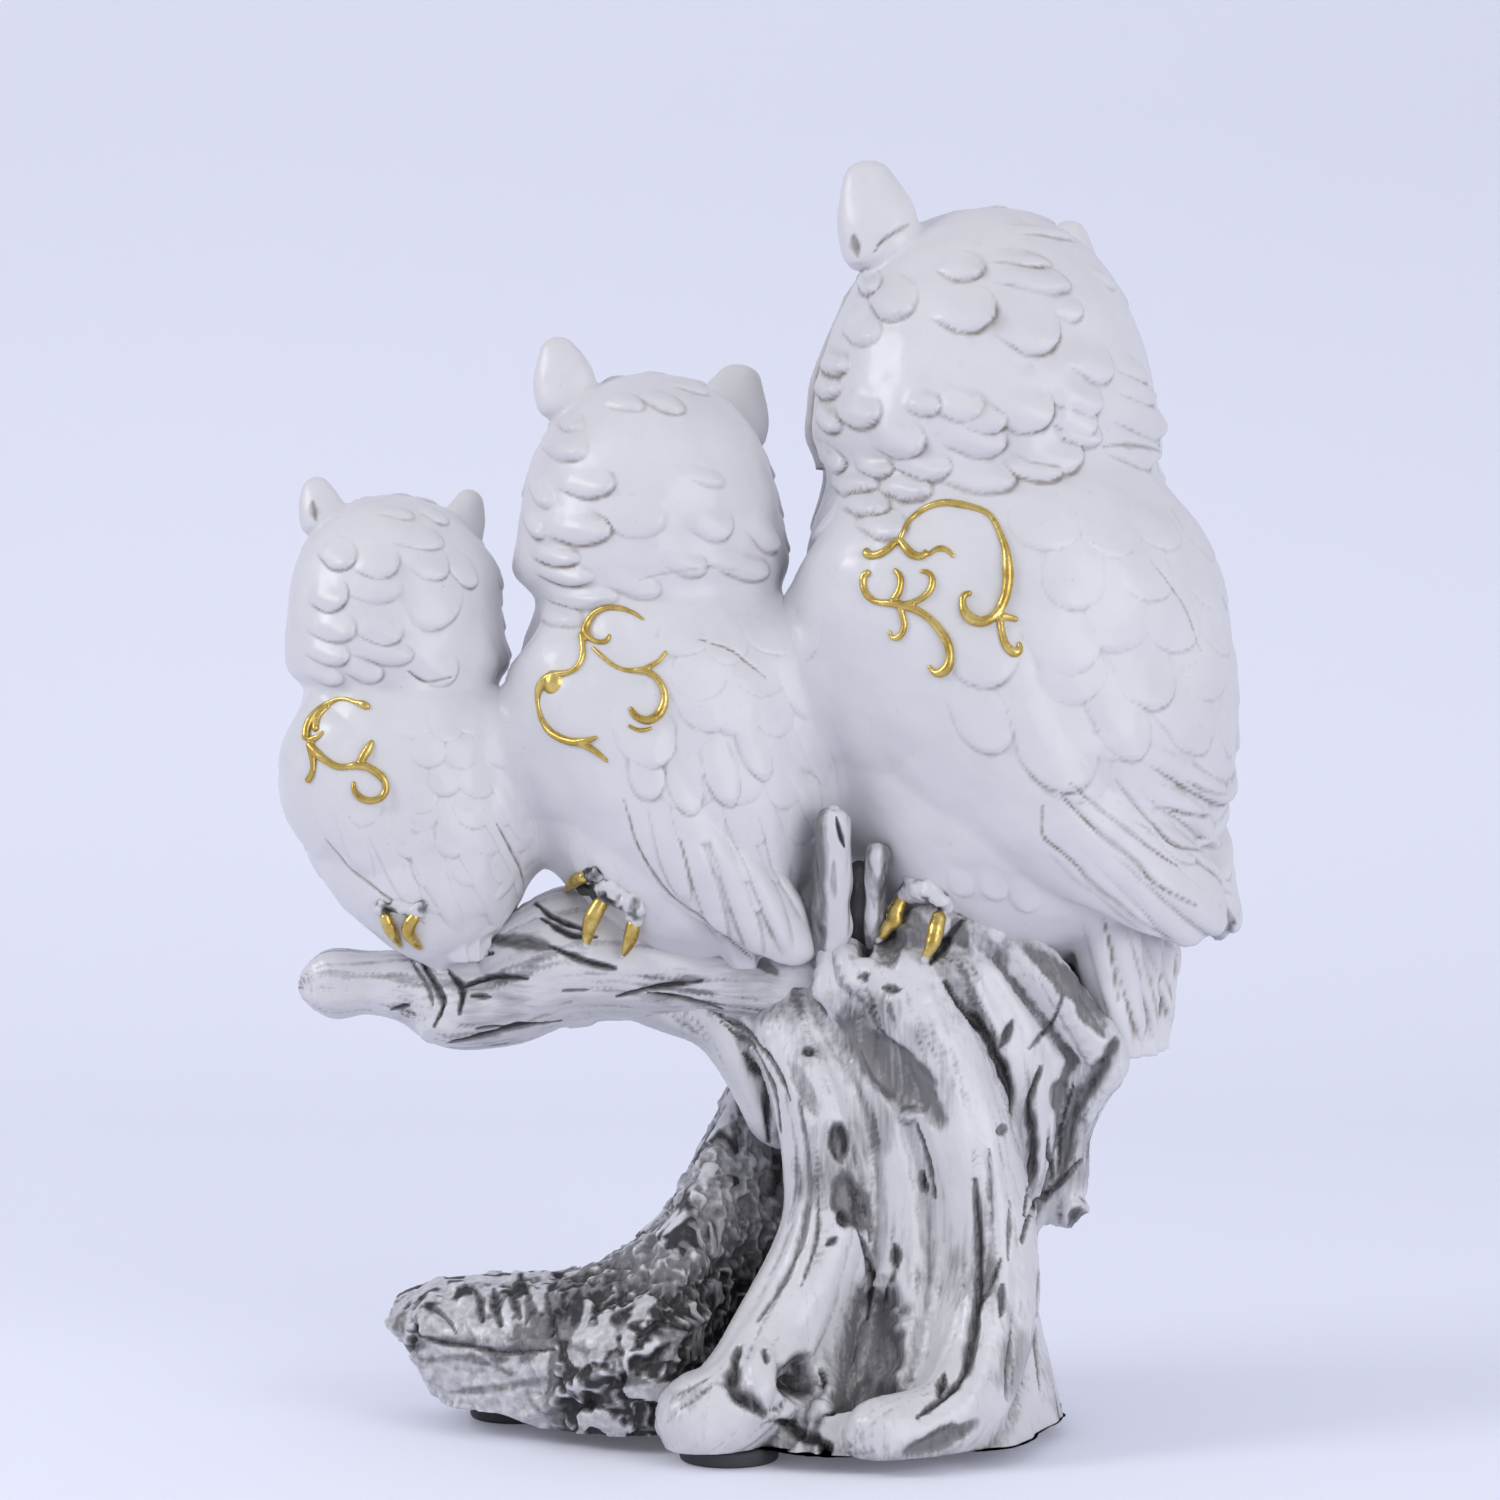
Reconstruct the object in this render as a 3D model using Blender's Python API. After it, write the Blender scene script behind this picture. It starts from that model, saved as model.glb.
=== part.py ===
"""Three owls on a driftwood stump: a cast resin figurine with gilded relief, standing on rubber pads.

Every size below is in millimetres, and meshes are made in metres. X runs along the branch towards the
stump, Y runs from the side of the owls' backs to the side of their faces, and Z is up.
"""

import math
from dataclasses import dataclass

import bmesh
import bpy
import numpy as np
from mathutils import Vector
from mathutils.bvhtree import BVHTree

MM = 0.001
CLEARANCE = 0.3
SHARPEST = 2.5
FAR = 400.0
NEAR = 15.0

# Pads and wood
STUMP_TOP = 101.0
PAD_DIAMETER = 19.0
PAD_THICKNESS = 3.0
PAD_CORNER = 0.6
PAD_SIDES = 20
PAD_PLACES = {"left": (-47.0, 4.0), "front": (-4.0, -37.0), "right": (43.0, 8.0), "rear": (13.0, 21.0)}
WOOD_BOTTOM = PAD_THICKNESS + CLEARANCE

STUMP_SIDES = 26
STUMP_SQUARENESS = 2.3
STUMP_RINGS = 14
# Share of the stump's height, then the stump's left, right, back-side and face-side limits there.
STUMP_ROWS = (
    (0.0, -15.0, 61.5, -51.0, 38.5),
    (0.09, -10.0, 59.5, -46.0, 36.0),
    (0.20, 0.0, 57.0, -37.0, 32.0),
    (0.35, 6.0, 56.0, -31.0, 29.0),
    (0.50, 8.0, 63.0, -29.0, 28.0),
    (0.61, 6.0, 67.0, -28.0, 28.0),
    (0.74, -1.0, 71.0, -27.0, 28.0),
    (0.86, 2.0, 69.0, -25.0, 27.0),
    (0.95, 10.0, 62.0, -21.0, 23.0),
    (1.0, 22.0, 52.0, -10.0, 12.0),
)
STUMP_FLUTES = 7
STUMP_FLUTE_DEPTH = 0.035
STUMP_TWIST = 0.9

STRAND_SIDES = 8
STRAND_STEPS = 9
# Each strand of the stump: X, Y and the share of the stump's height that its centre passes, and its radii.
STRANDS = {
    "front_root": (
        ((28.0, -17.0, 0.91), (38.0, -22.0, 0.71), (45.0, -25.0, 0.475), (45.5, -30.0, 0.26),
         (37.0, -42.0, 0.09), (18.0, -51.5, 0.065)),
        (9.0, 9.0, 9.5, 10.0, 8.5, 7.0),
    ),
    "left_root": (
        ((6.0, -10.0, 0.85), (13.0, -19.0, 0.65), (15.0, -23.0, 0.435), (7.0, -30.0, 0.25),
         (-5.0, -42.0, 0.10), (-18.0, -40.0, 0.07)),
        (8.0, 8.5, 9.0, 9.5, 9.5, 9.0),
    ),
    "arch": (
        ((-20.0, -4.0, 0.85), (-6.0, -5.0, 0.81), (4.0, -8.0, 0.69), (9.0, -10.0, 0.555)),
        (6.0, 7.0, 8.0, 7.0),
    ),
    "right_lip": (
        ((52.0, -8.0, 0.93), (66.0, -10.0, 0.83), (70.5, -10.0, 0.74), (63.0, -12.0, 0.615),
         (61.0, -12.0, 0.475), (63.0, -12.0, 0.39)),
        (5.0, 5.0, 4.8, 5.0, 5.5, 4.2),
    ),
    "perch_rim": (
        ((28.0, -15.0, 0.97), (36.0, -18.0, 1.0), (43.0, -18.0, 0.995), (52.0, -17.0, 0.95), (60.0, -14.0, 0.88)),
        (4.5, 5.0, 5.0, 5.0, 4.5),
    ),
    "rear_root": (
        ((30.0, 17.0, 0.89), (36.0, 20.0, 0.595), (40.0, 24.0, 0.30), (46.0, 30.0, 0.11)),
        (9.0, 9.5, 10.0, 7.5),
    ),
}

BRANCH_SIDES = 16
BRANCH_STEPS = 17
# The branch's centre, from inside the stump to its free end: X, Y and the drop below the stump's top, then
# its half-height and half-depth there.
BRANCH_ROWS = (
    (22.0, 0.0, 14.0, 13.0, 18.0),
    (2.0, 0.0, 12.0, 11.0, 16.0),
    (-12.0, -0.5, 11.0, 9.5, 14.0),
    (-22.0, -2.0, 9.0, 11.5, 14.5),
    (-33.0, -2.5, 7.5, 14.0, 14.5),
    (-42.0, -2.0, 10.5, 13.0, 13.5),
    (-50.0, -0.5, 15.5, 9.8, 12.5),
    (-60.0, -0.5, 15.5, 9.8, 12.0),
    (-67.0, -1.0, 13.5, 7.5, 9.5),
    (-76.0, -1.5, 12.5, 6.2, 7.0),
    (-84.0, -1.5, 13.0, 6.8, 7.0),
    (-90.0, -2.0, 14.0, 4.6, 4.8),
)

BARK_SIDES = 18
BARK_STEPS = 13
BARK_SQUARENESS = 2.6
# Along the bark log, from its tip into the stump: its middle in Y, half-depth, underside and top. It is
# levelled off above the pads.
BARK_ROWS = (
    (-71.0, 2.0, 5.0, 15.0, 21.0),
    (-67.0, 1.5, 13.0, 8.0, 24.0),
    (-57.0, 0.0, 19.0, 0.0, 27.5),
    (-42.0, -2.0, 24.0, -4.0, 29.0),
    (-26.0, -4.0, 31.0, -6.0, 34.0),
    (-13.0, 2.0, 32.0, -6.0, 45.0),
    (-5.0, 12.0, 21.0, -6.0, 64.0),
    (3.0, 16.0, 15.0, -6.0, 79.0),
    (14.0, 16.0, 11.0, -6.0, 82.0),
)

STUB_SIDES = 9
STUB_STEPS = 6
# Two broken twigs between the middle and the large owl: X, Y, rise above the stump's top, and radius.
STUBS = {
    "tall_twig_stub": ((15.0, -20.0, -13.0, 4.8), (16.0, -22.5, 4.0, 4.3), (16.2, -24.0, 21.5, 3.6)),
    "short_twig_stub": ((23.5, -17.0, -11.0, 3.5), (24.0, -19.5, 3.0, 3.1), (23.6, -21.0, 13.5, 2.7)),
}


# Owls
@dataclass
class Owl:
    """One owl's place and sizes. Angles turn its face from +Y towards the branch's free end."""

    name: str
    axis: tuple
    perch: float
    body_tall: float
    head_tall: float
    head_half: float
    dome_rise: float
    body_scale: float
    body_turn: float
    head_turn: float
    belly_tuck: float
    ear_rises: tuple
    ear_length: float
    wing_reach: float
    wing_drop: float
    tail_drop: float
    scroll_radius: float

    @property
    def neck(self):
        """Height of the crease between body and head."""
        return self.perch + self.body_tall

    @property
    def crown(self):
        """Height of the top of the head, without the ears."""
        return self.neck + self.head_tall


OWLS = (
    Owl(
        name="large_owl", axis=(46.4, 4.0), perch=STUMP_TOP - 3.0, body_tall=94.5, head_tall=50.5,
        head_half=36.0, dome_rise=2.1, body_scale=1.0, body_turn=67.0, head_turn=37.0, belly_tuck=0.0,
        ear_rises=(8.2, 0.5), ear_length=22.0, wing_reach=1.0, wing_drop=2.0, tail_drop=23.0, scroll_radius=1.05,
    ),
    Owl(
        name="middle_owl", axis=(-20.0, 1.0), perch=STUMP_TOP - 5.0, body_tall=71.0, head_tall=42.5,
        head_half=26.6, dome_rise=3.0, body_scale=0.72, body_turn=66.0, head_turn=24.0, belly_tuck=6.0,
        ear_rises=(7.6, 2.7), ear_length=17.0, wing_reach=1.0, wing_drop=6.0, tail_drop=4.0, scroll_radius=0.95,
    ),
    Owl(
        name="small_owl", axis=(-71.4, 0.0), perch=STUMP_TOP - 7.0, body_tall=55.0, head_tall=36.5,
        head_half=21.6, dome_rise=3.2, body_scale=0.56, body_turn=64.0, head_turn=22.0, belly_tuck=14.0,
        ear_rises=(3.6, 1.4), ear_length=12.0, wing_reach=0.72, wing_drop=0.0, tail_drop=1.0, scroll_radius=0.8,
    ),
)

OWL_SIDES = 22
BODY_STEPS = 11
HEAD_STEPS = 10
# Share of the height from perch to neck, then the front, the back and the half-width at body scale 1.
BODY_ROWS = (
    (-0.06, 3.0, -22.0, 11.0),
    (0.02, 15.0, -35.0, 23.0),
    (0.15, 25.0, -44.5, 32.0),
    (0.38, 33.0, -51.5, 38.0),
    (0.60, 34.5, -51.0, 39.5),
    (0.82, 33.5, -46.0, 38.0),
    (0.98, 30.5, -35.0, 33.0),
)
TUCK_HEIGHT = 0.6
NECK_PINCH = 0.95
NECK_SHARE = 0.08
DOME_ROUND = 2.2
CROWN_SHARE = 0.985
FACE_DEPTH = 0.88
NAPE_DEPTH = 0.98

# The face, in shares of the head's half-width and height.
EYE_APART = 0.40
EYE_LEVEL = 0.50
EYE_RADIUS = 0.165
EYE_SIDES = 12
EYE_STEPS = 5
DISC_RADIUS = 0.46
DISC_DEPTH = 0.09
BEAK_LEVEL = 0.40
BEAK_RADIUS = 0.095
BEAK_LENGTH = 0.34
BEAK_SIDES = 8
BEAK_STEPS = 7
# An eye's axis: how far out of the face, and the radius there, in eye radii.
EYE_PROFILE = ((-0.9, 1.0), (-0.2, 1.0), (0.55, 0.35))
# The beak's axis: out of the face in beak radii, down in beak lengths, and the radius in beak radii.
BEAK_PROFILE = ((-0.6, -0.35, 1.0), (0.9, 0.0, 1.15), (0.9, 0.45, 0.75), (-0.2, 0.75, 0.3))

EAR_SIDES = 8
EAR_STEPS = 6
EAR_FOOT = (0.61, 0.06)
EAR_SPREADS = (0.08, 0.24)
EAR_FORWARD = 0.14
EAR_WIDTH = 0.21
EAR_THICKNESS = 0.15
EAR_MIDDLE = 0.55
EAR_TIP = 0.6

WING_SIDES = 10
WING_STEPS = 9
# Along a wing, from shoulder to tip: distance out from the middle, forward, share of the height from
# perch to neck, half-breadth and half-thickness, at body scale 1.
WING_ROWS = (
    (27.0, 12.0, 0.95, 9.0, 3.0),
    (36.0, 8.0, 0.80, 24.0, 4.5),
    (38.5, -3.0, 0.58, 29.0, 5.0),
    (33.0, -24.0, 0.33, 22.0, 4.5),
    (16.0, -43.0, 0.17, 13.0, 3.6),
    (3.0, -52.0, 0.07, 6.5, 2.2),
)
WING_SAG = 0.36
WING_BODY_ROWS = 3
WING_FACING = 10.0

TAIL_SIDES = 16
TAIL_STEPS = 5
TAIL_FEATHERS = 5
TAIL_RIB = 0.22
# Down the tail: distance back, half-width and half-thickness, at body scale 1.
TAIL_ROWS = ((-25.0, 14.0, 8.0), (-29.0, 17.0, 9.5), (-32.5, 14.0, 5.5))
TAIL_SHARES = (0.26, 0.06)

# Claws as seen from the side of the backs: the root and the tip of each, in X from the owl's axis and Z from
# its perch, and its radius.
CLAWS = {
    "large_owl": (((-17.0, 9.0), (-22.0, -2.0), 1.8), ((-9.0, 6.0), (-12.5, -5.0), 1.8)),
    "middle_owl": (((-8.5, 9.0), (-12.0, -1.0), 1.5), ((-2.5, 5.0), (-4.0, -1.5), 1.3),
                   ((-13.5, 11.5), (-16.5, 6.5), 1.2)),
    "small_owl": (((0.0, 7.5), (3.0, 0.5), 1.1), ((6.5, 8.0), (7.5, 0.5), 1.2)),
}
CLAW_SIDES = 6
CLAW_STEPS = 6
CLAW_BULGE = 0.5
CLAW_SEAT = 0.6
# Along a claw: share of its length, share of its bulge, and radius as a share of its own.
CLAW_PROFILE = ((0.0, 0.0, 0.95), (0.35, 1.0, 1.0), (0.7, 0.6, 0.75), (1.0, 0.0, 0.3))
TOE_SWELL = {"large_owl": 1.7, "middle_owl": 2.35, "small_owl": 1.7}
TOE_SEAT = 0.1
TOE_END = 0.6
TOE_SIDES = 8
TOE_STEPS = 7
TOE_REACH = 2.5

# Scrolls in relief on each wing: points of smooth strokes, in X from the owl's axis and Z from its neck, seen
# from the side of the backs.
SCROLLS = {
    "large_owl": {
        "arch": (
            ((-24.0, -20.0), (-18.0, -17.0), (-14.0, -11.5), (-8.0, -9.5), (0.0, -12.5), (3.5, -21.5),
             (2.5, -29.5), (-2.5, -33.5), (-6.0, -30.5), (-5.5, -27.5)),
            ((-18.0, -17.0), (-14.5, -20.5), (-12.0, -19.0), (-9.0, -18.5), (-7.5, -21.0)),
            ((1.0, -31.5), (1.0, -36.0), (3.5, -39.0), (5.0, -37.0)),
        ),
        "spray": (
            ((-24.0, -23.5), (-24.5, -26.5), (-20.0, -29.0), (-13.5, -30.5), (-9.0, -35.5), (-8.0, -40.0),
             (-11.0, -42.5), (-12.5, -40.5)),
            ((-19.0, -23.0), (-17.5, -25.0), (-18.0, -29.5), (-17.0, -34.5), (-19.0, -36.0), (-20.0, -34.5)),
            ((-14.0, -23.5), (-11.5, -24.0), (-12.5, -27.5), (-17.0, -29.0)),
        ),
    },
    "middle_owl": {
        "spray": (
            ((-1.0, -6.5), (-5.0, -4.5), (-10.0, -5.5), (-12.5, -9.0), (-10.0, -11.5), (-7.5, -10.0)),
            ((-12.0, -9.0), (-12.0, -13.0), (-14.0, -16.5), (-19.0, -19.0), (-21.0, -23.0), (-18.0, -28.5),
             (-11.0, -31.0), (-7.5, -34.0)),
            ((-12.0, -11.5), (-8.0, -14.0), (0.0, -16.5), (4.0, -20.0), (3.0, -25.5), (-1.0, -26.0),
             (-3.0, -23.0)),
            ((0.0, -16.5), (2.5, -15.5), (4.0, -13.0)),
        ),
    },
    "small_owl": {
        "spray": (
            ((-2.5, -6.0), (-8.0, -4.0), (-14.0, -6.5), (-15.5, -11.5), (-13.5, -12.5), (-12.0, -11.0)),
            ((-15.5, -11.5), (-11.0, -16.0), (-4.0, -16.5), (0.5, -18.0), (1.0, -22.0), (-2.5, -23.5),
             (-5.5, -20.0)),
            ((-5.5, -16.5), (-3.0, -15.0), (-2.0, -12.0)),
            ((-15.5, -12.0), (-13.5, -15.5), (-14.0, -18.5), (-15.5, -20.5)),
        ),
    },
}
SCROLL_STEP = 4.6
SCROLL_SIDES = 4
SCROLL_TAPER = 0.55
SCROLL_SWELL = 0.6

WHITE = (0.80, 0.79, 0.82)
WASHED = (0.52, 0.51, 0.53)
GOLD = (0.66, 0.48, 0.18)
DARK = (0.02, 0.02, 0.022)
SHARP_EDGE = math.radians(40)


# Curves and meshes
def curve_at(keys, values, at):
    """Values on a smooth curve through the rows of values, which lie at the rising keys."""
    keys = np.asarray(keys, float)
    values = np.asarray(values, float).reshape(len(keys), -1)
    slopes = np.gradient(values, keys, axis=0)
    at = np.clip(np.asarray(at, float), keys[0], keys[-1])
    left = np.clip(np.searchsorted(keys, at, side="right") - 1, 0, len(keys) - 2)
    gap = keys[left + 1] - keys[left]
    t = ((at - keys[left]) / gap)[:, None]
    gap = gap[:, None]
    return (
        (1 + 2 * t) * (1 - t) ** 2 * values[left]
        + t * (1 - t) ** 2 * gap * slopes[left]
        + t * t * (3 - 2 * t) * values[left + 1]
        + t * t * (t - 1) * gap * slopes[left + 1]
    )


def lengths_along(points):
    """Distance from the first point to each point."""
    gaps = np.linalg.norm(np.diff(np.asarray(points, float), axis=0), axis=1)
    return np.concatenate([[0.0], np.cumsum(gaps)])


def round_angles(sides):
    """Angles evenly round a circle."""
    return np.linspace(0.0, 2 * math.pi, sides, endpoint=False)


def tube_rings(path, radii, sides, steps, round_ends=True):
    """Rings round a smooth path. A radius is a number, or a pair: up and down, then sideways."""
    keys = lengths_along(path)
    at = np.linspace(0.0, keys[-1], steps)
    centres = curve_at(keys, path, at)
    pairs = np.array([r if np.ndim(r) else (r, r) for r in radii], float)
    sizes = curve_at(keys, pairs, at)
    if round_ends:
        reach = np.minimum(at, at[-1] - at) / sizes.min(axis=1)
        sizes = sizes * np.sqrt(np.clip(0.25 + 0.75 * reach, 0.25, 1.0))[:, None]
    along = np.gradient(centres, axis=0)
    along /= np.linalg.norm(along, axis=1)[:, None]
    up = np.array((0.0, 0.0, 1.0)) if abs(along[0][2]) < 0.8 else np.array((0.0, -1.0, 0.0))
    turn = round_angles(sides)
    rings = []
    for centre, direction, (tall, deep) in zip(centres, along, sizes):
        up = up - direction * np.dot(up, direction)
        up /= np.linalg.norm(up)
        side = np.cross(direction, up)
        rings.append(centre + np.outer(np.cos(turn) * tall, up) + np.outer(np.sin(turn) * deep, side))
    return np.array(rings)


def oval(squareness, sides):
    """Points round a rounded square of half-size 1, from +X through +Y."""
    turn = round_angles(sides)
    x, y = np.cos(turn), np.sin(turn)
    return np.sign(x) * np.abs(x) ** (2 / squareness), np.sign(y) * np.abs(y) ** (2 / squareness)


def mesh_of(rings, name):
    """A closed mesh through rings of points in millimetres, with a fan on each end ring."""
    sides = rings.shape[1]
    bm = bmesh.new()
    rows = [[bm.verts.new(Vector(p) * MM) for p in ring] for ring in rings]
    for low, high in zip(rows, rows[1:]):
        for i in range(sides):
            j = (i + 1) % sides
            bm.faces.new((low[i], low[j], high[j], high[i]))
    for row, ring in ((rows[0], rings[0]), (rows[-1], rings[-1])):
        middle = bm.verts.new(Vector(ring.mean(axis=0)) * MM)
        for i in range(sides):
            bm.faces.new((row[i], row[(i + 1) % sides], middle))
    bmesh.ops.recalc_face_normals(bm, faces=bm.faces)
    mesh = bpy.data.meshes.new(name)
    bm.to_mesh(mesh)
    bm.free()
    return mesh


def add_object(name, mesh):
    """A new object in the scene that holds the mesh."""
    obj = bpy.data.objects.new(name, mesh)
    bpy.context.scene.collection.objects.link(obj)
    return obj


def add_loft(name, rings):
    """A new object lofted through rings."""
    return add_object(name, mesh_of(rings, name))


# Solids that meet
def settle(obj):
    """Replaces an object's mesh by what its modifiers make of it."""
    bpy.context.view_layer.update()
    graph = bpy.context.evaluated_depsgraph_get()
    mesh = bpy.data.meshes.new_from_object(obj.evaluated_get(graph))
    obj.modifiers.clear()
    obj.data = mesh


def combine(obj, other, operation):
    """One Boolean of obj with other, which is then removed."""
    modifier = obj.modifiers.new(operation.lower(), "BOOLEAN")
    modifier.operation = operation
    modifier.object = other
    modifier.solver = "MANIFOLD"
    settle(obj)
    bpy.data.objects.remove(other)


def fuse(obj, *others):
    """Joins the others into obj, as one casting."""
    for other in others:
        combine(obj, other, "UNION")
    return obj


def keep_main_body(obj):
    """Deletes the crumbs that a cut may leave beside the main body."""
    bm = bmesh.new()
    bm.from_mesh(obj.data)
    left = set(bm.faces)
    bodies = []
    while left:
        reached = [left.pop()]
        for face in reached:
            fresh = {other for edge in face.edges for other in edge.link_faces} & left
            left -= fresh
            reached.extend(fresh)
        bodies.append(reached)
    bodies.sort(key=lambda faces: sum(face.calc_area() for face in faces))
    bmesh.ops.delete(bm, geom=[face for body in bodies[:-1] for face in body], context="FACES")
    bm.to_mesh(obj.data)
    bm.free()


def swollen(obj, growth):
    """A copy of a solid, grown on every face."""
    bm = bmesh.new()
    bm.from_mesh(obj.data)
    bm.normal_update()
    moves = [vert.normal * growth * MM * min(vert.calc_shell_factor(), SHARPEST) for vert in bm.verts]
    for vert, move in zip(bm.verts, moves):
        vert.co += move
    mesh = bpy.data.meshes.new("grown")
    bm.to_mesh(mesh)
    bm.free()
    return add_object("grown", mesh)


def clear_of(obj, *neighbours):
    """Cuts obj back to the clearance from each neighbour that it is bonded to."""
    for neighbour in neighbours:
        combine(obj, swollen(neighbour, CLEARANCE), "DIFFERENCE")
        combine(obj, swollen(neighbour, CLEARANCE / 3), "DIFFERENCE")
    keep_main_body(obj)
    return obj


def surface_of(*objects):
    """One search tree over the faces of several objects."""
    points, faces = [], []
    for obj in objects:
        start = len(points)
        points += [vert.co for vert in obj.data.vertices]
        faces += [[start + i for i in face.vertices] for face in obj.data.polygons]
    return BVHTree.FromPolygons(points, faces)


def cast(surface, start, direction):
    """Where a ray in millimetres first meets a surface, or None."""
    hit, *_ = surface.ray_cast(Vector(start) * MM, Vector(direction))
    return None if hit is None else np.array(hit) / MM


# Wood
def level_off(obj):
    """Cuts a piece of wood flat above the pads."""
    turn = round_angles(4)
    square = np.stack([FAR * np.cos(turn), FAR * np.sin(turn), np.zeros(4)], axis=1)
    slab = add_loft("slab", np.array([square - (0.0, 0.0, FAR), square + (0.0, 0.0, WOOD_BOTTOM)]))
    combine(obj, slab, "DIFFERENCE")
    return obj


def build_stump():
    """The twisted driftwood stump, with its roots and the lip under the large owl's tail."""
    rows = np.array(STUMP_ROWS)
    shares = np.linspace(0.0, 1.0, STUMP_RINGS)
    x, y = oval(STUMP_SQUARENESS, STUMP_SIDES)
    turn = round_angles(STUMP_SIDES)
    rings = []
    for share, (left, right, near, far) in zip(shares, curve_at(rows[:, 0], rows[:, 1:], shares)):
        flute = 1 + STUMP_FLUTE_DEPTH * np.cos(STUMP_FLUTES * turn + STUMP_TWIST * 2 * math.pi * share)
        across = (left + right) / 2 + flute * x * (right - left) / 2
        deep = (near + far) / 2 + flute * y * (far - near) / 2
        rings.append(np.stack([across, deep, np.full(STUMP_SIDES, share * STUMP_TOP)], axis=1))
    stump = add_loft("stump", np.array(rings))
    for name, (places, radii) in STRANDS.items():
        path = np.array(places) * (1.0, 1.0, STUMP_TOP)
        fuse(stump, add_loft(name, tube_rings(path, radii, STRAND_SIDES, STRAND_STEPS)))
    return level_off(stump)


def build_branch():
    """The bent arm that carries the two smaller owls."""
    rows = np.array(BRANCH_ROWS)
    path = rows[:, :3] * (1.0, 1.0, -1.0) + (0.0, 0.0, STUMP_TOP)
    return add_loft("branch", tube_rings(path, rows[:, 3:], BRANCH_SIDES, BRANCH_STEPS))


def build_bark_log():
    """The rough-barked log that runs out from behind the stump along the ground."""
    rows = np.array(BARK_ROWS)
    places = np.linspace(rows[0, 0], rows[-1, 0], BARK_STEPS)
    limits = curve_at(rows[:, 0], rows[:, 1:], places)
    a, b = oval(BARK_SQUARENESS, BARK_SIDES)
    rings = []
    for place, (middle, half, low, high) in zip(places, limits):
        tall = (low + high) / 2 + b * (high - low) / 2
        rings.append(np.stack([np.full(BARK_SIDES, place), middle + a * half, tall], axis=1))
    return level_off(add_loft("bark_log", np.array(rings)))


def build_stub(name, rows):
    """A broken twig that stands on the stump."""
    rows = np.array(rows)
    path = rows[:, :3] + (0.0, 0.0, STUMP_TOP)
    return add_loft(name, tube_rings(path, rows[:, 3], STUB_SIDES, STUB_STEPS))


def build_pad(name, place):
    """A round rubber pad with a rounded lower rim."""
    radius = PAD_DIAMETER / 2
    outline = ((radius - PAD_CORNER, 0.0), (radius, PAD_CORNER), (radius, PAD_THICKNESS))
    turn = round_angles(PAD_SIDES)
    rings = [
        np.stack([place[0] + r * np.cos(turn), place[1] + r * np.sin(turn), np.full(PAD_SIDES, z)], axis=1)
        for r, z in outline
    ]
    return add_loft(name, np.array(rings))


# Owls
def turned(points, angle):
    """Points turned about Z by an angle in degrees."""
    angle = math.radians(angle)
    x, y = points[..., 0], points[..., 1]
    out = points.copy()
    out[..., 0] = x * math.cos(angle) - y * math.sin(angle)
    out[..., 1] = x * math.sin(angle) + y * math.cos(angle)
    return out


def placed(owl, points, angle):
    """Points of an owl that faces +Y at the origin, turned and carried to its perch's axis."""
    return turned(np.asarray(points, float), angle) + np.array((*owl.axis, 0.0))


def body_limits(owl, share):
    """Front, back and half-width of the body at shares of the height from perch to neck."""
    rows = np.array(BODY_ROWS)
    limits = curve_at(rows[:, 0], rows[:, 1:], share) * owl.body_scale
    low = np.clip(1 - np.asarray(share) / TUCK_HEIGHT, 0.0, None)
    limits[:, 0] -= owl.belly_tuck * low**2
    return limits


def head_dome(owl, share):
    """Half-width of the head, as a share of its greatest, from neck to crown."""
    dome = (1 - np.clip(share, 0, 1) ** owl.dome_rise) ** (1 / DOME_ROUND)
    pinch = np.clip(share / NECK_SHARE, 0, 1)
    return dome * (NECK_PINCH + (1 - NECK_PINCH) * pinch)


def face_dish(owl, across, height):
    """How far the face sinks round the eyes, at places across the head and up from the neck."""
    half = owl.head_half
    level = EYE_LEVEL * owl.head_tall
    reach = np.hypot(np.abs(across) - EYE_APART * half, height - level) / (DISC_RADIUS * half)
    return DISC_DEPTH * half * np.clip(1 - reach**2, 0, None)


def owl_rings(owl):
    """Rings of one owl's body and head, from under the perch to the crown.

    Every ring starts in the same compass direction, so the head turns on the body with no twist between.
    """
    compass = round_angles(OWL_SIDES)
    on_body = compass - math.radians(owl.body_turn)
    on_head = compass - math.radians(owl.head_turn)
    front = np.sin(on_head) > 0
    rings = []
    shares = np.linspace(BODY_ROWS[0][0], BODY_ROWS[-1][0], BODY_STEPS)
    for share, (fore, back, half) in zip(shares, body_limits(owl, shares)):
        deep = (fore + back) / 2 + np.sin(on_body) * (fore - back) / 2
        height = np.full(OWL_SIDES, owl.perch + share * owl.body_tall)
        rings.append(placed(owl, np.stack([half * np.cos(on_body), deep, height], axis=1), owl.body_turn))
    for share in np.sin(np.linspace(0.0, CROWN_SHARE, HEAD_STEPS) * math.pi / 2):
        half = owl.head_half * head_dome(owl, share)
        across = half * np.cos(on_head)
        dish = np.where(front, face_dish(owl, across, share * owl.head_tall), 0)
        deep = (np.where(front, FACE_DEPTH, NAPE_DEPTH) * half - dish) * np.sin(on_head)
        height = np.full(OWL_SIDES, owl.neck + share * owl.head_tall)
        rings.append(placed(owl, np.stack([across, deep, height], axis=1), owl.head_turn))
    return np.array(rings)


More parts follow.
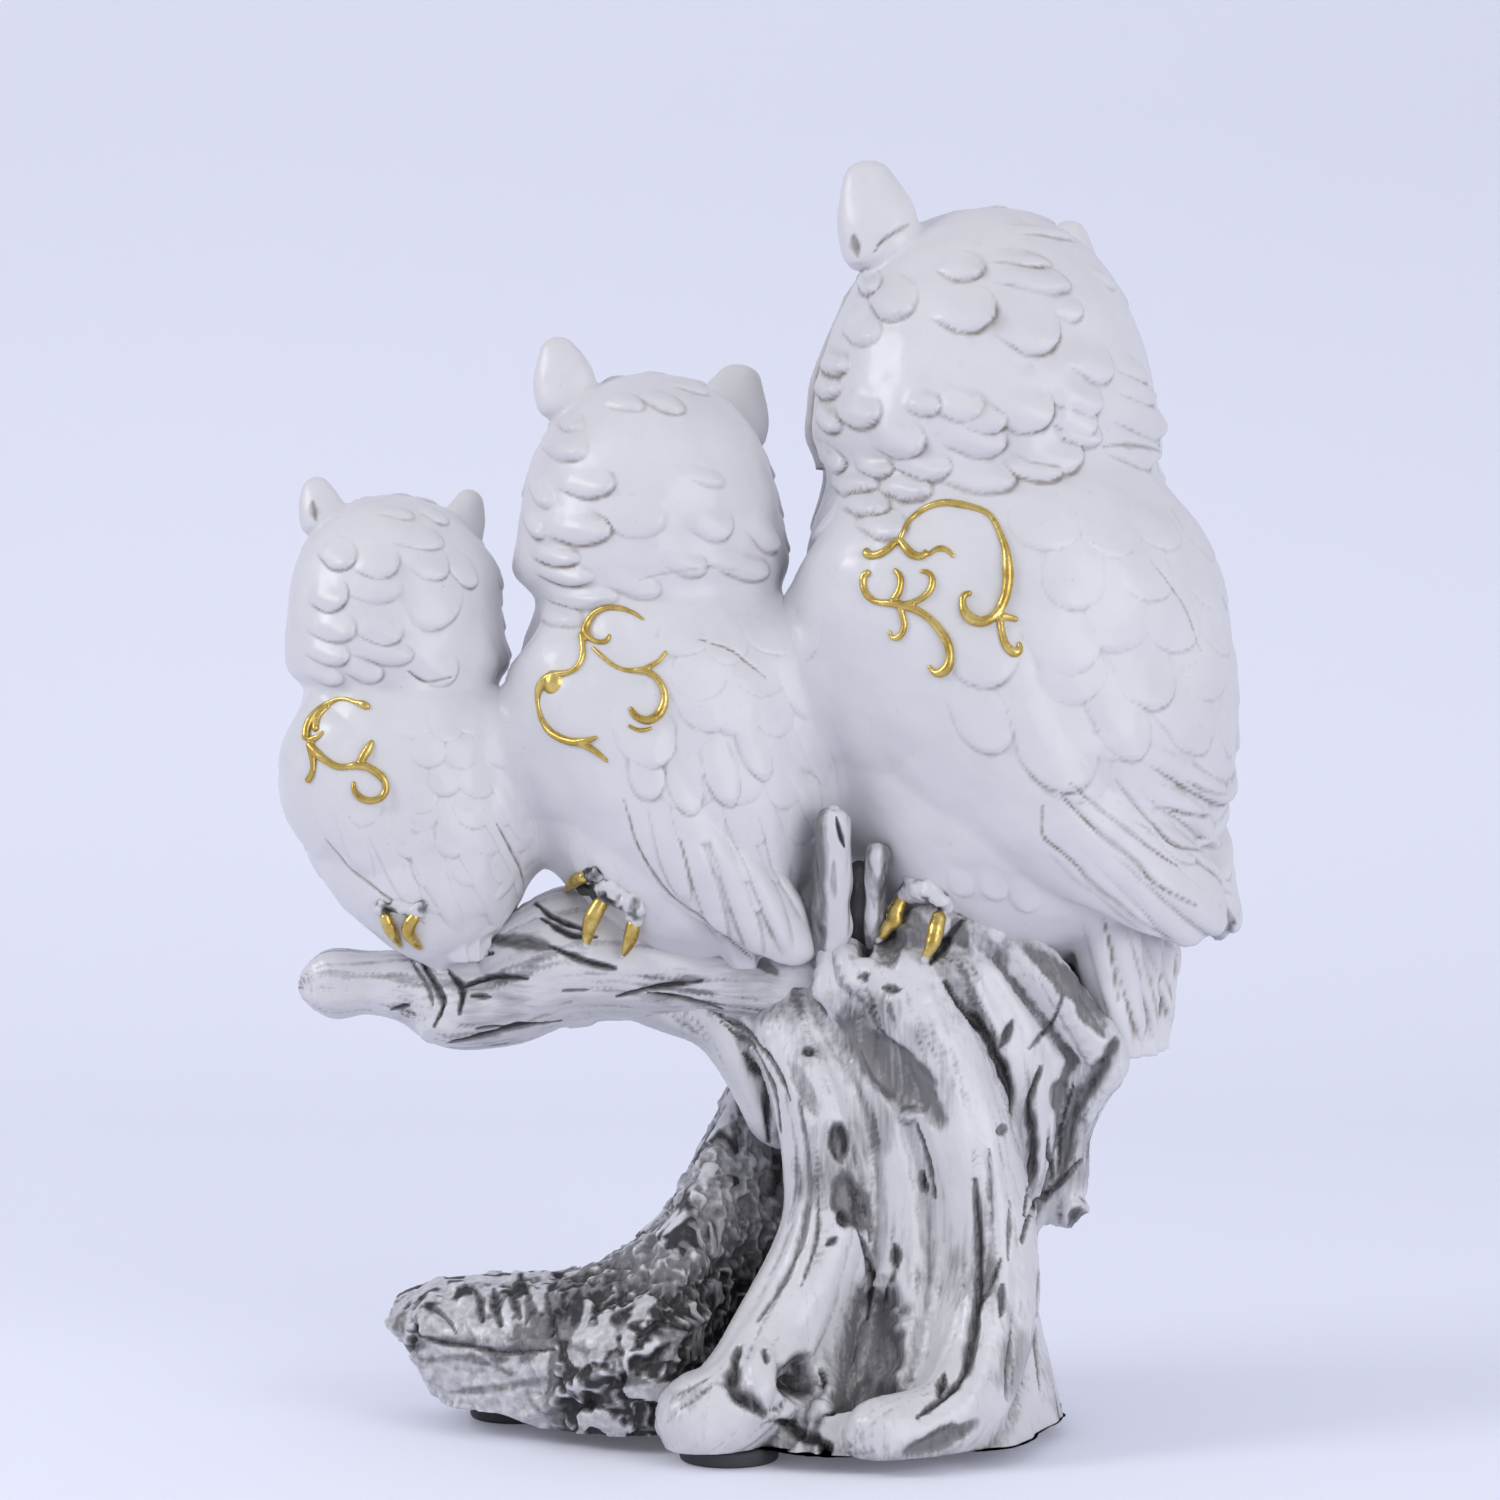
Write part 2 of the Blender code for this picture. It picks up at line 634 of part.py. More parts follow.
def ear_rings(owl, side):
    """One ear tuft, a rounded leaf that leans forward; the right one also leans out, and lies lower."""
    half = owl.head_half
    number = 0 if side < 0 else 1
    spread = EAR_FOOT[0] + EAR_SPREADS[number]
    top = owl.crown + owl.ear_rises[number]
    tip = np.array((side * spread * half, (EAR_FOOT[1] + EAR_FORWARD) * half, top))
    foot = np.array((side * EAR_FOOT[0] * half, EAR_FOOT[1] * half, top - owl.ear_length))
    path = [foot, foot + (tip - foot) * EAR_MIDDLE, tip]
    full = np.array((EAR_THICKNESS, EAR_WIDTH)) * half
    rings = tube_rings(path, (full, full, full * EAR_TIP), EAR_SIDES, EAR_STEPS)
    return placed(owl, rings, owl.head_turn)


def wing_rings(owl, side):
    """One folded wing, a leaf that hugs the flank and runs out past the back."""
    rows = np.array(WING_ROWS)
    scale = owl.body_scale
    heights = owl.perch + rows[:, 2] * owl.body_tall
    spine = np.stack([rows[:, 0] * scale, rows[:, 1] * scale, heights], axis=1)
    past = spine[WING_BODY_ROWS:] - spine[WING_BODY_ROWS - 1]
    spine[WING_BODY_ROWS:] = spine[WING_BODY_ROWS - 1] + past * owl.wing_reach
    spine[WING_BODY_ROWS:, 2] -= owl.wing_drop * np.linspace(0.0, 1.0, len(past))
    keys = lengths_along(spine)
    at = np.linspace(0.0, keys[-1], WING_STEPS)
    centres = curve_at(keys, spine, at)
    sizes = curve_at(keys, rows[:, 3:] * scale, at)
    along = np.gradient(centres, axis=0)
    along /= np.linalg.norm(along, axis=1)[:, None]
    turn = round_angles(WING_SIDES)
    rings = []
    for centre, direction, (breadth, thick) in zip(centres, along, sizes):
        out = np.array((centre[0], min(centre[1] + WING_FACING * scale, 0.0), 0.0))
        out -= direction * np.dot(out, direction)
        out /= np.linalg.norm(out)
        across = np.cross(direction, out)
        lift = thick * np.sin(turn) - WING_SAG * breadth * np.cos(turn) ** 2
        rings.append(centre + np.outer(breadth * np.cos(turn), across) + np.outer(lift, out))
    rings = np.array(rings)
    rings[..., 0] *= side
    return placed(owl, rings, owl.body_turn)


def tail_rings(owl):
    """The tail, a ribbed fan that hangs from the lower back."""
    rows = np.array(TAIL_ROWS) * owl.body_scale
    heights = [owl.perch + share * owl.body_tall for share in TAIL_SHARES] + [owl.perch - owl.tail_drop]
    path = np.stack([np.zeros(len(rows)), rows[:, 0], heights], axis=1)
    keys = lengths_along(path)
    at = np.linspace(0.0, keys[-1], TAIL_STEPS)
    across = np.cos(round_angles(TAIL_SIDES))
    deep = np.sin(round_angles(TAIL_SIDES)) * (1 + TAIL_RIB * np.cos(TAIL_FEATHERS * math.pi * across))
    rings = []
    for centre, (wide, thick) in zip(curve_at(keys, path, at), curve_at(keys, rows[:, 1:], at)):
        rings.append(centre + np.stack([wide * across, thick * deep, np.zeros(TAIL_SIDES)], axis=1))
    return placed(owl, np.array(rings), owl.body_turn)


def build_owl(owl):
    """One owl as a single casting of body, head, ear tufts, wings and tail."""
    body = add_loft(owl.name, owl_rings(owl))
    others = [add_loft("tail", tail_rings(owl))]
    for side in (-1, 1):
        others.append(add_loft("wing", wing_rings(owl, side)))
        others.append(add_loft("ear", ear_rings(owl, side)))
    return fuse(body, *others)


def on_face(owl, surface, across, level):
    """The point of the face at a place across and up the head, and the head's forward direction."""
    height = owl.neck + level * owl.head_tall
    forward = turned(np.array((0.0, 1.0, 0.0)), owl.head_turn)
    start = placed(owl, (across * owl.head_half, FAR, height), owl.head_turn)
    return cast(surface, start, -forward), forward


def build_eye(owl, surface, side, name):
    """A domed eye, set into its disc."""
    radius = EYE_RADIUS * owl.head_half
    seat, forward = on_face(owl, surface, side * EYE_APART, EYE_LEVEL)
    path = [seat + forward * radius * out for out, _ in EYE_PROFILE]
    radii = [radius * share for _, share in EYE_PROFILE]
    return add_loft(name, tube_rings(path, radii, EYE_SIDES, EYE_STEPS, round_ends=False))


def build_beak(owl, surface, name):
    """A short hooked beak between the eyes."""
    radius = BEAK_RADIUS * owl.head_half
    seat, forward = on_face(owl, surface, 0.0, BEAK_LEVEL)
    down = np.array((0.0, 0.0, -BEAK_LENGTH * owl.head_half))
    path = [seat + forward * radius * out + down * drop for out, drop, _ in BEAK_PROFILE]
    radii = [radius * share for _, _, share in BEAK_PROFILE]
    return add_loft(name, tube_rings(path, radii, BEAK_SIDES, BEAK_STEPS))


# Feet and gilded relief
def on_side(surface, x, z, side):
    """The point of a surface that is met first from one side, at X and Z, or else the nearest one."""
    hit = cast(surface, (x, side * FAR, z), (0.0, -side, 0.0))
    if hit is None:
        nearest, *_ = surface.find_nearest(Vector((x, side * NEAR, z)) * MM)
        hit = np.array(nearest) / MM
    return hit


def claws_of(owl):
    """The root, the tip and the radius of each claw of one foot."""
    corner = np.array((owl.axis[0], owl.perch))
    return [(corner + root, corner + tip, radius) for root, tip, radius in CLAWS[owl.name]]


def build_claw(name, surface, root, tip, radius, side):
    """One curved claw, laid down the side of the wood, that never dips below the line from root to tip."""
    shares, bulges, sizes = np.array(CLAW_PROFILE).T
    flat = np.outer(1 - shares, root) + np.outer(shares, tip)
    out = np.array([side * on_side(surface, x, z, side)[1] for x, z in flat])
    straight = (1 - shares) * out[0] + shares * out[-1]
    out = np.maximum(out, straight) + (bulges * CLAW_BULGE + CLAW_SEAT) * radius
    path = np.stack([flat[:, 0], side * out, flat[:, 1]], axis=1)
    return add_loft(name, tube_rings(path, sizes * radius, CLAW_SIDES, CLAW_STEPS))


def build_foot(name, surface, owl, side):
    """The knuckles of one foot, a bar that swells above each claw."""
    roots = sorted((root for root, _, _ in claws_of(owl)), key=lambda root: root[0])
    radius = TOE_SWELL[owl.name] * max(radius for _, _, radius in claws_of(owl))
    run = roots[-1] - roots[0]
    step = run / np.linalg.norm(run) * TOE_REACH
    path = []
    for x, z in (roots[0] - step, *roots, roots[-1] + step):
        path.append(on_side(surface, x, z + radius, side) + (0.0, side * TOE_SEAT * radius, 0.0))
    radii = [radius * TOE_END] + [radius] * len(roots) + [radius * TOE_END]
    return add_loft(name, tube_rings(path, radii, TOE_SIDES, TOE_STEPS))


def scroll_path(surface, owl, flat, radii, mirrored):
    """The middle of a stroke that lies on the owl's near wing, or its mirror image on the other wing."""
    path = []
    for (x, z), radius in zip(flat, radii):
        start = Vector((owl.axis[0] + x, -FAR, owl.neck + z)) * MM
        hit, normal, *_ = surface.ray_cast(start, Vector((0.0, 1.0, 0.0)))
        path.append(np.array(hit) / MM + (radius + CLEARANCE) * np.array(normal))
    path = np.array(path)
    if mirrored:
        local = turned(path - np.array((*owl.axis, 0.0)), -owl.body_turn)
        local[:, 0] *= -1
        path = placed(owl, local, owl.body_turn)
    return path


def build_scroll(name, surface, owl, strokes, mirrored):
    """One scroll of joined strokes that swell in the middle and taper to their ends."""
    parts = []
    for number, stroke in enumerate(strokes):
        keys = lengths_along(stroke)
        steps = math.ceil(keys[-1] / SCROLL_STEP) + 2
        share = np.linspace(0.0, 1.0, steps)
        flat = curve_at(keys, stroke, share * keys[-1])
        swell = SCROLL_TAPER + (1 - SCROLL_TAPER) * np.sin(math.pi * share) ** SCROLL_SWELL
        radii = owl.scroll_radius * swell
        path = scroll_path(surface, owl, flat, radii, mirrored)
        parts.append(add_loft(f"{name}_{number}", tube_rings(path, radii, SCROLL_SIDES, steps)))
    parts[0].name = name
    return fuse(*parts)


# Finish and placing
def material(name, colour, roughness, metallic=0.0):
    """A plain Principled material."""
    made = bpy.data.materials.new(name)
    made.use_nodes = True
    shader = made.node_tree.nodes["Principled BSDF"]
    shader.inputs["Base Color"].default_value = (*colour, 1.0)
    shader.inputs["Roughness"].default_value = roughness
    shader.inputs["Metallic"].default_value = metallic
    return made


def finish(obj, look, parent):
    """Gives a solid its material, smooth shading and its place under the figurine."""
    obj.data.materials.clear()
    obj.data.materials.append(look)
    obj.data.shade_smooth()
    obj.data.set_sharp_from_angle(angle=SHARP_EDGE)
    obj.parent = parent


def stand_on_origin(parent):
    """Moves the whole figurine so that its box stands on the origin."""
    corners = np.array([vert.co for obj in parent.children for vert in obj.data.vertices])
    low, high = corners.min(axis=0), corners.max(axis=0)
    parent.location = (-(low[0] + high[0]) / 2, -(low[1] + high[1]) / 2, -low[2])


def build_wood():
    """The stump, the branch, the bark log and the two twig stubs."""
    stump = build_stump()
    branch = clear_of(build_branch(), stump)
    bark_log = clear_of(build_bark_log(), stump, branch)
    stubs = [clear_of(build_stub(name, rows), stump, branch, bark_log) for name, rows in STUBS.items()]
    return [stump, branch, bark_log, *stubs]


def build_trim(owl, solid):
    """The beak, the eyes and the scrolls of one owl, before the owl is cut clear of what it sits on."""
    surface = surface_of(solid)
    trim = [build_beak(owl, surface, f"{owl.name}_beak")]
    for side, hand in ((-1, "left"), (1, "right")):
        trim.append(build_eye(owl, surface, side, f"{owl.name}_{hand}_eye"))
        for part, strokes in SCROLLS[owl.name].items():
            name = f"{owl.name}_{hand}_scroll_{part}"
            trim.append(build_scroll(name, surface, owl, strokes, hand == "right"))
    return trim


def build_feet(owl, bodies):
    """Both feet of one owl, and all its claws, on the wood and the owls."""
    surface = surface_of(*bodies)
    feet, claws = [], []
    for side, hand in ((-1, "left"), (1, "right")):
        foot = clear_of(build_foot(f"{owl.name}_{hand}_foot", surface, owl, side), *bodies)
        feet.append(foot)
        for number, (root, tip, radius) in enumerate(claws_of(owl), 1):
            claw = build_claw(f"{owl.name}_{hand}_claw_{number}", surface, root, tip, radius, side)
            claws.append(clear_of(claw, *bodies, foot))
    return feet, claws


def main():
    for obj in list(bpy.data.objects):
        bpy.data.objects.remove(obj)
    wood = build_wood()
    owls, feet, gilded = [], [], []
    for owl in OWLS:
        solid = build_owl(owl)
        trim = build_trim(owl, solid)
        clear_of(solid, *wood, *owls)
        gilded += [clear_of(piece, solid) for piece in trim]
        owls.append(solid)
    for owl in OWLS:
        knuckles, claws = build_feet(owl, wood + owls)
        feet += knuckles
        gilded += claws
    pads = [build_pad(f"{name}_pad", place) for name, place in PAD_PLACES.items()]

    figurine = bpy.data.objects.new("figurine", None)
    bpy.context.scene.collection.objects.link(figurine)
    looks = (
        (material("white_resin", WHITE, 0.35), owls),
        (material("washed_resin", WASHED, 0.4), wood + feet),
        (material("gilt", GOLD, 0.35, 1.0), gilded),
        (material("black_rubber", DARK, 0.8), pads),
    )
    for look, solids in looks:
        for obj in solids:
            finish(obj, look, figurine)
    stand_on_origin(figurine)


main()
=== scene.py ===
"""Looks of the cast resin owl figurine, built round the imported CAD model.

Sizes are in millimetres in the sculptor's frame: X runs along the branch towards the stump, Y from the
owls' backs to their faces, and Z is up. Places that were read off the photograph are in its pixels, and are
carried onto the forms by lines of sight from its camera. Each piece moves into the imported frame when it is
finished.
"""

import itertools
import math
from dataclasses import dataclass

import bpy
import numpy as np
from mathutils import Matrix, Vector
from mathutils.bvhtree import BVHTree
from mathutils.kdtree import KDTree


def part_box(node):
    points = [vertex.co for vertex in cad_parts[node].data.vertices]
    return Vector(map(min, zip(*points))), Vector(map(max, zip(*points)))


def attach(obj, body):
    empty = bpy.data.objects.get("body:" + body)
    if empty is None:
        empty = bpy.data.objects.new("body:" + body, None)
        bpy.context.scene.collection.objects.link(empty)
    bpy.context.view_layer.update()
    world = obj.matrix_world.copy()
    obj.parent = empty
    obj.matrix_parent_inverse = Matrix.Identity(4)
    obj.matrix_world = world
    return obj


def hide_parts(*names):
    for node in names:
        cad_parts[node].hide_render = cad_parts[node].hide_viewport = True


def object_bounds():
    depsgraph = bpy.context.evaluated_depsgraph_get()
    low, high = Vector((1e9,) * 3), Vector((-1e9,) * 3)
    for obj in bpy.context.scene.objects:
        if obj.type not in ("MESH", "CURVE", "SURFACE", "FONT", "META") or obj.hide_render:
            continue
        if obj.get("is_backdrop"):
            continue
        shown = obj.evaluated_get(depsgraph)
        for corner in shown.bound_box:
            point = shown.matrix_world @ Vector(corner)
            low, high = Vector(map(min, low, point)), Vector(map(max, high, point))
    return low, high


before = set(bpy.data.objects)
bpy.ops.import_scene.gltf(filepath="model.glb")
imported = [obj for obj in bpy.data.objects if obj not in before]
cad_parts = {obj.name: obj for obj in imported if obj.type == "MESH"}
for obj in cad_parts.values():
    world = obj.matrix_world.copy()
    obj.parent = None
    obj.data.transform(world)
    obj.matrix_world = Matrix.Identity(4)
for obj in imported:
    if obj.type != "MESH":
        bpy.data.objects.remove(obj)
CAD_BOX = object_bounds()

MM = 0.001
FAR = 400.0
SEED = 7
UP = np.array((0.0, 0.0, 1.0))
SIDES = ((-1, "left"), (1, "right"))

# The photograph's camera
PHOTO_SIZE = 1500.0
EYE = np.array((0.0, -760.0, 154.5))
EYE_PITCH = math.radians(1.5)
FOCAL = 3800.0
PIXEL = 0.2
SENSOR = 36.0

# Pads and wood
STUMP_TOP = 101.0
PAD_DIAMETER = 19.0
PAD_THICKNESS = 3.0
PAD_CORNER = 0.7
PAD_PLACES = {"left": (-47.0, 4.0), "front": (-4.0, -37.0), "right": (43.0, 8.0), "rear": (13.0, 21.0)}
WOOD_BOTTOM = 3.3
STUMP_SQUARENESS = 2.3
STUMP_FLUTES = 7
STUMP_FLUTE_DEPTH = 0.035
STUMP_TWIST = 0.9
# Share of the stump's height, then the stump's left, right, back-side and face-side limits there.
STUMP_ROWS = (
    (0.0, -15.0, 61.5, -51.0, 38.5),
    (0.09, -10.0, 59.5, -46.0, 36.0),
    (0.20, 0.0, 57.0, -37.0, 32.0),
    (0.35, 6.0, 56.0, -31.0, 29.0),
    (0.50, 8.0, 63.0, -29.0, 28.0),
    (0.61, 6.0, 67.0, -28.0, 28.0),
    (0.74, -1.0, 71.0, -27.0, 28.0),
    (0.86, 2.0, 69.0, -25.0, 27.0),
    (0.95, 10.0, 62.0, -21.0, 23.0),
    (1.0, 22.0, 52.0, -10.0, 12.0),
)
# Each strand of the stump: X, Y and the share of the stump's height that its centre passes, and its radii.
STRANDS = {
    "front_root": (
        ((28.0, -17.0, 0.91), (38.0, -22.0, 0.71), (45.0, -25.0, 0.475), (45.5, -30.0, 0.26),
         (37.0, -42.0, 0.09), (18.0, -51.5, 0.065)),
        (9.0, 9.0, 9.5, 10.0, 8.5, 7.0),
    ),
    "left_root": (
        ((6.0, -10.0, 0.85), (13.0, -19.0, 0.65), (15.0, -23.0, 0.435), (7.0, -30.0, 0.25),
         (-5.0, -42.0, 0.10), (-18.0, -40.0, 0.07)),
        (8.0, 8.5, 9.0, 9.5, 9.5, 9.0),
    ),
    "arch": (
        ((-28.0, -2.5, 0.865), (-18.0, -3.5, 0.845), (-6.0, -5.0, 0.81), (4.0, -8.0, 0.69),
         (9.0, -10.0, 0.555)),
        (4.5, 6.0, 7.0, 8.0, 7.0),
    ),
    "right_lip": (
        ((50.0, -16.0, 0.955), (55.5, -19.0, 0.925), (59.0, -20.0, 0.885), (64.5, -20.0, 0.817),
         (69.5, -19.0, 0.738), (66.0, -16.0, 0.68), (62.5, -13.0, 0.60), (61.5, -12.0, 0.475),
         (61.0, -12.0, 0.40)),
        (4.5, 5.0, 5.0, 5.0, 5.0, 5.0, 5.0, 5.2, 4.2),
    ),
    "perch_rim": (
        ((28.0, -15.0, 0.97), (36.0, -18.0, 1.0), (43.0, -18.0, 0.995), (52.0, -17.0, 0.95),
         (60.0, -14.0, 0.88)),
        (4.5, 5.0, 5.0, 5.0, 4.5),
    ),
    "rear_root": (
        ((30.0, 17.0, 0.89), (36.0, 20.0, 0.595), (40.0, 24.0, 0.30), (46.0, 30.0, 0.11)),
        (9.0, 9.5, 10.0, 7.5),
    ),
}
FOLDED_STRANDS = ("front_root", "left_root", "right_lip", "rear_root")
# The branch's centre: X, Y and the drop below the stump's top, then its half-height and half-depth there.
BRANCH_ROWS = (
    (22.0, 0.0, 14.0, 13.0, 18.0),
    (2.0, 0.0, 12.0, 11.0, 16.0),
    (-12.0, -0.5, 11.0, 9.5, 14.0),
    (-22.0, -2.0, 9.0, 11.5, 14.5),
    (-33.0, -2.5, 7.5, 14.0, 14.5),
    (-42.0, -2.0, 10.5, 13.0, 13.5),
    (-50.0, -0.5, 15.5, 9.8, 12.5),
    (-60.0, -0.5, 15.5, 9.8, 12.0),
    (-67.0, -1.0, 13.5, 7.5, 9.5),
    (-76.0, -1.5, 12.5, 6.2, 7.0),
    (-84.0, -1.5, 13.0, 6.8, 7.0),
    (-90.0, -2.0, 14.0, 4.6, 4.8),
)
# The fold beside a strand: its distance from the strand's centre and half-width in radii, and its depth.
FOLD_REACH = 1.24
FOLD_HALF = 0.17
FOLD_DEPTH = 1.5
FOLD_WASH = 0.45
# The recess between the roots spares a strand up to these radii.
SPARED = (1.02, 1.16)
BARK_SQUARENESS = 2.6
BARK_VOXEL = 0.44
# The underside rises towards the near corner of the log's end, between these distances from the middle.
BARK_LIFT = 2.4
BARK_LIFT_LEFT = (40.0, 50.0)
BARK_LIFT_NEAR = (3.0, 10.0)
# Where the smoother end and its tip set in, to the left, and the upper and the highest bark, upwards.
BARK_END = (35.0, 41.0)
BARK_TIP = (58.0, 68.0)
BARK_UPPER = (18.0, 21.0)
BARK_HIGH = (27.0, 42.0)
# Size and height of the bark's lumps, crumbs, chips, swells and the roughness of its tip.
BARK_LUMP_SIZE, BARK_LUMP_TALL = 5.2, 1.5
BARK_GRIT_SIZE, BARK_GRIT_TALL = 3.0, 0.75
BARK_CHIP_SIZE, BARK_CHIP_TALL = 6.5, 0.8
BARK_CHIP_EDGE = (0.42, 0.54)
BARK_SWELL_SIZE, BARK_SWELL_TALL = 16.0, 1.3
BARK_TIP_SIZE, BARK_TIP_TALL = 4.0, 0.8
BARK_LOBE_TALL = 0.5
# The swirl that bends the lumps and crumbs.
BARK_SWIRL_SIZE, BARK_SWIRL = 3.0, 1.2
# The level and steepness of the crumbs' tops.
BARK_GRIT_LEVEL, BARK_GRIT_STEEP = 0.5, 1.6
# How much more the highest bark is chipped, and how much paler it is painted: partly its pale chips, partly
# painted light against the shade that falls there.
BARK_HIGH_CHIPS, BARK_HIGH_PALE_AND_LIT = 0.3, 0.55
# The lumps of the end that are worn, how smooth worn bark is, and how far the wear takes the relief off.
BARK_WORN = (-0.85, -0.5)
BARK_SMOOTH, BARK_WORN_OFF = 0.92, 0.9
# How far the swells die out towards the tip.
BARK_TIP_EVEN = 0.7
# Dark in the depths: rounds that even out the relief to find them, the crumbs' share, and where it fades.
BARK_DARK_ROUNDS, BARK_DARK_GRIT = 16, 0.25
BARK_DARK = (-0.1, 0.75)
# Streaks of wash on worn bark, along the log and down it: stretch, size and where they set in.
BARK_STREAKS = (((0.3, 1.0, 1.0), 5.0, (-0.05, 0.7)), ((1.0, 1.0, 0.3), 3.5, (-0.1, 0.4)))
# Their wash, which grows between two heights where they run down, and the wash of all worn bark.
BARK_ALONG_WASH = 0.6
BARK_DOWN_WASH = (0.45, 0.5)
BARK_DOWN_RISE = (22.0, 27.0)
BARK_WORN_WASH = 0.08
# Along the bark log, from its tip into the stump: its middle in Y, half-depth, underside and top.
BARK_ROWS = (
    (-71.5, 1.0, 8.0, 19.5, 24.0),
    (-67.0, 0.5, 14.5, 12.5, 26.0),
    (-56.0, 0.0, 19.0, 0.0, 28.0),
    (-42.0, -2.0, 24.0, -4.0, 29.0),
    (-26.0, -4.0, 31.0, -6.0, 34.0),
    (-13.0, 2.0, 32.0, -6.0, 45.0),
    (-5.0, 12.0, 21.0, -6.0, 64.0),
    (3.0, 16.0, 15.0, -6.0, 79.0),
    (14.0, 16.0, 11.0, -6.0, 82.0),
)
# Two broken twigs: X, Y, rise above the stump's top, and radius.
STUBS = {
    "tall_twig_stub": ((15.0, -9.0, -13.0, 4.2), (16.0, -18.0, -1.0, 4.0), (16.2, -24.0, 23.0, 3.5)),
    "short_twig_stub": ((24.2, -8.0, -9.0, 2.3), (24.2, -15.5, 0.0, 2.4), (24.6, -21.0, 15.5, 2.2)),
}
# The strip that joins the short twig to the tall one, in the same way; it is painted fully dark as the shadow
# in the slot between them.
STUB_SHADOW_WEB = ((21.2, -9.0, -9.0, 2.2), (21.0, -15.0, 1.0, 2.2), (21.2, -19.0, 12.5, 1.9))

# Cracks in the twigs, drawn like those of the stump.
STUB_CRACKS = (
    (((836, 818), (840, 834), (845, 847)), 2.0, 0.8, 1.0),
    (((884, 862), (886, 878)), 2.0, 0.5, 0.8),
)
STUB_VOXEL = 0.22
# Size and height of the twigs' lumps, streaks and worn ends, the streaks' stretch and the ends' length.
STUB_LUMP_SIZE, STUB_LUMP_TALL = 5.0, 0.7
STUB_STREAK_SIZE, STUB_STREAK_TALL = 1.8, 0.12
STUB_WORN_SIZE, STUB_WORN_TALL = 2.2, 0.8
STUB_STRETCH = (1.0, 1.0, 0.2)
STUB_END = 4.0
# The side of each twig that is painted with shade: -1 towards the branch's free end, 1 away from it.
STUB_SHADES = {"tall_twig_stub": -1.0, "short_twig_stub": 1.0}
# That side's painted shade: where it sets in, its strength, and how far the streaks break it; then the
# streaks' wash.
STUB_SIDE = (0.05, 0.6)
STUB_PAINTED_SIDE_SHADE, STUB_BREAK = 0.7, 0.25
STUB_STREAK_EDGE, STUB_STREAK_WASH = (0.0, 0.9), 0.4
# The strip's painted shadow: the step along it, and where it runs out, in radii.
STUB_SHADOW_WEB_STEP = 1.0
STUB_SHADOW_WEB_EDGE = (1.1, 1.4)

# Fine and broad grain: the size of its noise, the length and number of the steps that draw it out, and
# its height, with the limits of both.
FINE_GRAIN = (1.2, 1.4, 9)
BROAD_GRAIN = (4.0, 3.0, 6)
FINE_TALL = 0.07
BROAD_TALL = 0.3
GRAIN_LIMITS = (-2.5, 2.0)
# Cracks: the step along them in pixels, how far round them to look in half-widths, their width at the ends,
# how ragged they are, and the height and place of the lip beside them.
CRACK_STEP = 4.0
CRACK_REACH = 4
CRACK_ENDS = 0.35
CRACK_RAGGED_SIZE, CRACK_RAGGED = 2.0, 0.45
CRACK_LIP, CRACK_LIP_AT = 0.22, 2.1
# How full a crack stays towards its ends, how thin its lip is, and the strength and half-width of its wash.
CRACK_BOW, CRACK_LIP_THIN = 0.7, 1.5
CRACK_WASH, CRACK_WASH_HALF = 1.25, 1.15
# Hollows: the sizes and shares of their ragged outline, how far behind the surface they reach in
# millimetres, and where their sides and their wash run out, in half-widths.
HOLLOW_RAGGED = ((4.0, 0.24), (1.4, 0.1))
HOLLOW_BEHIND = 6.0
HOLLOW_SIDES = (0.5, 1.06)
HOLLOW_WASH = (0.7, 1.1)
# Hollows leave out surfaces that face away from the camera by more than this.
HOLLOW_FACING = 0.3
# Smears of wash: their size and where they set in, and the strength on each form.
SMEAR_SIZE = 17.0
SMEAR_EDGE = (0.12, 0.75)
STUMP_SMEARS = 0.55
BRANCH_SMEARS = 0.4
# Wash in the valleys of the form: the rounds that even it out to find them, their depths in millimetres, the
# wash, and how far the grain breaks up that wash and the hollows'.
VALLEY_ROUNDS = 60
VALLEY_DEPTHS = (0.15, 1.1)
VALLEY_WASH, VALLEY_BREAK, HOLLOW_BREAK = 0.7, 0.2, 0.15
# Wash in the grain: where its streaks set in, their wash, their share in the smears, and the wash everywhere.
STREAK_EDGE = (0.3, 1.9)
STREAK_WASH, STREAK_SHARE, LEAST_WASH = 0.3, 0.45, 0.05
# Wash in the crevices of the relief: rounds to find them, their depths in millimetres, and the wash.
CREVICE_ROUNDS = 10
CREVICE_DEPTHS = (0.05, 0.5)
CREVICE_WASH = 0.9
# The column of pixels about which the marks are mirrored onto the far side.
STUMP_MIRROR = 945.0
BRANCH_MIRROR = 520.0
# The radius within which the branch guides the grain.
BRANCH_GUIDE = 20.0
# The grain's guides: the step along them, how far they reach in radii, and the weight of the general way.
GUIDE_STEP, GUIDE_REACH, GENERAL_WAY = 4.0, 1.5, 0.35
# The step along a strand when its distance is measured.
STRAND_STEP = 3.0
STUMP_VOXEL = 0.6
BRANCH_VOXEL = 0.42

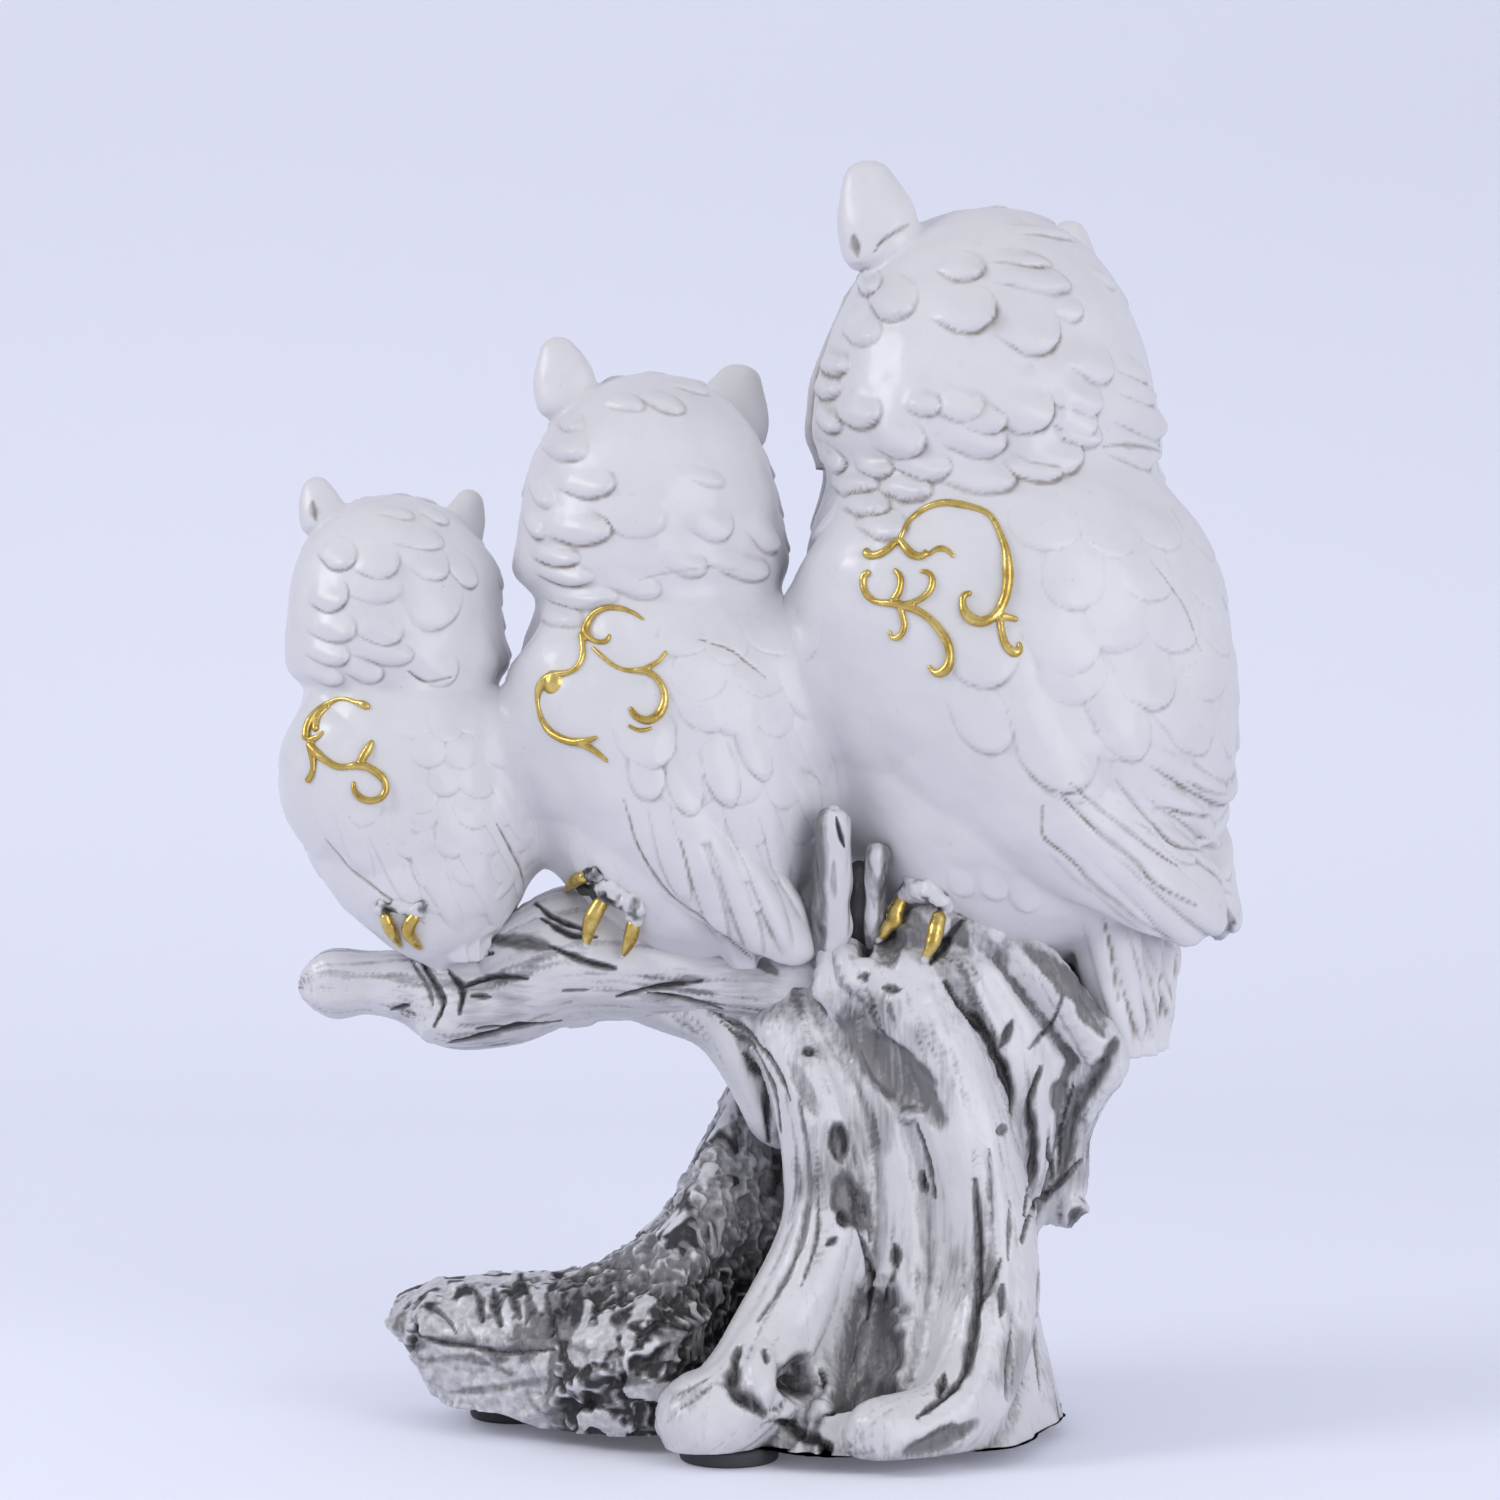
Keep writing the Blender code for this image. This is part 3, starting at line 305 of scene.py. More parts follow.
# Cracks in the stump, in pixels: points along each, half-width, depth in millimetres and wash.
STUMP_CRACKS = (
    (((945, 983), (960, 1005), (985, 1034), (998, 1062), (1009, 1089), (1011, 1112)), 5.5, 2.2, 1.0),
    (((1012, 1022), (1006, 1036), (1000, 1048)), 3.5, 1.2, 0.9),
    (((1064, 991), (1052, 1022), (1027, 1050)), 2.5, 0.7, 0.6),
    (((1040, 1068), (1029, 1105), (1033, 1147), (1024, 1215)), 4.5, 1.6, 0.9),
    (((1117, 1040), (1100, 1070), (1085, 1095), (1072, 1120), (1066, 1150), (1062, 1178)), 10.0, 2.0, 0.8),
    (((1073, 1085), (1062, 1120), (1059, 1180)), 2.5, 1.4, 1.0),
    (((1049, 1140), (1052, 1184)), 3.5, 1.2, 0.9),
    (((1083, 1160), (1062, 1180), (1030, 1215), (1022, 1240)), 4.0, 1.6, 0.9),
    (((916, 1126), (928, 1160), (934, 1198)), 3.5, 1.4, 0.9),
    (((922, 1172), (926, 1192)), 3.5, 1.0, 0.9),
    (((858, 1233), (868, 1262), (870, 1290), (867, 1318)), 3.5, 1.5, 1.0),
    (((849, 1180), (866, 1206), (870, 1240)), 4.0, 1.0, 0.7),
    (((895, 1246), (897, 1266)), 5.0, 1.4, 1.0),
    (((899, 1262), (888, 1290), (884, 1318)), 2.5, 0.7, 0.5),
    (((827, 1245), (836, 1238)), 3.5, 0.9, 0.9),
    (((1001, 1259), (989, 1290), (978, 1308)), 3.0, 1.1, 0.8),
    (((1002, 1285), (1001, 1317)), 3.5, 1.1, 0.8),
    (((975, 1180), (979, 1248), (976, 1318), (958, 1383), (918, 1417)), 5.0, 1.8, 0.9),
    (((939, 1396), (944, 1374)), 4.5, 1.2, 0.9),
    (((737, 1348), (733, 1389), (762, 1413)), 7.5, 2.0, 0.9),
    (((776, 1419), (800, 1432), (826, 1444)), 6.0, 1.8, 0.9),
    (((763, 1352), (765, 1366)), 2.5, 1.0, 0.9),
    (((822, 1368), (824, 1388)), 3.5, 1.2, 1.0),
    (((842, 940), (843, 962)), 2.5, 1.0, 1.0),
    (((963, 920), (946, 942), (930, 964)), 4.5, 1.0, 1.0),
    (((884, 905), (872, 930), (862, 957)), 5.0, 0.9, 0.85),
    (((700, 1003), (740, 1026), (772, 1062), (789, 1100)), 3.0, 0.9, 0.8),
    (((722, 1022), (752, 1046), (772, 1085), (780, 1130)), 3.0, 0.9, 0.8),
    (((745, 1052), (762, 1084), (768, 1130), (766, 1182)), 3.5, 1.1, 1.0),
    (((799, 1100), (808, 1160), (806, 1220), (790, 1270), (758, 1320)), 4.0, 0.8, 0.55),
    (((818, 1180), (816, 1240), (800, 1290)), 3.0, 0.7, 0.45),
    (((790, 985), (812, 982)), 3.5, 0.8, 0.9),
    (((884, 988), (900, 990)), 3.5, 0.8, 0.9),
    (((1010, 1200), (1008, 1260)), 2.2, 0.6, 0.6),
    (((990, 1150), (992, 1230)), 2.2, 0.6, 0.55),
    (((1040, 1250), (1036, 1330), (1040, 1390)), 3.0, 0.8, 0.6),
    (((1012, 1330), (1006, 1400)), 3.0, 0.8, 0.6),
)
# Hollows in the stump, in pixels: middle, half-length, half-width, tilt in degrees, depth in millimetres
# and wash; the last one's wash is painted shade.
STUMP_HOLLOWS = (
    ((888, 1068), 72, 29, 45, 2.2, 0.7),
    ((839, 1144), 21, 12, 90, 1.2, 1.1),
    ((850, 1200), 33, 19, 75, 1.6, 1.0),
    ((844, 1219), 11, 9, 60, 2.0, 1.0),
    ((797, 1377), 23, 20, 90, 4.2, 0.7),
    ((800, 1388), 15, 10, 20, 2.5, 1.0),
    ((809, 1051), 6, 5, 0, 1.5, 0.9),
    ((806, 1092), 32, 11, 65, 0.8, 0.5),
    ((850, 906), 9, 9, 0, 2.0, 1.0),
    ((1003, 1129), 7, 6, 0, 0.8, 0.7),
    ((1076, 1218), 16, 9, 60, 1.2, 0.8),
    ((824, 1446), 10, 8, 20, 3.0, 1.0),
    ((990, 950), 26, 11, 35, 0.5, 0.45),
    ((984, 1022), 34, 7, 55, 0.8, 0.6),
    ((868, 930), 30, 7, 105, 1.2, 0.75),
    ((893, 942), 22, 13, 120, 0.8, 0.7),
    ((1092, 1012), 34, 13, 60, 0.8, 0.6),
    ((1058, 1094), 20, 11, 90, 0.7, 0.55),
    ((966, 1000), 30, 10, 60, 0.5, 0.45),
    ((940, 1440), 48, 12, -17, 1.0, 0.8),
    ((905, 930), 34, 22, 20, 0.5, 0.6),
    ((960, 935), 20, 10, 70, 0.5, 0.7),
    # Painted shade: a shallow hollow whose wash darkens the band along the stump's top right, under the large
    # owl's tail.
    ((1062, 978), 58, 12, 43, 0.4, 0.75),
)
# The deep recess between the roots, drawn like the hollows; the roots themselves are spared.
STUMP_RECESSES = (((866, 1362), 80, 40, 95, 8.0, 0.7), ((880, 1395), 40, 30, 40, 3.0, 0.8))
# Knobs on the stump, in pixels: middle, half-length, half-width, tilt in degrees and height in millimetres.
STUMP_KNOBS = (
    ((908, 1116), 8, 6, -15, 1.6),
    ((797, 1410), 42, 10, 0, 1.4),
    ((760, 1382), 14, 34, 0, 1.2),
    ((1074, 1214), 20, 16, 60, 1.5),
    ((822, 1395), 10, 22, 0, 0.8),
    ((838, 970), 26, 50, 0, 4.0),
)
BRANCH_CRACKS = (
    (((426, 965), (460, 955), (494, 954)), 3.0, 1.1, 1.0),
    (((460, 989), (482, 979), (528, 978)), 3.0, 1.1, 1.0),
    (((448, 971), (462, 988), (460, 1013)), 3.2, 1.0, 1.0),
    (((471, 996), (491, 997)), 2.6, 0.8, 0.9),
    (((549, 946), (583, 960), (615, 968)), 3.4, 1.1, 1.0),
    (((563, 990), (588, 990)), 1.8, 0.5, 0.7),
    (((617, 997), (653, 988), (702, 981)), 3.2, 1.0, 1.0),
    (((648, 993), (687, 999), (722, 1008)), 3.0, 0.9, 0.9),
    (((446, 1041), (488, 1035), (519, 1027), (560, 1023)), 4.5, 1.2, 1.0),
    (((476, 1028), (504, 1027)), 2.4, 0.7, 0.9),
    (((420, 958), (434, 982), (444, 1004), (437, 1022)), 3.2, 1.3, 0.9),
    (((412, 962), (427, 984), (434, 1004)), 2.4, 0.8, 0.7),
    (((426, 930), (476, 938), (519, 941), (549, 947)), 7.0, 0.7, 0.75),
    (((536, 905), (560, 920), (590, 932)), 3.0, 0.9, 1.0),
    (((540, 917), (572, 935), (596, 938)), 2.6, 0.8, 1.0),
    (((690, 940), (730, 950), (775, 972)), 8.0, 0.6, 0.7),
    (((392, 1008), (410, 1004)), 2.5, 0.7, 0.9),
)
BRANCH_HOLLOWS = (
    ((308, 960), 14, 9, 50, 0.8, 0.75),
    ((380, 908), 16, 8, 70, 1.2, 0.9),
    ((640, 905), 34, 14, 15, 0.8, 0.7),
    ((352, 946), 26, 6, 25, 0.7, 0.45),
)
BRANCH_KNOBS = (((352, 1016), 14, 7, 0, 1.0), ((438, 1030), 22, 14, 0, 1.0))

BARK_RIDGES = ((((527, 1413), (570, 1392), (615, 1366), (660, 1340), (700, 1316)), 13.0, 3.0, 0.0),)
BARK_CRACKS = (
    (((404, 1330), (432, 1340), (470, 1346), (508, 1352), (556, 1350)), 2.6, 1.3, 0.9),
    (((420, 1306), (440, 1312), (458, 1334)), 2.2, 0.7, 0.7),
    (((476, 1292), (481, 1306), (483, 1322)), 4.0, 0.6, 0.9),
    (((494, 1290), (497, 1308), (502, 1326)), 4.5, 0.6, 0.9),
    (((510, 1290), (515, 1304), (522, 1320)), 4.0, 0.6, 0.9),
    (((528, 1292), (532, 1312), (529, 1328)), 4.5, 0.6, 0.8),
    (((548, 1296), (552, 1318), (560, 1340)), 4.0, 0.7, 0.9),
    (((428, 1362), (470, 1357), (512, 1374)), 5.0, 0.4, 0.5),
    (((452, 1392), (505, 1386), (560, 1376)), 5.0, 0.4, 0.5),
)


# Owls
@dataclass
class Owl:
    """One owl's place and sizes. Angles turn its face from +Y towards the branch's free end."""

    name: str
    axis: tuple
    perch: float
    body_tall: float
    head_tall: float
    head_half: float
    dome_rise: float
    body_scale: float
    body_turn: float
    head_turn: float
    belly_tuck: float
    ear_rises: tuple
    ear_length: float
    ear_widths: tuple
    wing_reach: float
    wing_drop: float
    tail_drop: float
    ruff_slope: float
    voxel: float

    @property
    def neck(self):
        """Height of the crease between body and head."""
        return self.perch + self.body_tall

    @property
    def crown(self):
        """Height of the top of the head, without the ears."""
        return self.neck + self.head_tall

    @property
    def fine(self):
        """Size of this owl's relief, next to the large owl's."""
        return self.head_half / LARGE_HEAD_HALF


LARGE_HEAD_HALF = 36.0
OWLS = (
    Owl(
        name="large_owl", axis=(46.4, 4.0), perch=STUMP_TOP - 3.0, body_tall=94.5, head_tall=50.5,
        head_half=LARGE_HEAD_HALF, dome_rise=2.1, body_scale=1.0, body_turn=67.0, head_turn=37.0,
        belly_tuck=0.0, ear_rises=(8.2, 0.5), ear_length=22.0, ear_widths=(1.12, 1.0), wing_reach=1.0,
        wing_drop=3.0, tail_drop=23.0, ruff_slope=0.2, voxel=0.62,
    ),
    Owl(
        name="middle_owl", axis=(-20.0, 1.0), perch=STUMP_TOP - 5.0, body_tall=71.0, head_tall=42.5,
        head_half=26.6, dome_rise=3.0, body_scale=0.72, body_turn=66.0, head_turn=24.0,
        belly_tuck=6.0, ear_rises=(7.6, 2.7), ear_length=17.0, ear_widths=(1.2, 1.5), wing_reach=1.0,
        wing_drop=6.0, tail_drop=4.0, ruff_slope=0.08, voxel=0.5,
    ),
    Owl(
        name="small_owl", axis=(-71.4, 0.0), perch=STUMP_TOP - 7.0, body_tall=55.0, head_tall=36.5,
        head_half=21.6, dome_rise=3.2, body_scale=0.56, body_turn=64.0, head_turn=22.0,
        belly_tuck=14.0, ear_rises=(3.6, 1.4), ear_length=12.0, ear_widths=(1.1, 1.1), wing_reach=0.72,
        wing_drop=0.0, tail_drop=1.0, ruff_slope=0.0, voxel=0.4,
    ),
)
# Share of the height from perch to neck, then the front, the back and the half-width at body scale 1.
BODY_ROWS = (
    (-0.06, 3.0, -22.0, 11.0),
    (0.02, 15.0, -35.0, 23.0),
    (0.15, 25.0, -44.5, 32.0),
    (0.38, 33.0, -51.5, 38.0),
    (0.60, 34.5, -51.0, 39.5),
    (0.82, 33.5, -46.0, 38.0),
    (0.98, 30.5, -35.0, 33.0),
)
TUCK_HEIGHT = 0.6
NECK_PINCH = 0.95
NECK_SHARE = 0.08
# The soft neck: its half-height next to a large head, and the rounds that even it out.
NECK_SOFT, NECK_ROUNDS = 6.0, 120
DOME_ROUND = 2.2
CROWN_SHARE = 0.985
FACE_DEPTH = 0.88
NAPE_DEPTH = 0.98
EYE_APART = 0.40
EYE_LEVEL = 0.50
EYE_RADIUS = 0.165
# How far an eye reaches into the head and out of it, in its radii.
EYE_SUNK = 0.8
EYE_DOME = 0.5
# Where the pupil and the bright iris end, in the eye's radii.
PUPIL_EDGE = (0.42, 0.5)
IRIS_EDGE = (0.82, 1.0)
DISC_RADIUS = 0.46
DISC_DEPTH = 0.09
BEAK_LEVEL = 0.40
BEAK_RADIUS = 0.095
BEAK_LENGTH = 0.34
BEAK_VOXEL = 0.2
# The beak's axis: out of the face in beak radii, down in beak lengths, and the radius in beak radii.
BEAK_PROFILE = ((-0.6, -0.35, 1.0), (0.9, 0.0, 1.15), (0.9, 0.45, 0.75), (-0.2, 0.75, 0.3))
EAR_FOOT = (0.61, 0.06)
EAR_SPREADS = (0.08, 0.24)
EAR_FORWARD = 0.14
EAR_WIDTH = 0.21
EAR_THICKNESS = 0.15
EAR_MIDDLE = 0.55
EAR_TAPER = (1.0, 0.9, 0.4)
# Where an ear sets in along its axis, and ends round it in the head's half-widths.
EAR_START = (0.05, 0.2)
EAR_SIDES = (0.28, 0.36)
# The hollow in an ear's front: its end round the axis, where it sets in and runs out along it, how far the
# surface has to face forward, and its depth and wash.
EAR_HOLLOW = (0.1, 0.26)
EAR_HOLLOW_START = (0.1, 0.4)
EAR_HOLLOW_END = (0.6, 0.9)
EAR_FRONT = (0.45, 0.85)
EAR_HOLLOW_DEEP, EAR_HOLLOW_WASH = 0.9, 0.7
# Strands on the ears: their size, height and stretch.
EAR_STRAND_SIZE, EAR_STRAND_TALL = 5.0, 0.35
EAR_STRAND_STRETCH = (1.0, 1.0, 0.3)
# Along a wing, from shoulder to tip: distance out from the middle, forward, share of the height from
# perch to neck, half-breadth and half-thickness, at body scale 1.
WING_ROWS = (
    (27.0, 12.0, 0.95, 9.0, 3.0),
    (36.0, 8.0, 0.80, 24.0, 4.5),
    (38.5, -3.0, 0.58, 29.0, 5.0),
    (33.0, -24.0, 0.34, 18.5, 4.5),
    (16.0, -43.0, 0.17, 12.5, 3.6),
    (3.0, -52.0, 0.07, 7.5, 2.6),
)
WING_SAG = 0.36
WING_TIP = 9.0
WING_BODY_ROWS = 3
WING_FACING = 10.0
TAIL_FEATHERS = 5
TAIL_RIB = 0.22
# Down the tail: distance back, half-width and half-thickness, at body scale 1.
TAIL_ROWS = ((-25.0, 14.0, 8.0), (-29.0, 15.5, 9.5), (-32.5, 12.5, 5.5))
TAIL_SHARES = (0.26, 0.06)
# Size of the fillet in which neighbouring owls meet.
WEB_FILLET = 11.0
# Distances from the neighbour's surface between which the fillet sets in, and the feathers do.
WEB_FADE = (-6.0, -1.0)
WEB_SMOOTH = (1.0, 6.0)
# The search for the fillet: its rounds, the least slope it counts on and its longest step, and the rounds
# that even the fillet out.
WEB_ROUNDS, WEB_SLOPE, WEB_STEP = 3, 0.15, 3.0
WEB_RELAX = 25

# Feathers of the near wing and tail, in pixels: root, tip, half-width, and lift in millimetres.
FEATHERS = {
    "large_owl": (
        ((958, 612), (1003, 684), 34, 0.9),
        ((1030, 600), (1092, 668), 36, 0.6),
        ((1118, 630), (1168, 706), 32, 0.9),
        ((955, 678), (1004, 752), 27, 1.0),
        ((1022, 672), (1082, 792), 40, 1.3),
        ((1090, 672), (1142, 760), 28, 1.1),
        ((1150, 690), (1210, 750), 24, 0.9),
        ((1112, 735), (1226, 800), 17, 2.1),
        ((1096, 762), (1228, 845), 17, 1.85),
        ((1080, 782), (1238, 893), 17, 1.6),
        ((1066, 798), (1236, 942), 17, 1.35),
        ((1055, 812), (1200, 948), 16, 1.1),
        ((1050, 828), (1156, 930), 15, 0.85),
        ((1046, 836), (1108, 896), 12, 0.6),
        ((1090, 905), (1130, 1050), 13, 1.2),
        ((1122, 912), (1145, 1048), 12, 1.3),
        ((1151, 928), (1157, 1040), 9, 1.2),
        ((1171, 938), (1170, 1028), 8, 1.1),
        ((985, 868), (1000, 902), 16, 0.8),
        ((1015, 876), (1032, 914), 16, 0.8),
        ((955, 866), (965, 898), 15, 0.7),
    ),
    "middle_owl": (
        ((622, 690), (664, 768), 30, 0.8),
        ((676, 668), (724, 730), 26, 0.5),
        ((640, 738), (652, 802), 19, 0.8),
        ((672, 738), (694, 818), 19, 0.9),
        ((704, 726), (734, 808), 19, 0.9),
        ((738, 708), (768, 782), 18, 0.8),
        ((775, 652), (812, 722), 15, 0.7),
        ((792, 702), (828, 786), 14, 0.8),
        ((654, 786), (690, 908), 14, 0.9),
        ((676, 792), (724, 942), 13, 1.0),
        ((698, 790), (752, 958), 13, 1.0),
        ((722, 786), (790, 960), 14, 1.05),
        ((748, 772), (812, 930), 14, 1.0),
        ((775, 745), (822, 850), 14, 0.9),
        ((600, 850), (612, 892), 16, 0.5),
        ((575, 838), (584, 880), 16, 0.5),
    ),
    "small_owl": (
        ((345, 770), (372, 826), 22, 0.3),
        ((395, 750), (430, 815), 22, 0.3),
        ((445, 735), (485, 800), 20, 0.3),
        ((338, 800), (372, 880), 14, 0.45),
        ((364, 800), (425, 920), 14, 0.5),
        ((390, 792), (462, 935), 14, 0.6),
        ((420, 780), (500, 940), 14, 0.6),
        ((452, 768), (522, 908), 14, 0.6),
        ((480, 750), (528, 850), 13, 0.45),
    ),
}
FEATHER_BLUNT = 0.55
FEATHER_FLAT = 0.2
FEATHER_CROWN = 0.7
FEATHER_NARROW = 0.35
FEATHER_EDGE = 0.95
# A feather shows where the surface faces its way by this much, has risen at this share of its length, and
# sinks towards its upper edge between these half-widths.
FEATHER_FACING = 0.25
FEATHER_RISEN = 0.35
FEATHER_UPPER = (-0.4, 0.8)
# How far laid feathers stray from the flow, and vary in size.
FEATHER_STRAY, FEATHER_VARY = 0.12, 0.18
# Drawn head feathers lie partly under their neighbours, so each is this much broader than what shows.
HEAD_BROADEN = 1.65
HEAD_LIFT = 1.6
# The wash that a crease of one millimetre keeps.
CREASE_WASH = 6.0
# Rounds that even out the relief to find its creases, and the size, mean and swing of the wear of their wash.
CREASE_ROUNDS = 4
WEAR_SIZE, WEAR_MEAN, WEAR_SWING = 14.0, 0.65, 0.5
# Size and height of the swells and dimples under the feathers.
SWELL_SIZE, SWELL_TALL = 9.0, 0.5
DIMPLE_SIZE, DIMPLE_TALL = 4.5, 0.16

# Feathers of the near side of the heads and necks, drawn in the same way.
HEAD_FEATHERS = {
    "large_owl": (
        ((930, 299), (996, 317), 17, 1.3),
        ((936, 258), (983, 274), 12, 1.1),
        ((983, 271), (1071, 289), 12, 1.3),
        ((980, 255), (1052, 266), 8, 1.0),
        ((996, 314), (1060, 339), 19, 1.3),
        ((1008, 230), (1074, 241), 8, 1.0),
        ((1089, 267), (1117, 286), 8, 0.9),
        ((1052, 302), (1082, 314), 10, 0.9),
        ((1064, 346), (1114, 371), 16, 1.2),
        ((1111, 355), (1146, 377), 12, 1.1),
        ((877, 283), (911, 314), 15, 1.4),
        ((853, 271), (880, 293), 9, 1.2),
        ((845, 315), (880, 338), 12, 1.0),
        ((819, 355), (850, 367), 10, 1.3),
        ((811, 377), (841, 390), 10, 1.3),
        ((836, 402), (883, 414), 13, 1.5),
        ((816, 405), (843, 427), 9, 1.3),
        ((869, 430), (927, 443), 14, 1.5),
        ((902, 396), (943, 407), 9, 1.2),
        ((933, 396), (985, 410), 12, 1.3),
        ((955, 408), (1008, 421), 13, 1.4),
        ((983, 393), (1055, 414), 18, 1.3),
        ((936, 427), (1008, 444), 13, 1.6),
        ((1008, 439), (1083, 458), 17, 1.7),
        ((1052, 405), (1096, 427), 14, 1.5),
        ((1049, 386), (1102, 405), 14, 1.3),
        ((1096, 396), (1158, 424), 18, 1.4),
        ((1105, 374), (1152, 396), 14, 1.3),
        ((1093, 430), (1163, 453), 16, 1.7),
        ((1052, 424), (1102, 438), 10, 1.5),
        ((814, 446), (850, 464), 11, 1.7),
        ((827, 467), (880, 489), 13, 1.8),
        ((852, 458), (896, 471), 9, 1.7),
        ((877, 477), (933, 492), 11, 1.6),
        ((889, 452), (955, 471), 12, 1.6),
        ((930, 461), (1017, 483), 14, 1.5),
        ((999, 458), (1064, 474), 11, 1.4),
        ((844, 496), (888, 513), 11, 1.5),
        ((858, 511), (905, 534), 12, 1.2),
    ),
    "middle_owl": (
        ((546, 434), (588, 455), 12, 1.2),
        ((554, 474), (616, 486), 12, 1.1),
        ((541, 519), (614, 530), 13, 1.2),
        ((599, 399), (645, 409), 8, 0.9),
        ((639, 393), (685, 413), 9, 0.9),
        ((666, 383), (710, 395), 7, 0.8),
        ((682, 470), (726, 483), 7, 0.7),
        ((682, 509), (734, 528), 14, 0.9),
        ((745, 513), (777, 546), 13, 1.1),
        ((531, 472), (554, 505), 9, 1.0),
        ((525, 509), (546, 536), 8, 1.0),
        ((529, 546), (581, 559), 9, 1.2),
        ((531, 563), (596, 576), 9, 1.3),
        ((533, 584), (620, 596), 11, 1.5),
        ((604, 575), (662, 592), 9, 1.2),
        ((541, 606), (583, 625), 11, 1.0),
        ((662, 555), (708, 569), 9, 1.0),
        ((707, 555), (770, 572), 10, 1.1),
        ((558, 414), (583, 430), 8, 0.9),
        ((590, 500), (668, 522), 16, 0.6),
    ),
    "small_owl": (
        ((322, 541), (354, 565), 11, 0.9),
        ((353, 556), (400, 566), 13, 1.0),
        ((309, 587), (349, 598), 13, 0.9),
        ((341, 580), (403, 590), 12, 0.7),
        ((302, 613), (358, 632), 12, 0.8),
        ((354, 619), (403, 637), 11, 0.7),
        ((302, 639), (351, 658), 10, 0.9),
        ((348, 642), (415, 656), 10, 0.8),
        ((299, 661), (345, 679), 9, 1.1),
        ((341, 661), (384, 676), 9, 0.9),
        ((408, 655), (458, 674), 13, 0.8),
        ((445, 554), (477, 585), 11, 0.8),
        ((371, 510), (415, 518), 7, 0.7),
        ((416, 507), (449, 524), 8, 0.7),
        ((377, 531), (445, 544), 11, 0.7),
        ((413, 577), (455, 619), 22, 0.5),
        ((400, 548), (449, 574), 13, 0.6),
    ),
}

# Creases in the owls, in pixels: points along each, half-width, depth in millimetres and wash.
OWL_CREASES = {
    "large_owl": (
        (((1042, 806), (1042, 832), (1072, 860), (1097, 888), (1115, 901), (1141, 920), (1170, 939)),
         2.2, 0.5, 0.35),
        (((1061, 795), (1100, 834), (1135, 862), (1153, 882), (1194, 905)), 2.4, 0.6, 0.4),
        (((1069, 783), (1105, 813), (1146, 844), (1180, 868)), 2.2, 0.5, 0.35),
        (((1115, 780), (1146, 818), (1179, 847), (1202, 853)), 2.4, 0.6, 0.4),
        (((1161, 806), (1184, 813), (1212, 816)), 2.2, 0.5, 0.4),
        (((1184, 780), (1202, 790), (1220, 793)), 2.0, 0.4, 0.35),
        (((1104, 918), (1112, 960), (1118, 1002)), 2.0, 0.6, 0.35),
        (((1142, 1000), (1146, 1036)), 2.0, 0.6, 0.35),
        (((1162, 950), (1161, 985), (1161, 1020)), 2.0, 0.6, 0.35),
        (((873, 254), (880, 243), (893, 233), (911, 223)), 2.2, 0.6, 0.4),
        (((853, 237), (857, 256)), 4.0, 0.9, 0.95),
        (((1150, 560), (1180, 600), (1200, 650)), 2.0, 0.3, 0.2),
        (((1102, 446), (1133, 446), (1155, 452)), 2.4, 0.6, 0.6),
    ),
    "middle_owl": (
        (((624, 800), (640, 850), (668, 892), (690, 910), (720, 932), (752, 958)), 2.2, 0.5, 0.35),
        (((699, 640), (730, 650), (765, 678)), 1.8, 0.35, 0.25),
        (((640, 579), (674, 572), (705, 567), (738, 570)), 1.6, 0.25, 0.2),
    ),
    "small_owl": (
        (((325, 838), (345, 864), (370, 885), (424, 924)), 2.0, 0.4, 0.3),
        (((497, 824), (512, 852), (523, 880), (523, 906)), 2.2, 0.5, 0.5),
        (((313, 502), (316, 520)), 3.5, 0.5, 0.85),
        (((408, 671), (423, 681), (455, 674)), 1.8, 0.35, 0.35),
    ),
}

# Laid feathers of the large owl. On the head: spacing down and along the rows, and the size of one.
HEAD_ROW = 7.0
HEAD_COLUMN = 10.5
HEAD_FEATHER = (12.5, 5.8, 1.05)
RUFF_FEATHER = (15.0, 6.0, 1.7)
BODY_FEATHER = (15.0, 7.5, 0.45)
# Rows of head feathers: the level they are centred on and the arc they cover in the head's heights, their
# flow down and back, their tilts from the crown in radians, the fewest in a row, and how far each strays.
HEAD_CENTRE, HEAD_ARC = 0.3, 1.5
HEAD_FLOW = (0.8, 0.5)
HEAD_TILTS = (0.15, 1.75)
HEAD_FEWEST, HEAD_STRAY = 5, 0.2
# The ruff: its rows, the feathers in each, how far they stray along it and how wildly they vary, the first
# row's rise above the neck and the drop to the next, how much smaller that is, and how far they point back.
RUFF_ROWS, RUFF_AROUND = 2, 22
RUFF_STRAY, RUFF_WILD = 0.25, 2.3
RUFF_RISE, RUFF_DROP = 1.0, 6.5
RUFF_SHRINK, RUFF_BACK = 0.2, 0.5
# Breast and back: spacing of the rows, the share of the body they cover, the first row's drop below the neck,
# the feathers in each, how far they stray along it, the flank they leave free, and their lean inwards.
BREAST_STEP, BREAST_COVER, BREAST_START = 9.5, 0.8, 13.0
BREAST_AROUND, BREAST_STRAY = 20, 0.2
BREAST_FLANK, BREAST_LEAN = 0.6, 0.1
FACE_CLEAR = math.radians(66)
# Surfaces that face the camera more than this carry the drawn feathers.
NEAR_SIDE = 0.12
RIM_ANGLE = math.radians(54)
# The face's rim and the groove behind it, in radians, and the heights of its relief in millimetres.
RIM_HALF = 0.07
GROOVE_OFF = 0.13
GROOVE_HALF = 0.06
RIM_TALL = 1.5
GROOVE_DEEP = 0.9
RAY_COUNT = 28
RAY_TALL = 0.28
BROW_TALL = 1.1
# The face's middle in the head's heights above the neck, and where its relief ends: in the head's heights,
# and in its half-widths from that middle.
FACE_LEVEL = 0.42
FACE_HEIGHTS = (-0.02, 1.02)
FACE_REACH = 1.25
# Where the rays set in and run out, in the head's half-widths from the eye.
RAY_START = (0.17, 0.24)
RAY_END = (0.40, 0.50)
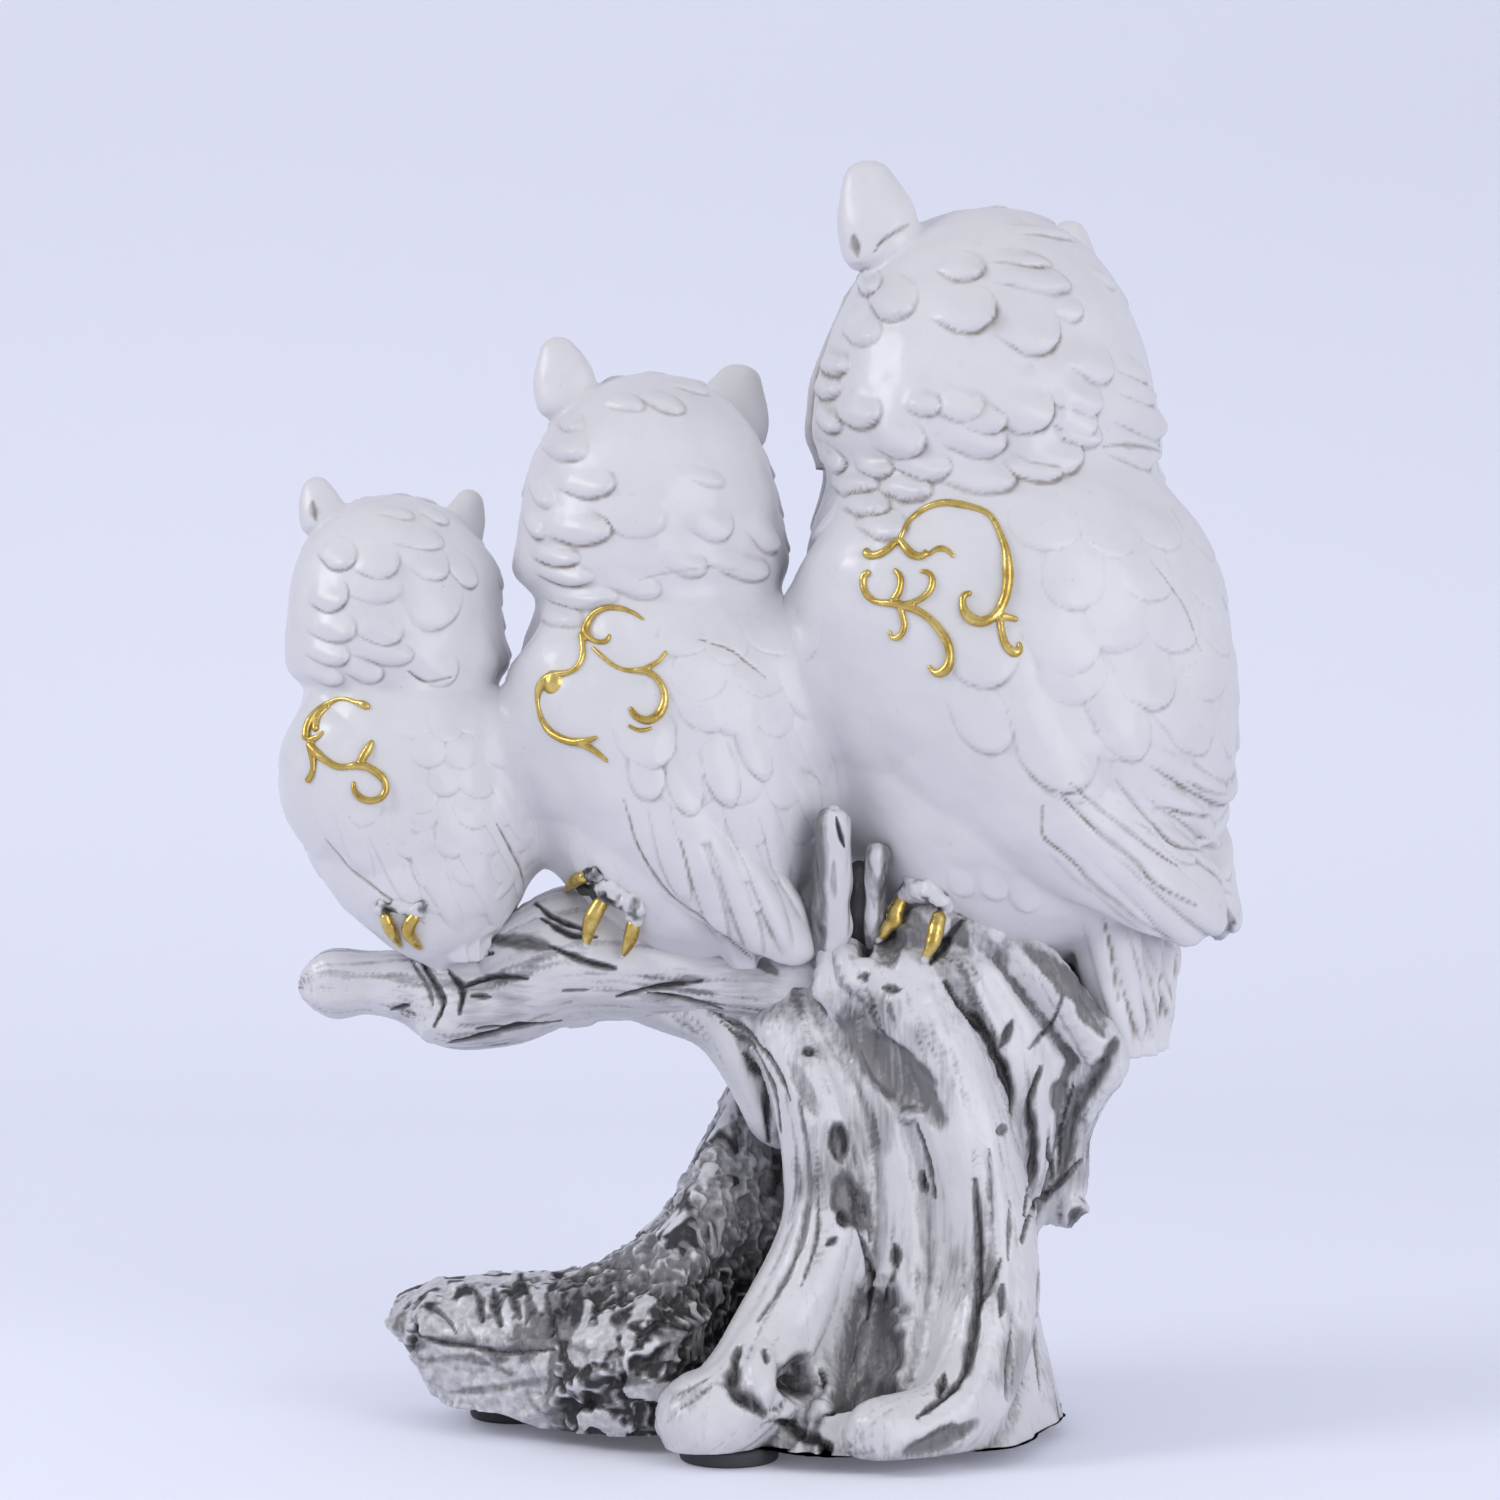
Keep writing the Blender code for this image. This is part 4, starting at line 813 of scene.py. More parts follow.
# The brow: its level, its rise outwards, its half-width and where it sets in, in the head's heights.
BROW_LEVEL, BROW_SLOPE, BROW_HALF = 0.52, 0.55, 0.05
BROW_START = (0.42, 0.55)
# Wash in the groove and on the rim, and how far the rays thin it.
GROOVE_WASH, RIM_WASH, RAY_WASH = 0.85, 0.3, 0.35

# Claws in pixels, from root to tip, with the radius in millimetres.
CLAWS = {
    "large_owl": (
        (((905, 893), (890, 915), (876, 943)), 1.4),
        (((940, 911), (934, 934), (922, 963)), 1.4),
    ),
    "middle_owl": (
        (((605, 896), (592, 920), (586, 949)), 1.5),
        (((635, 917), (631, 937), (622, 958)), 1.3),
        (((588, 876), (576, 880), (565, 891)), 1.2),
    ),
    "small_owl": (
        (((384, 912), (391, 929), (402, 949)), 1.1),
        (((418, 912), (409, 929), (423, 952)), 1.2),
    ),
}
# Along a claw: shares of its length, and its thickness there; then the step along it in pixels, how far its
# middle line stands off the wood at its ends and how much more between, in radii.
CLAW_SHARES = (0.0, 0.4, 1.0)
CLAW_RADII = (0.95, 1.15, 0.35)
CLAW_STEP = 8.0
CLAW_OUT, CLAW_BULGE = 0.6, 0.5
CLAW_ARCH = 3.0
CLAW_VOXEL = 0.16
# The share of a claw's length at which its white tip begins and is full.
CLAW_BARE = (0.86, 0.92)
# The ball of each foot in pixels, its radius in millimetres and its wash.
FEET = {
    "large_owl": (((902, 886), (925, 890), (952, 904)), 2.4, 0.15),
    "middle_owl": (((578, 886), (600, 893), (622, 898), (644, 912)), 2.2, 0.62),
    "small_owl": (((374, 904), (398, 908), (426, 914)), 1.5, 0.12),
}

# Along a toe: the distance behind the claw's root in pixels, and the radius there as a share of the claw's.
TOE_REACHES = (16.0, 6.0, -5.0)
TOE_SHARES = (1.0, 1.55, 1.2)
FOOT_VOXEL = 0.28
FOOT_LUMP_SIZE, FOOT_LUMP_TALL = 3.2, 0.9
# The heel's thickness next to the ball's, how far lumps lose wash and valleys gain it, and the rounds that
# even out the form to find the valleys.
FOOT_HEEL = 0.8
FOOT_BARE, FOOT_DEEP, FOOT_ROUNDS = 1.3, 2.0, 10

# Scroll strokes on the near wing, in pixels: along each, the place and the half-width there.
SCROLLS = {
    "large_owl": {
        "arch": (
            ((900, 540, 2.6), (904, 528, 2.4), (914, 516, 2.6), (926, 508, 3.0), (942, 503, 3.4),
             (958, 504, 3.6), (975, 508, 3.2), (988, 513, 2.8), (995, 522, 2.8), (1001, 535, 3.2),
             (1006, 550, 4.0), (1008, 567, 5.4), (1008, 584, 5.2), (1004, 601, 4.8), (997, 614, 4.8),
             (985, 622, 5.0), (972, 620, 5.4), (964, 611, 4.6), (962, 601, 3.4), (965, 593, 3.0),
             (972, 594, 3.0)),
            ((869, 548, 2.4), (865, 554, 4.2), (875, 556, 4.0), (887, 551, 4.0), (900, 540, 3.4),
             (906, 549, 4.2), (914, 556, 4.4), (923, 557, 3.6), (928, 552, 2.4), (924, 550, 1.8)),
            ((928, 556, 1.8), (933, 551, 2.4), (942, 548, 3.2), (949, 551, 2.6), (954, 558, 1.6)),
            ((998, 617, 4.4), (1007, 617, 3.6), (1018, 620, 2.6)),
            ((1000, 620, 3.6), (1002, 634, 3.4), (1007, 648, 4.2), (1016, 654, 4.6), (1021, 648, 3.2),
             (1018, 642, 2.0)),
        ),
        "spray": (
            ((871, 572, 3.4), (865, 574, 3.8), (863, 584, 3.6), (867, 595, 3.6), (876, 602, 3.2),
             (888, 603, 3.6), (901, 605, 4.4), (914, 609, 3.8), (928, 617, 3.8), (939, 629, 4.0),
             (948, 643, 4.4), (951, 657, 4.2), (948, 668, 5.0), (940, 674, 4.6), (932, 671, 2.6),
             (929, 665, 1.8)),
            ((894, 569, 2.2), (900, 575, 3.2), (901, 586, 3.4), (897, 596, 3.8), (892, 602, 3.6)),
            ((920, 572, 1.8), (927, 571, 2.6), (933, 578, 3.0), (932, 588, 3.6), (923, 598, 3.2),
             (911, 603, 3.0), (901, 605, 3.2)),
            ((899, 607, 3.0), (904, 619, 3.2), (904, 631, 3.2), (897, 639, 3.0), (890, 637, 2.2),
             (890, 630, 1.8)),
        ),
    },
    "middle_owl": {
        "spray": (
            ((644, 620, 1.6), (632, 612, 2.2), (619, 608, 2.8), (605, 608, 3.0), (593, 615, 3.6),
             (587, 625, 4.2), (585, 634, 4.2), (591, 640, 3.0), (600, 643, 2.6), (608, 641, 2.6),
             (610, 634, 1.8)),
            ((582, 633, 4.2), (583, 644, 3.0), (583, 656, 3.0), (578, 667, 2.8), (569, 673, 2.8),
             (559, 674, 3.6), (547, 679, 5.0), (540, 688, 4.4), (538, 700, 2.6), (541, 716, 2.8),
             (549, 730, 3.8), (566, 740, 4.0), (581, 742, 4.0), (598, 737, 1.8)),
            ((578, 742, 3.4), (594, 750, 3.2), (608, 762, 1.6)),
            ((592, 647, 1.8), (604, 658, 2.2), (618, 668, 2.2), (630, 671, 2.4), (644, 670, 3.6),
             (655, 676, 3.2), (663, 687, 3.4), (665, 702, 4.0), (659, 715, 4.6), (647, 721, 4.2),
             (636, 717, 3.4), (630, 707, 2.4)),
            ((643, 669, 2.8), (658, 662, 2.4), (667, 651, 1.6)),
            ((628, 725, 1.6), (640, 731, 2.2), (652, 728, 1.6)),
        ),
    },
    "small_owl": {
        "spray": (
            ((370, 709, 2.0), (365, 705, 4.2), (356, 703, 2.4), (347, 699, 2.2), (338, 699, 2.2),
             (327, 705, 3.0), (317, 712, 3.6), (310, 722, 4.4), (307, 732, 4.4), (307, 741, 4.6)),
            ((330, 706, 1.8), (320, 715, 2.6), (316, 725, 3.6), (316, 732, 3.6)),
            ((324, 731, 1.6), (321, 735, 2.4), (315, 739, 3.4), (308, 741, 4.0)),
            ((309, 743, 4.4), (317, 753, 4.2), (327, 761, 3.8), (338, 767, 3.4), (348, 767, 3.2),
             (359, 765, 4.0), (370, 768, 4.0), (380, 775, 4.2), (386, 783, 3.4), (386, 792, 3.4),
             (380, 799, 3.6), (370, 801, 3.6), (360, 798, 3.6), (354, 790, 2.8), (354, 781, 1.8)),
            ((359, 765, 3.2), (365, 755, 4.6), (371, 745, 3.6), (373, 740, 1.8)),
            ((309, 743, 3.6), (313, 755, 3.6), (314, 766, 3.0), (312, 776, 3.2), (307, 782, 3.0)),
        ),
    },
}
# Drops of gold on the strokes, in pixels, with their radii in millimetres.
SCROLL_DROPS = {"large_owl": {"arch": (), "spray": ()}, "middle_owl": {"spray": (((552, 682), 2.8),)},
                "small_owl": {"spray": ()}}
SCROLL_STEP = 3.0
SCROLL_THIN = 0.34
SCROLL_RISE = 0.3
SCROLL_VOXEL = 0.16
# Where a drop's middle line starts, bends and ends along the normal, in its radii.
DROP_SHARES = (-1.0, -0.3, 0.45)
# Dents in the gilt pieces: their height and size, and the size of the patches in the paint.
CLAW_DENTS = (0.06, 0.9, 1.4)
BEAK_DENTS = (0.05, 1.2, 1.4)
SCROLL_DENTS = (0.04, 1.1, 1.8)
# Rounds that even out a stroke's path.
SCROLL_ROUNDS = 4


# Paint, in linear colour
WHITE_PAINT = ((0.64, 0.635, 0.67), (0.69, 0.685, 0.72))
BROWN_WASH = (0.25, 0.22, 0.20)
SPECK = (0.25, 0.235, 0.23)
WOOD_PAINT = ((0.60, 0.595, 0.625), (0.69, 0.685, 0.715))
GREY_WASH = (0.18, 0.176, 0.187)
DARK_WASH = (0.02, 0.02, 0.023)
GOLD_PAINT = ((0.52, 0.36, 0.09), (0.72, 0.55, 0.19))
GOLD_WORN = (0.25, 0.16, 0.06)
CLAW_TIP = (0.64, 0.635, 0.66)
IRIS_PAINT = ((0.10, 0.06, 0.02), (0.72, 0.47, 0.10))
IRIS_FLECK = (0.40, 0.22, 0.05)
PUPIL = (0.008, 0.008, 0.009)
RUBBER_TONES = ((0.030, 0.031, 0.036), (0.062, 0.064, 0.072))
# How far the grain of each wooden paint is drawn out along X, Y and Z.
WOOD_STRETCHES = {
    "washed_stump": (1.0, 1.0, 0.12),
    "washed_branch": (0.12, 1.0, 1.0),
    "washed_bark": (0.7, 0.7, 0.7),
}

# Stage and light, in metres and watts
STAGE_HALF = 2.4
STAGE_FRONT = -1.6
STAGE_BACK = 0.5
STAGE_BEND = 0.5
STAGE_TOP = 2.2
PAPER_TONES = ((0.84, 0.855, 0.97), (0.85, 0.865, 0.98))
# Painted light: the paper shines by itself for camera rays and for rays that mirror it, as no lamp does, and
# this fades out between two heights.
PAPER_PAINTED_GLOW = 0.085
PAINTED_GLOW_HEIGHTS = (0.1, 0.4)
PAINTED_GLOW_COLOUR = (0.86, 0.88, 1.0)
ROOM_COLOUR = (0.93, 0.945, 1.0)
ROOM_STRENGTH = 0.60
LIGHT_TARGET = (0.0, 0.0, 0.13)
# Each lamp's place, size and power.
LAMPS = {
    "key": ((-1.0, -0.3, 0.7), 0.42, 4.35),
    "top": ((0.15, -0.1, 1.1), 0.7, 0.3),
    "fill": ((0.85, -1.05, 0.46), 0.9, 6.7),
}


# Numbers that vary in space
def hashed(cells, seed):
    """Even random numbers from 0 to 1, one for each triple of whole numbers."""
    mixed = cells * np.array((73856093, 19349663, 83492791))
    value = (mixed[..., 0] ^ mixed[..., 1] ^ mixed[..., 2]) + seed * 7919
    value = (value ^ (value >> 13)) * 1274126177
    value = (value ^ (value >> 16)) & 0xFFFFF
    return value / 0xFFFFF


def noise(points, size, seed=SEED):
    """Smooth noise from -1 to 1, in lumps of about the given size."""
    at = points / size
    cell = np.floor(at).astype(np.int64)
    t = at - cell
    t = t * t * (3 - 2 * t)
    total = 0.0
    for corner in itertools.product((0, 1), repeat=3):
        weight = np.prod(np.where(corner, t, 1 - t), axis=-1)
        total = total + weight * hashed(cell + np.array(corner), seed)
    return 2 * total - 1


def layered(points, size, layers, seed=SEED):
    """Noise in several sizes, each half the one before."""
    return sum(noise(points, size / 2**n, seed + n) / 2**n for n in range(layers))


def ramp(value, low, high):
    """Rises smoothly from 0 at low to 1 at high."""
    t = np.clip((value - low) / (high - low), 0.0, 1.0)
    return t * t * (3 - 2 * t)


# Curves and lofts
def curve_at(keys, values, at):
    """Values on a smooth curve through the rows of values, which lie at the rising keys."""
    keys = np.asarray(keys, float)
    values = np.asarray(values, float).reshape(len(keys), -1)
    slopes = np.gradient(values, keys, axis=0)
    at = np.clip(np.asarray(at, float), keys[0], keys[-1])
    left = np.clip(np.searchsorted(keys, at, side="right") - 1, 0, len(keys) - 2)
    gap = keys[left + 1] - keys[left]
    t = ((at - keys[left]) / gap)[:, None]
    gap = gap[:, None]
    return (
        (1 + 2 * t) * (1 - t) ** 2 * values[left]
        + t * (1 - t) ** 2 * gap * slopes[left]
        + t * t * (3 - 2 * t) * values[left + 1]
        + t * t * (t - 1) * gap * slopes[left + 1]
    )


def lengths_along(points):
    """Distance from the first point to each point."""
    gaps = np.linalg.norm(np.diff(np.asarray(points, float), axis=0), axis=1)
    return np.concatenate([[0.0], np.cumsum(gaps)])


def along_curve(points, step):
    """Points about a step apart on a smooth curve through the given points."""
    keys = lengths_along(points)
    return curve_at(keys, points, np.linspace(0.0, keys[-1], math.ceil(keys[-1] / step) + 2))


def round_angles(sides):
    """Angles evenly round a circle."""
    return np.linspace(0.0, 2 * math.pi, sides, endpoint=False)


def unit_rows(rows):
    """Rows of unit length."""
    return rows / np.linalg.norm(rows, axis=1)[:, None]


def tube_rings(path, radii, sides, steps, round_ends=True):
    """Rings round a smooth path. A radius is a number, or a pair: up and down, then sideways."""
    keys = lengths_along(path)
    at = np.linspace(0.0, keys[-1], steps)
    centres = curve_at(keys, path, at)
    pairs = np.array([r if np.ndim(r) else (r, r) for r in radii], float)
    sizes = curve_at(keys, pairs, at)
    if round_ends:
        reach = np.clip(np.minimum(at, at[-1] - at) / sizes.min(axis=1), 0.0, 1.0)
        sizes = sizes * np.sqrt(np.clip(1 - (1 - reach) ** 2, 0.03, 1.0))[:, None]
    along = unit_rows(np.gradient(centres, axis=0))
    up = UP if abs(along[0][2]) < 0.8 else np.array((0.0, -1.0, 0.0))
    turn = round_angles(sides)
    rings = []
    for centre, direction, (tall, deep) in zip(centres, along, sizes):
        up = up - direction * np.dot(up, direction)
        up = up / np.linalg.norm(up)
        side = np.cross(direction, up)
        rings.append(centre + np.outer(np.cos(turn) * tall, up) + np.outer(np.sin(turn) * deep, side))
    return np.array(rings)


def oval(squareness, sides):
    """Points round a rounded square of half-size 1, from +X through +Y."""
    turn = round_angles(sides)
    x, y = np.cos(turn), np.sin(turn)
    return np.sign(x) * np.abs(x) ** (2 / squareness), np.sign(y) * np.abs(y) ** (2 / squareness)


# Forms to carve
def melted(lofts, voxel, smoothing):
    """One mesh of overlapping closed lofts, melted together."""
    points, faces, start = [], [], 0
    for rings in lofts:
        count, sides = rings.shape[:2]
        here = np.arange(count * sides).reshape(count, sides) + start
        there = np.roll(here, -1, axis=1)
        quads = np.stack([here[:-1], there[:-1], there[1:], here[1:]], axis=-1).reshape(-1, 4)
        faces += quads.tolist()
        faces += [here[0, ::-1].tolist(), here[-1].tolist()]
        points.append(rings.reshape(-1, 3))
        start += count * sides
    mesh = bpy.data.meshes.new("lofts")
    mesh.from_pydata(np.concatenate(points).tolist(), [], faces)
    work = bpy.data.objects.new("lofts", mesh)
    bpy.context.scene.collection.objects.link(work)
    melt = work.modifiers.new("melt", "REMESH")
    melt.mode = "VOXEL"
    melt.voxel_size = voxel
    if smoothing:
        soft = work.modifiers.new("soft", "SMOOTH")
        soft.factor = 0.5
        soft.iterations = smoothing
    bpy.context.view_layer.update()
    made = bpy.data.meshes.new_from_object(work.evaluated_get(bpy.context.evaluated_depsgraph_get()))
    bpy.data.objects.remove(work)
    return Form(made)


class Form:
    """A mesh in millimetres, with the arrays and the search tree that carving needs."""

    def __init__(self, mesh):
        self.mesh = mesh
        self.points = self.read(mesh.vertices, "co", 3, float)
        self.edges = self.read(mesh.edges, "vertices", 2, np.int64)
        self.wash = np.zeros(len(self.points))
        self.paint = np.zeros(len(self.points))
        self.free = np.ones(len(self.points))
        self.refresh()

    @staticmethod
    def read(items, name, width, kind):
        """One property of all items, as rows."""
        values = np.zeros(len(items) * width, kind)
        items.foreach_get(name, values)
        return values.reshape(-1, width)

    def refresh(self):
        """Takes moved points over into the mesh, its normals and its search tree."""
        self.mesh.vertices.foreach_set("co", self.points.ravel())
        self.mesh.update()
        self.normals = self.read(self.mesh.vertex_normals, "vector", 3, float)
        faces = [face.vertices[:] for face in self.mesh.polygons]
        self.tree = BVHTree.FromPolygons(self.points.tolist(), faces)

    def raised(self, height):
        """Moves every point along its normal."""
        self.points = self.points + self.normals * height[:, None]

    def carve(self, height):
        """Moves every point along its normal, and takes the moved points over."""
        self.raised(height)
        self.refresh()

    def spread(self, values, times):
        """Values averaged with those of the neighbours, several times over."""
        one, two = self.edges.T
        count = len(self.points)
        links = np.bincount(one, minlength=count) + np.bincount(two, minlength=count)
        for _ in range(times):
            total = np.bincount(one, values[two], count) + np.bincount(two, values[one], count)
            values = 0.5 * values + 0.5 * total / links
        return values

    def relax(self, share, times):
        """Evens out the points where the share is high."""
        for _ in range(times):
            soft = np.stack([self.spread(column, 1) for column in self.points.T], axis=1)
            self.points += (soft - self.points) * share[:, None]
        self.refresh()

    def valleys(self, times):
        """How far each point lies below the even surface round it."""
        soft = np.stack([self.spread(column, times) for column in self.points.T], axis=1)
        return ((soft - self.points) * self.normals).sum(axis=1)

    def crevices(self, height, times):
        """How far the relief lies below its surroundings."""
        return np.clip(self.spread(height, times) - height, 0.0, None)


def met(forms, start, direction):
    """The first point of several forms that a ray meets, and its normal, or None."""
    best = None
    for form in forms:
        hit, normal, _, distance = form.tree.ray_cast(Vector(start), Vector(direction))
        if hit is not None and (best is None or distance < best[0]):
            best = (distance, np.array(hit), np.array(normal))
    return None if best is None else best[1:]


def sight(pixel, behind=None):
    """Start and direction of the line of sight through a pixel.

    From behind, the view is mirrored about a column of pixels.
    """
    px, py = pixel
    right = (px - PHOTO_SIZE / 2) / FOCAL
    up = (PHOTO_SIZE / 2 - py) / FOCAL
    cos, sin = math.cos(EYE_PITCH), math.sin(EYE_PITCH)
    way = np.array((right, cos + up * sin, up * cos - sin))
    start = EYE
    if behind is not None:
        middle = 2 * (behind - PHOTO_SIZE / 2) * PIXEL
        way = way * (-1.0, -1.0, 1.0)
        start = EYE * (-1.0, -1.0, 1.0) + (middle, 0.0, 0.0)
    return start, way / np.linalg.norm(way)


def seen(forms, pixel):
    """The point of several forms at a pixel, or the nearest one past the outline, and its normal."""
    start, way = sight(pixel)
    found = met(forms, start, way)
    if found is None:
        middle = start + way * abs(EYE[1])
        near = min((form.tree.find_nearest(Vector(middle)) for form in forms), key=lambda item: item[3])
        found = np.array(near[0]), np.array(near[1])
    return found


# Owls
def turned(points, angle):
    """Points turned about Z by an angle in degrees."""
    angle = math.radians(angle)
    x, y = points[..., 0], points[..., 1]
    out = points.copy()
    out[..., 0] = x * math.cos(angle) - y * math.sin(angle)
    out[..., 1] = x * math.sin(angle) + y * math.cos(angle)
    return out


def placed(owl, points, angle):
    """Points of an owl that faces +Y at the origin, turned and carried to its perch's axis."""
    return turned(np.asarray(points, float), angle) + np.array((*owl.axis, 0.0))


def local_to(owl, points, angle):
    """Points seen in the owl's own frame, in which it faces +Y at the origin."""
    return turned(points - np.array((*owl.axis, 0.0)), -angle)


def ahead_of(owl):
    """The direction in which an owl's head faces."""
    return turned(np.array((0.0, 1.0, 0.0)), owl.head_turn)


def mirrored(owl, points):
    """Points of one side of an owl's body, carried to the other side."""
    local = local_to(owl, np.asarray(points, float), owl.body_turn)
    local[..., 0] *= -1
    return placed(owl, local, owl.body_turn)


def body_limits(owl, share):
    """Front, back and half-width of the body at shares of the height from perch to neck."""
    rows = np.array(BODY_ROWS)
    limits = curve_at(rows[:, 0], rows[:, 1:], share) * owl.body_scale
    low = np.clip(1 - np.asarray(share) / TUCK_HEIGHT, 0.0, None)
    limits[:, 0] -= owl.belly_tuck * low**2
    return limits


def head_dome(owl, share):
    """Half-width of the head, as a share of its greatest, from neck to crown."""
    dome = (1 - np.clip(share, 0, 1) ** owl.dome_rise) ** (1 / DOME_ROUND)
    pinch = np.clip(share / NECK_SHARE, 0, 1)
    return dome * (NECK_PINCH + (1 - NECK_PINCH) * pinch)


def face_dish(owl, across, height):
    """How far the face sinks round the eyes, at places across the head and up from the neck."""
    half = owl.head_half
    level = EYE_LEVEL * owl.head_tall
    reach = np.hypot(np.abs(across) - EYE_APART * half, height - level) / (DISC_RADIUS * half)
    return DISC_DEPTH * half * np.clip(1 - reach**2, 0, None)


def owl_rings(owl, sides=120, body_steps=60, head_steps=56):
    """Rings of one owl's body and head, from under the perch to the crown, all starting on one side."""
    compass = round_angles(sides)
    on_body = compass - math.radians(owl.body_turn)
    on_head = compass - math.radians(owl.head_turn)
    front = np.sin(on_head) > 0
    rings = []
    shares = np.linspace(BODY_ROWS[0][0], BODY_ROWS[-1][0], body_steps)
    for share, (fore, back, half) in zip(shares, body_limits(owl, shares)):
        deep = (fore + back) / 2 + np.sin(on_body) * (fore - back) / 2
        height = np.full(sides, owl.perch + share * owl.body_tall)
        rings.append(placed(owl, np.stack([half * np.cos(on_body), deep, height], axis=1), owl.body_turn))
    for share in np.sin(np.linspace(0.0, CROWN_SHARE, head_steps) * math.pi / 2):
        half = owl.head_half * head_dome(owl, share)
        across = half * np.cos(on_head)
        dish = np.where(front, face_dish(owl, across, share * owl.head_tall), 0)
        deep = (np.where(front, FACE_DEPTH, NAPE_DEPTH) * half - dish) * np.sin(on_head)
        height = np.full(sides, owl.neck + share * owl.head_tall)
        rings.append(placed(owl, np.stack([across, deep, height], axis=1), owl.head_turn))
    return np.array(rings)


def ear_path(owl, side):
    """Foot, middle and tip of one ear tuft."""
    half = owl.head_half
    number = 0 if side < 0 else 1
    spread = EAR_FOOT[0] + EAR_SPREADS[number]
    top = owl.crown + owl.ear_rises[number]
    tip = np.array((side * spread * half, (EAR_FOOT[1] + EAR_FORWARD) * half, top))
    foot = np.array((side * EAR_FOOT[0] * half, EAR_FOOT[1] * half, top - owl.ear_length))
    return placed(owl, [foot, foot + (tip - foot) * EAR_MIDDLE, tip], owl.head_turn)


def ear_rings(owl, side, sides=40, steps=30):
    """One ear tuft, a rounded leaf that leans forward."""
    wide = EAR_WIDTH * owl.ear_widths[0 if side < 0 else 1]
    full = np.array((EAR_THICKNESS, wide)) * owl.head_half
    return tube_rings(ear_path(owl, side), [full * share for share in EAR_TAPER], sides, steps)


def wing_rings(owl, side, sides=60, steps=60):
    """One folded wing, a leaf that hugs the flank and runs out past the back."""
    rows = np.array(WING_ROWS)
    scale = owl.body_scale
    heights = owl.perch + rows[:, 2] * owl.body_tall
    spine = np.stack([rows[:, 0] * scale, rows[:, 1] * scale, heights], axis=1)
    past = spine[WING_BODY_ROWS:] - spine[WING_BODY_ROWS - 1]
    spine[WING_BODY_ROWS:] = spine[WING_BODY_ROWS - 1] + past * owl.wing_reach
    spine[WING_BODY_ROWS:, 2] -= owl.wing_drop * np.linspace(0.0, 1.0, len(past))
    keys = lengths_along(spine)
    at = np.linspace(0.0, keys[-1], steps)
    centres = curve_at(keys, spine, at)
    sizes = curve_at(keys, rows[:, 3:] * scale, at)
    reach = np.clip((at[-1] - at) / (WING_TIP * scale), 0.0, 1.0)
    sizes = sizes * np.sqrt(np.clip(1 - (1 - reach) ** 2, 0.02, 1.0))[:, None]
    along = unit_rows(np.gradient(centres, axis=0))
    turn = round_angles(sides)
    rings = []
    for centre, direction, (breadth, thick) in zip(centres, along, sizes):
        out = np.array((centre[0], min(centre[1] + WING_FACING * scale, 0.0), 0.0))
        out -= direction * np.dot(out, direction)
        out /= np.linalg.norm(out)
        across = np.cross(direction, out)
        lift = thick * np.sin(turn) - WING_SAG * breadth * np.cos(turn) ** 2
        rings.append(centre + np.outer(breadth * np.cos(turn), across) + np.outer(lift, out))
    rings = np.array(rings)
    rings[..., 0] *= side
    return placed(owl, rings, owl.body_turn)


def tail_rings(owl, sides=96, steps=40):
    """The tail, a ribbed fan that hangs from the lower back."""
    rows = np.array(TAIL_ROWS) * owl.body_scale
    heights = [owl.perch + share * owl.body_tall for share in TAIL_SHARES] + [owl.perch - owl.tail_drop]
    path = np.stack([np.zeros(len(rows)), rows[:, 0], heights], axis=1)
    keys = lengths_along(path)
    at = np.linspace(0.0, keys[-1], steps)
    across = np.cos(round_angles(sides))
    deep = np.sin(round_angles(sides)) * (1 + TAIL_RIB * np.cos(TAIL_FEATHERS * math.pi * across))
    rings = []
    for centre, (wide, thick) in zip(curve_at(keys, path, at), curve_at(keys, rows[:, 1:], at)):
        rings.append(centre + np.stack([wide * across, thick * deep, np.zeros(sides)], axis=1))
    return placed(owl, np.array(rings), owl.body_turn)


def owl_form(owl):
    """One owl's plain form: body, head, ear tufts, wings and tail, with a soft neck."""
    lofts = [owl_rings(owl), tail_rings(owl)]
    for side in (-1, 1):
        lofts += [wing_rings(owl, side), ear_rings(owl, side)]
    form = melted(lofts, owl.voxel, 5)
    at_neck = np.exp(-(((form.points[:, 2] - owl.neck) / (NECK_SOFT * owl.fine)) ** 2))
    form.relax(at_neck, NECK_ROUNDS)
    return form


def gap_to(form, points):
    """Signed distance of each point from a form, and the outward direction there."""
    gaps = np.full(len(points), FAR)
    ways = np.zeros((len(points), 3))
    for i, point in enumerate(points):
        near, normal, _, distance = form.tree.find_nearest(Vector(point))
        way = point - np.array(near)
        sign = 1.0 if np.dot(way, normal) >= 0 else -1.0
        gaps[i] = sign * distance
        ways[i] = sign * way / distance if distance > 1e-4 else normal
    return gaps, ways


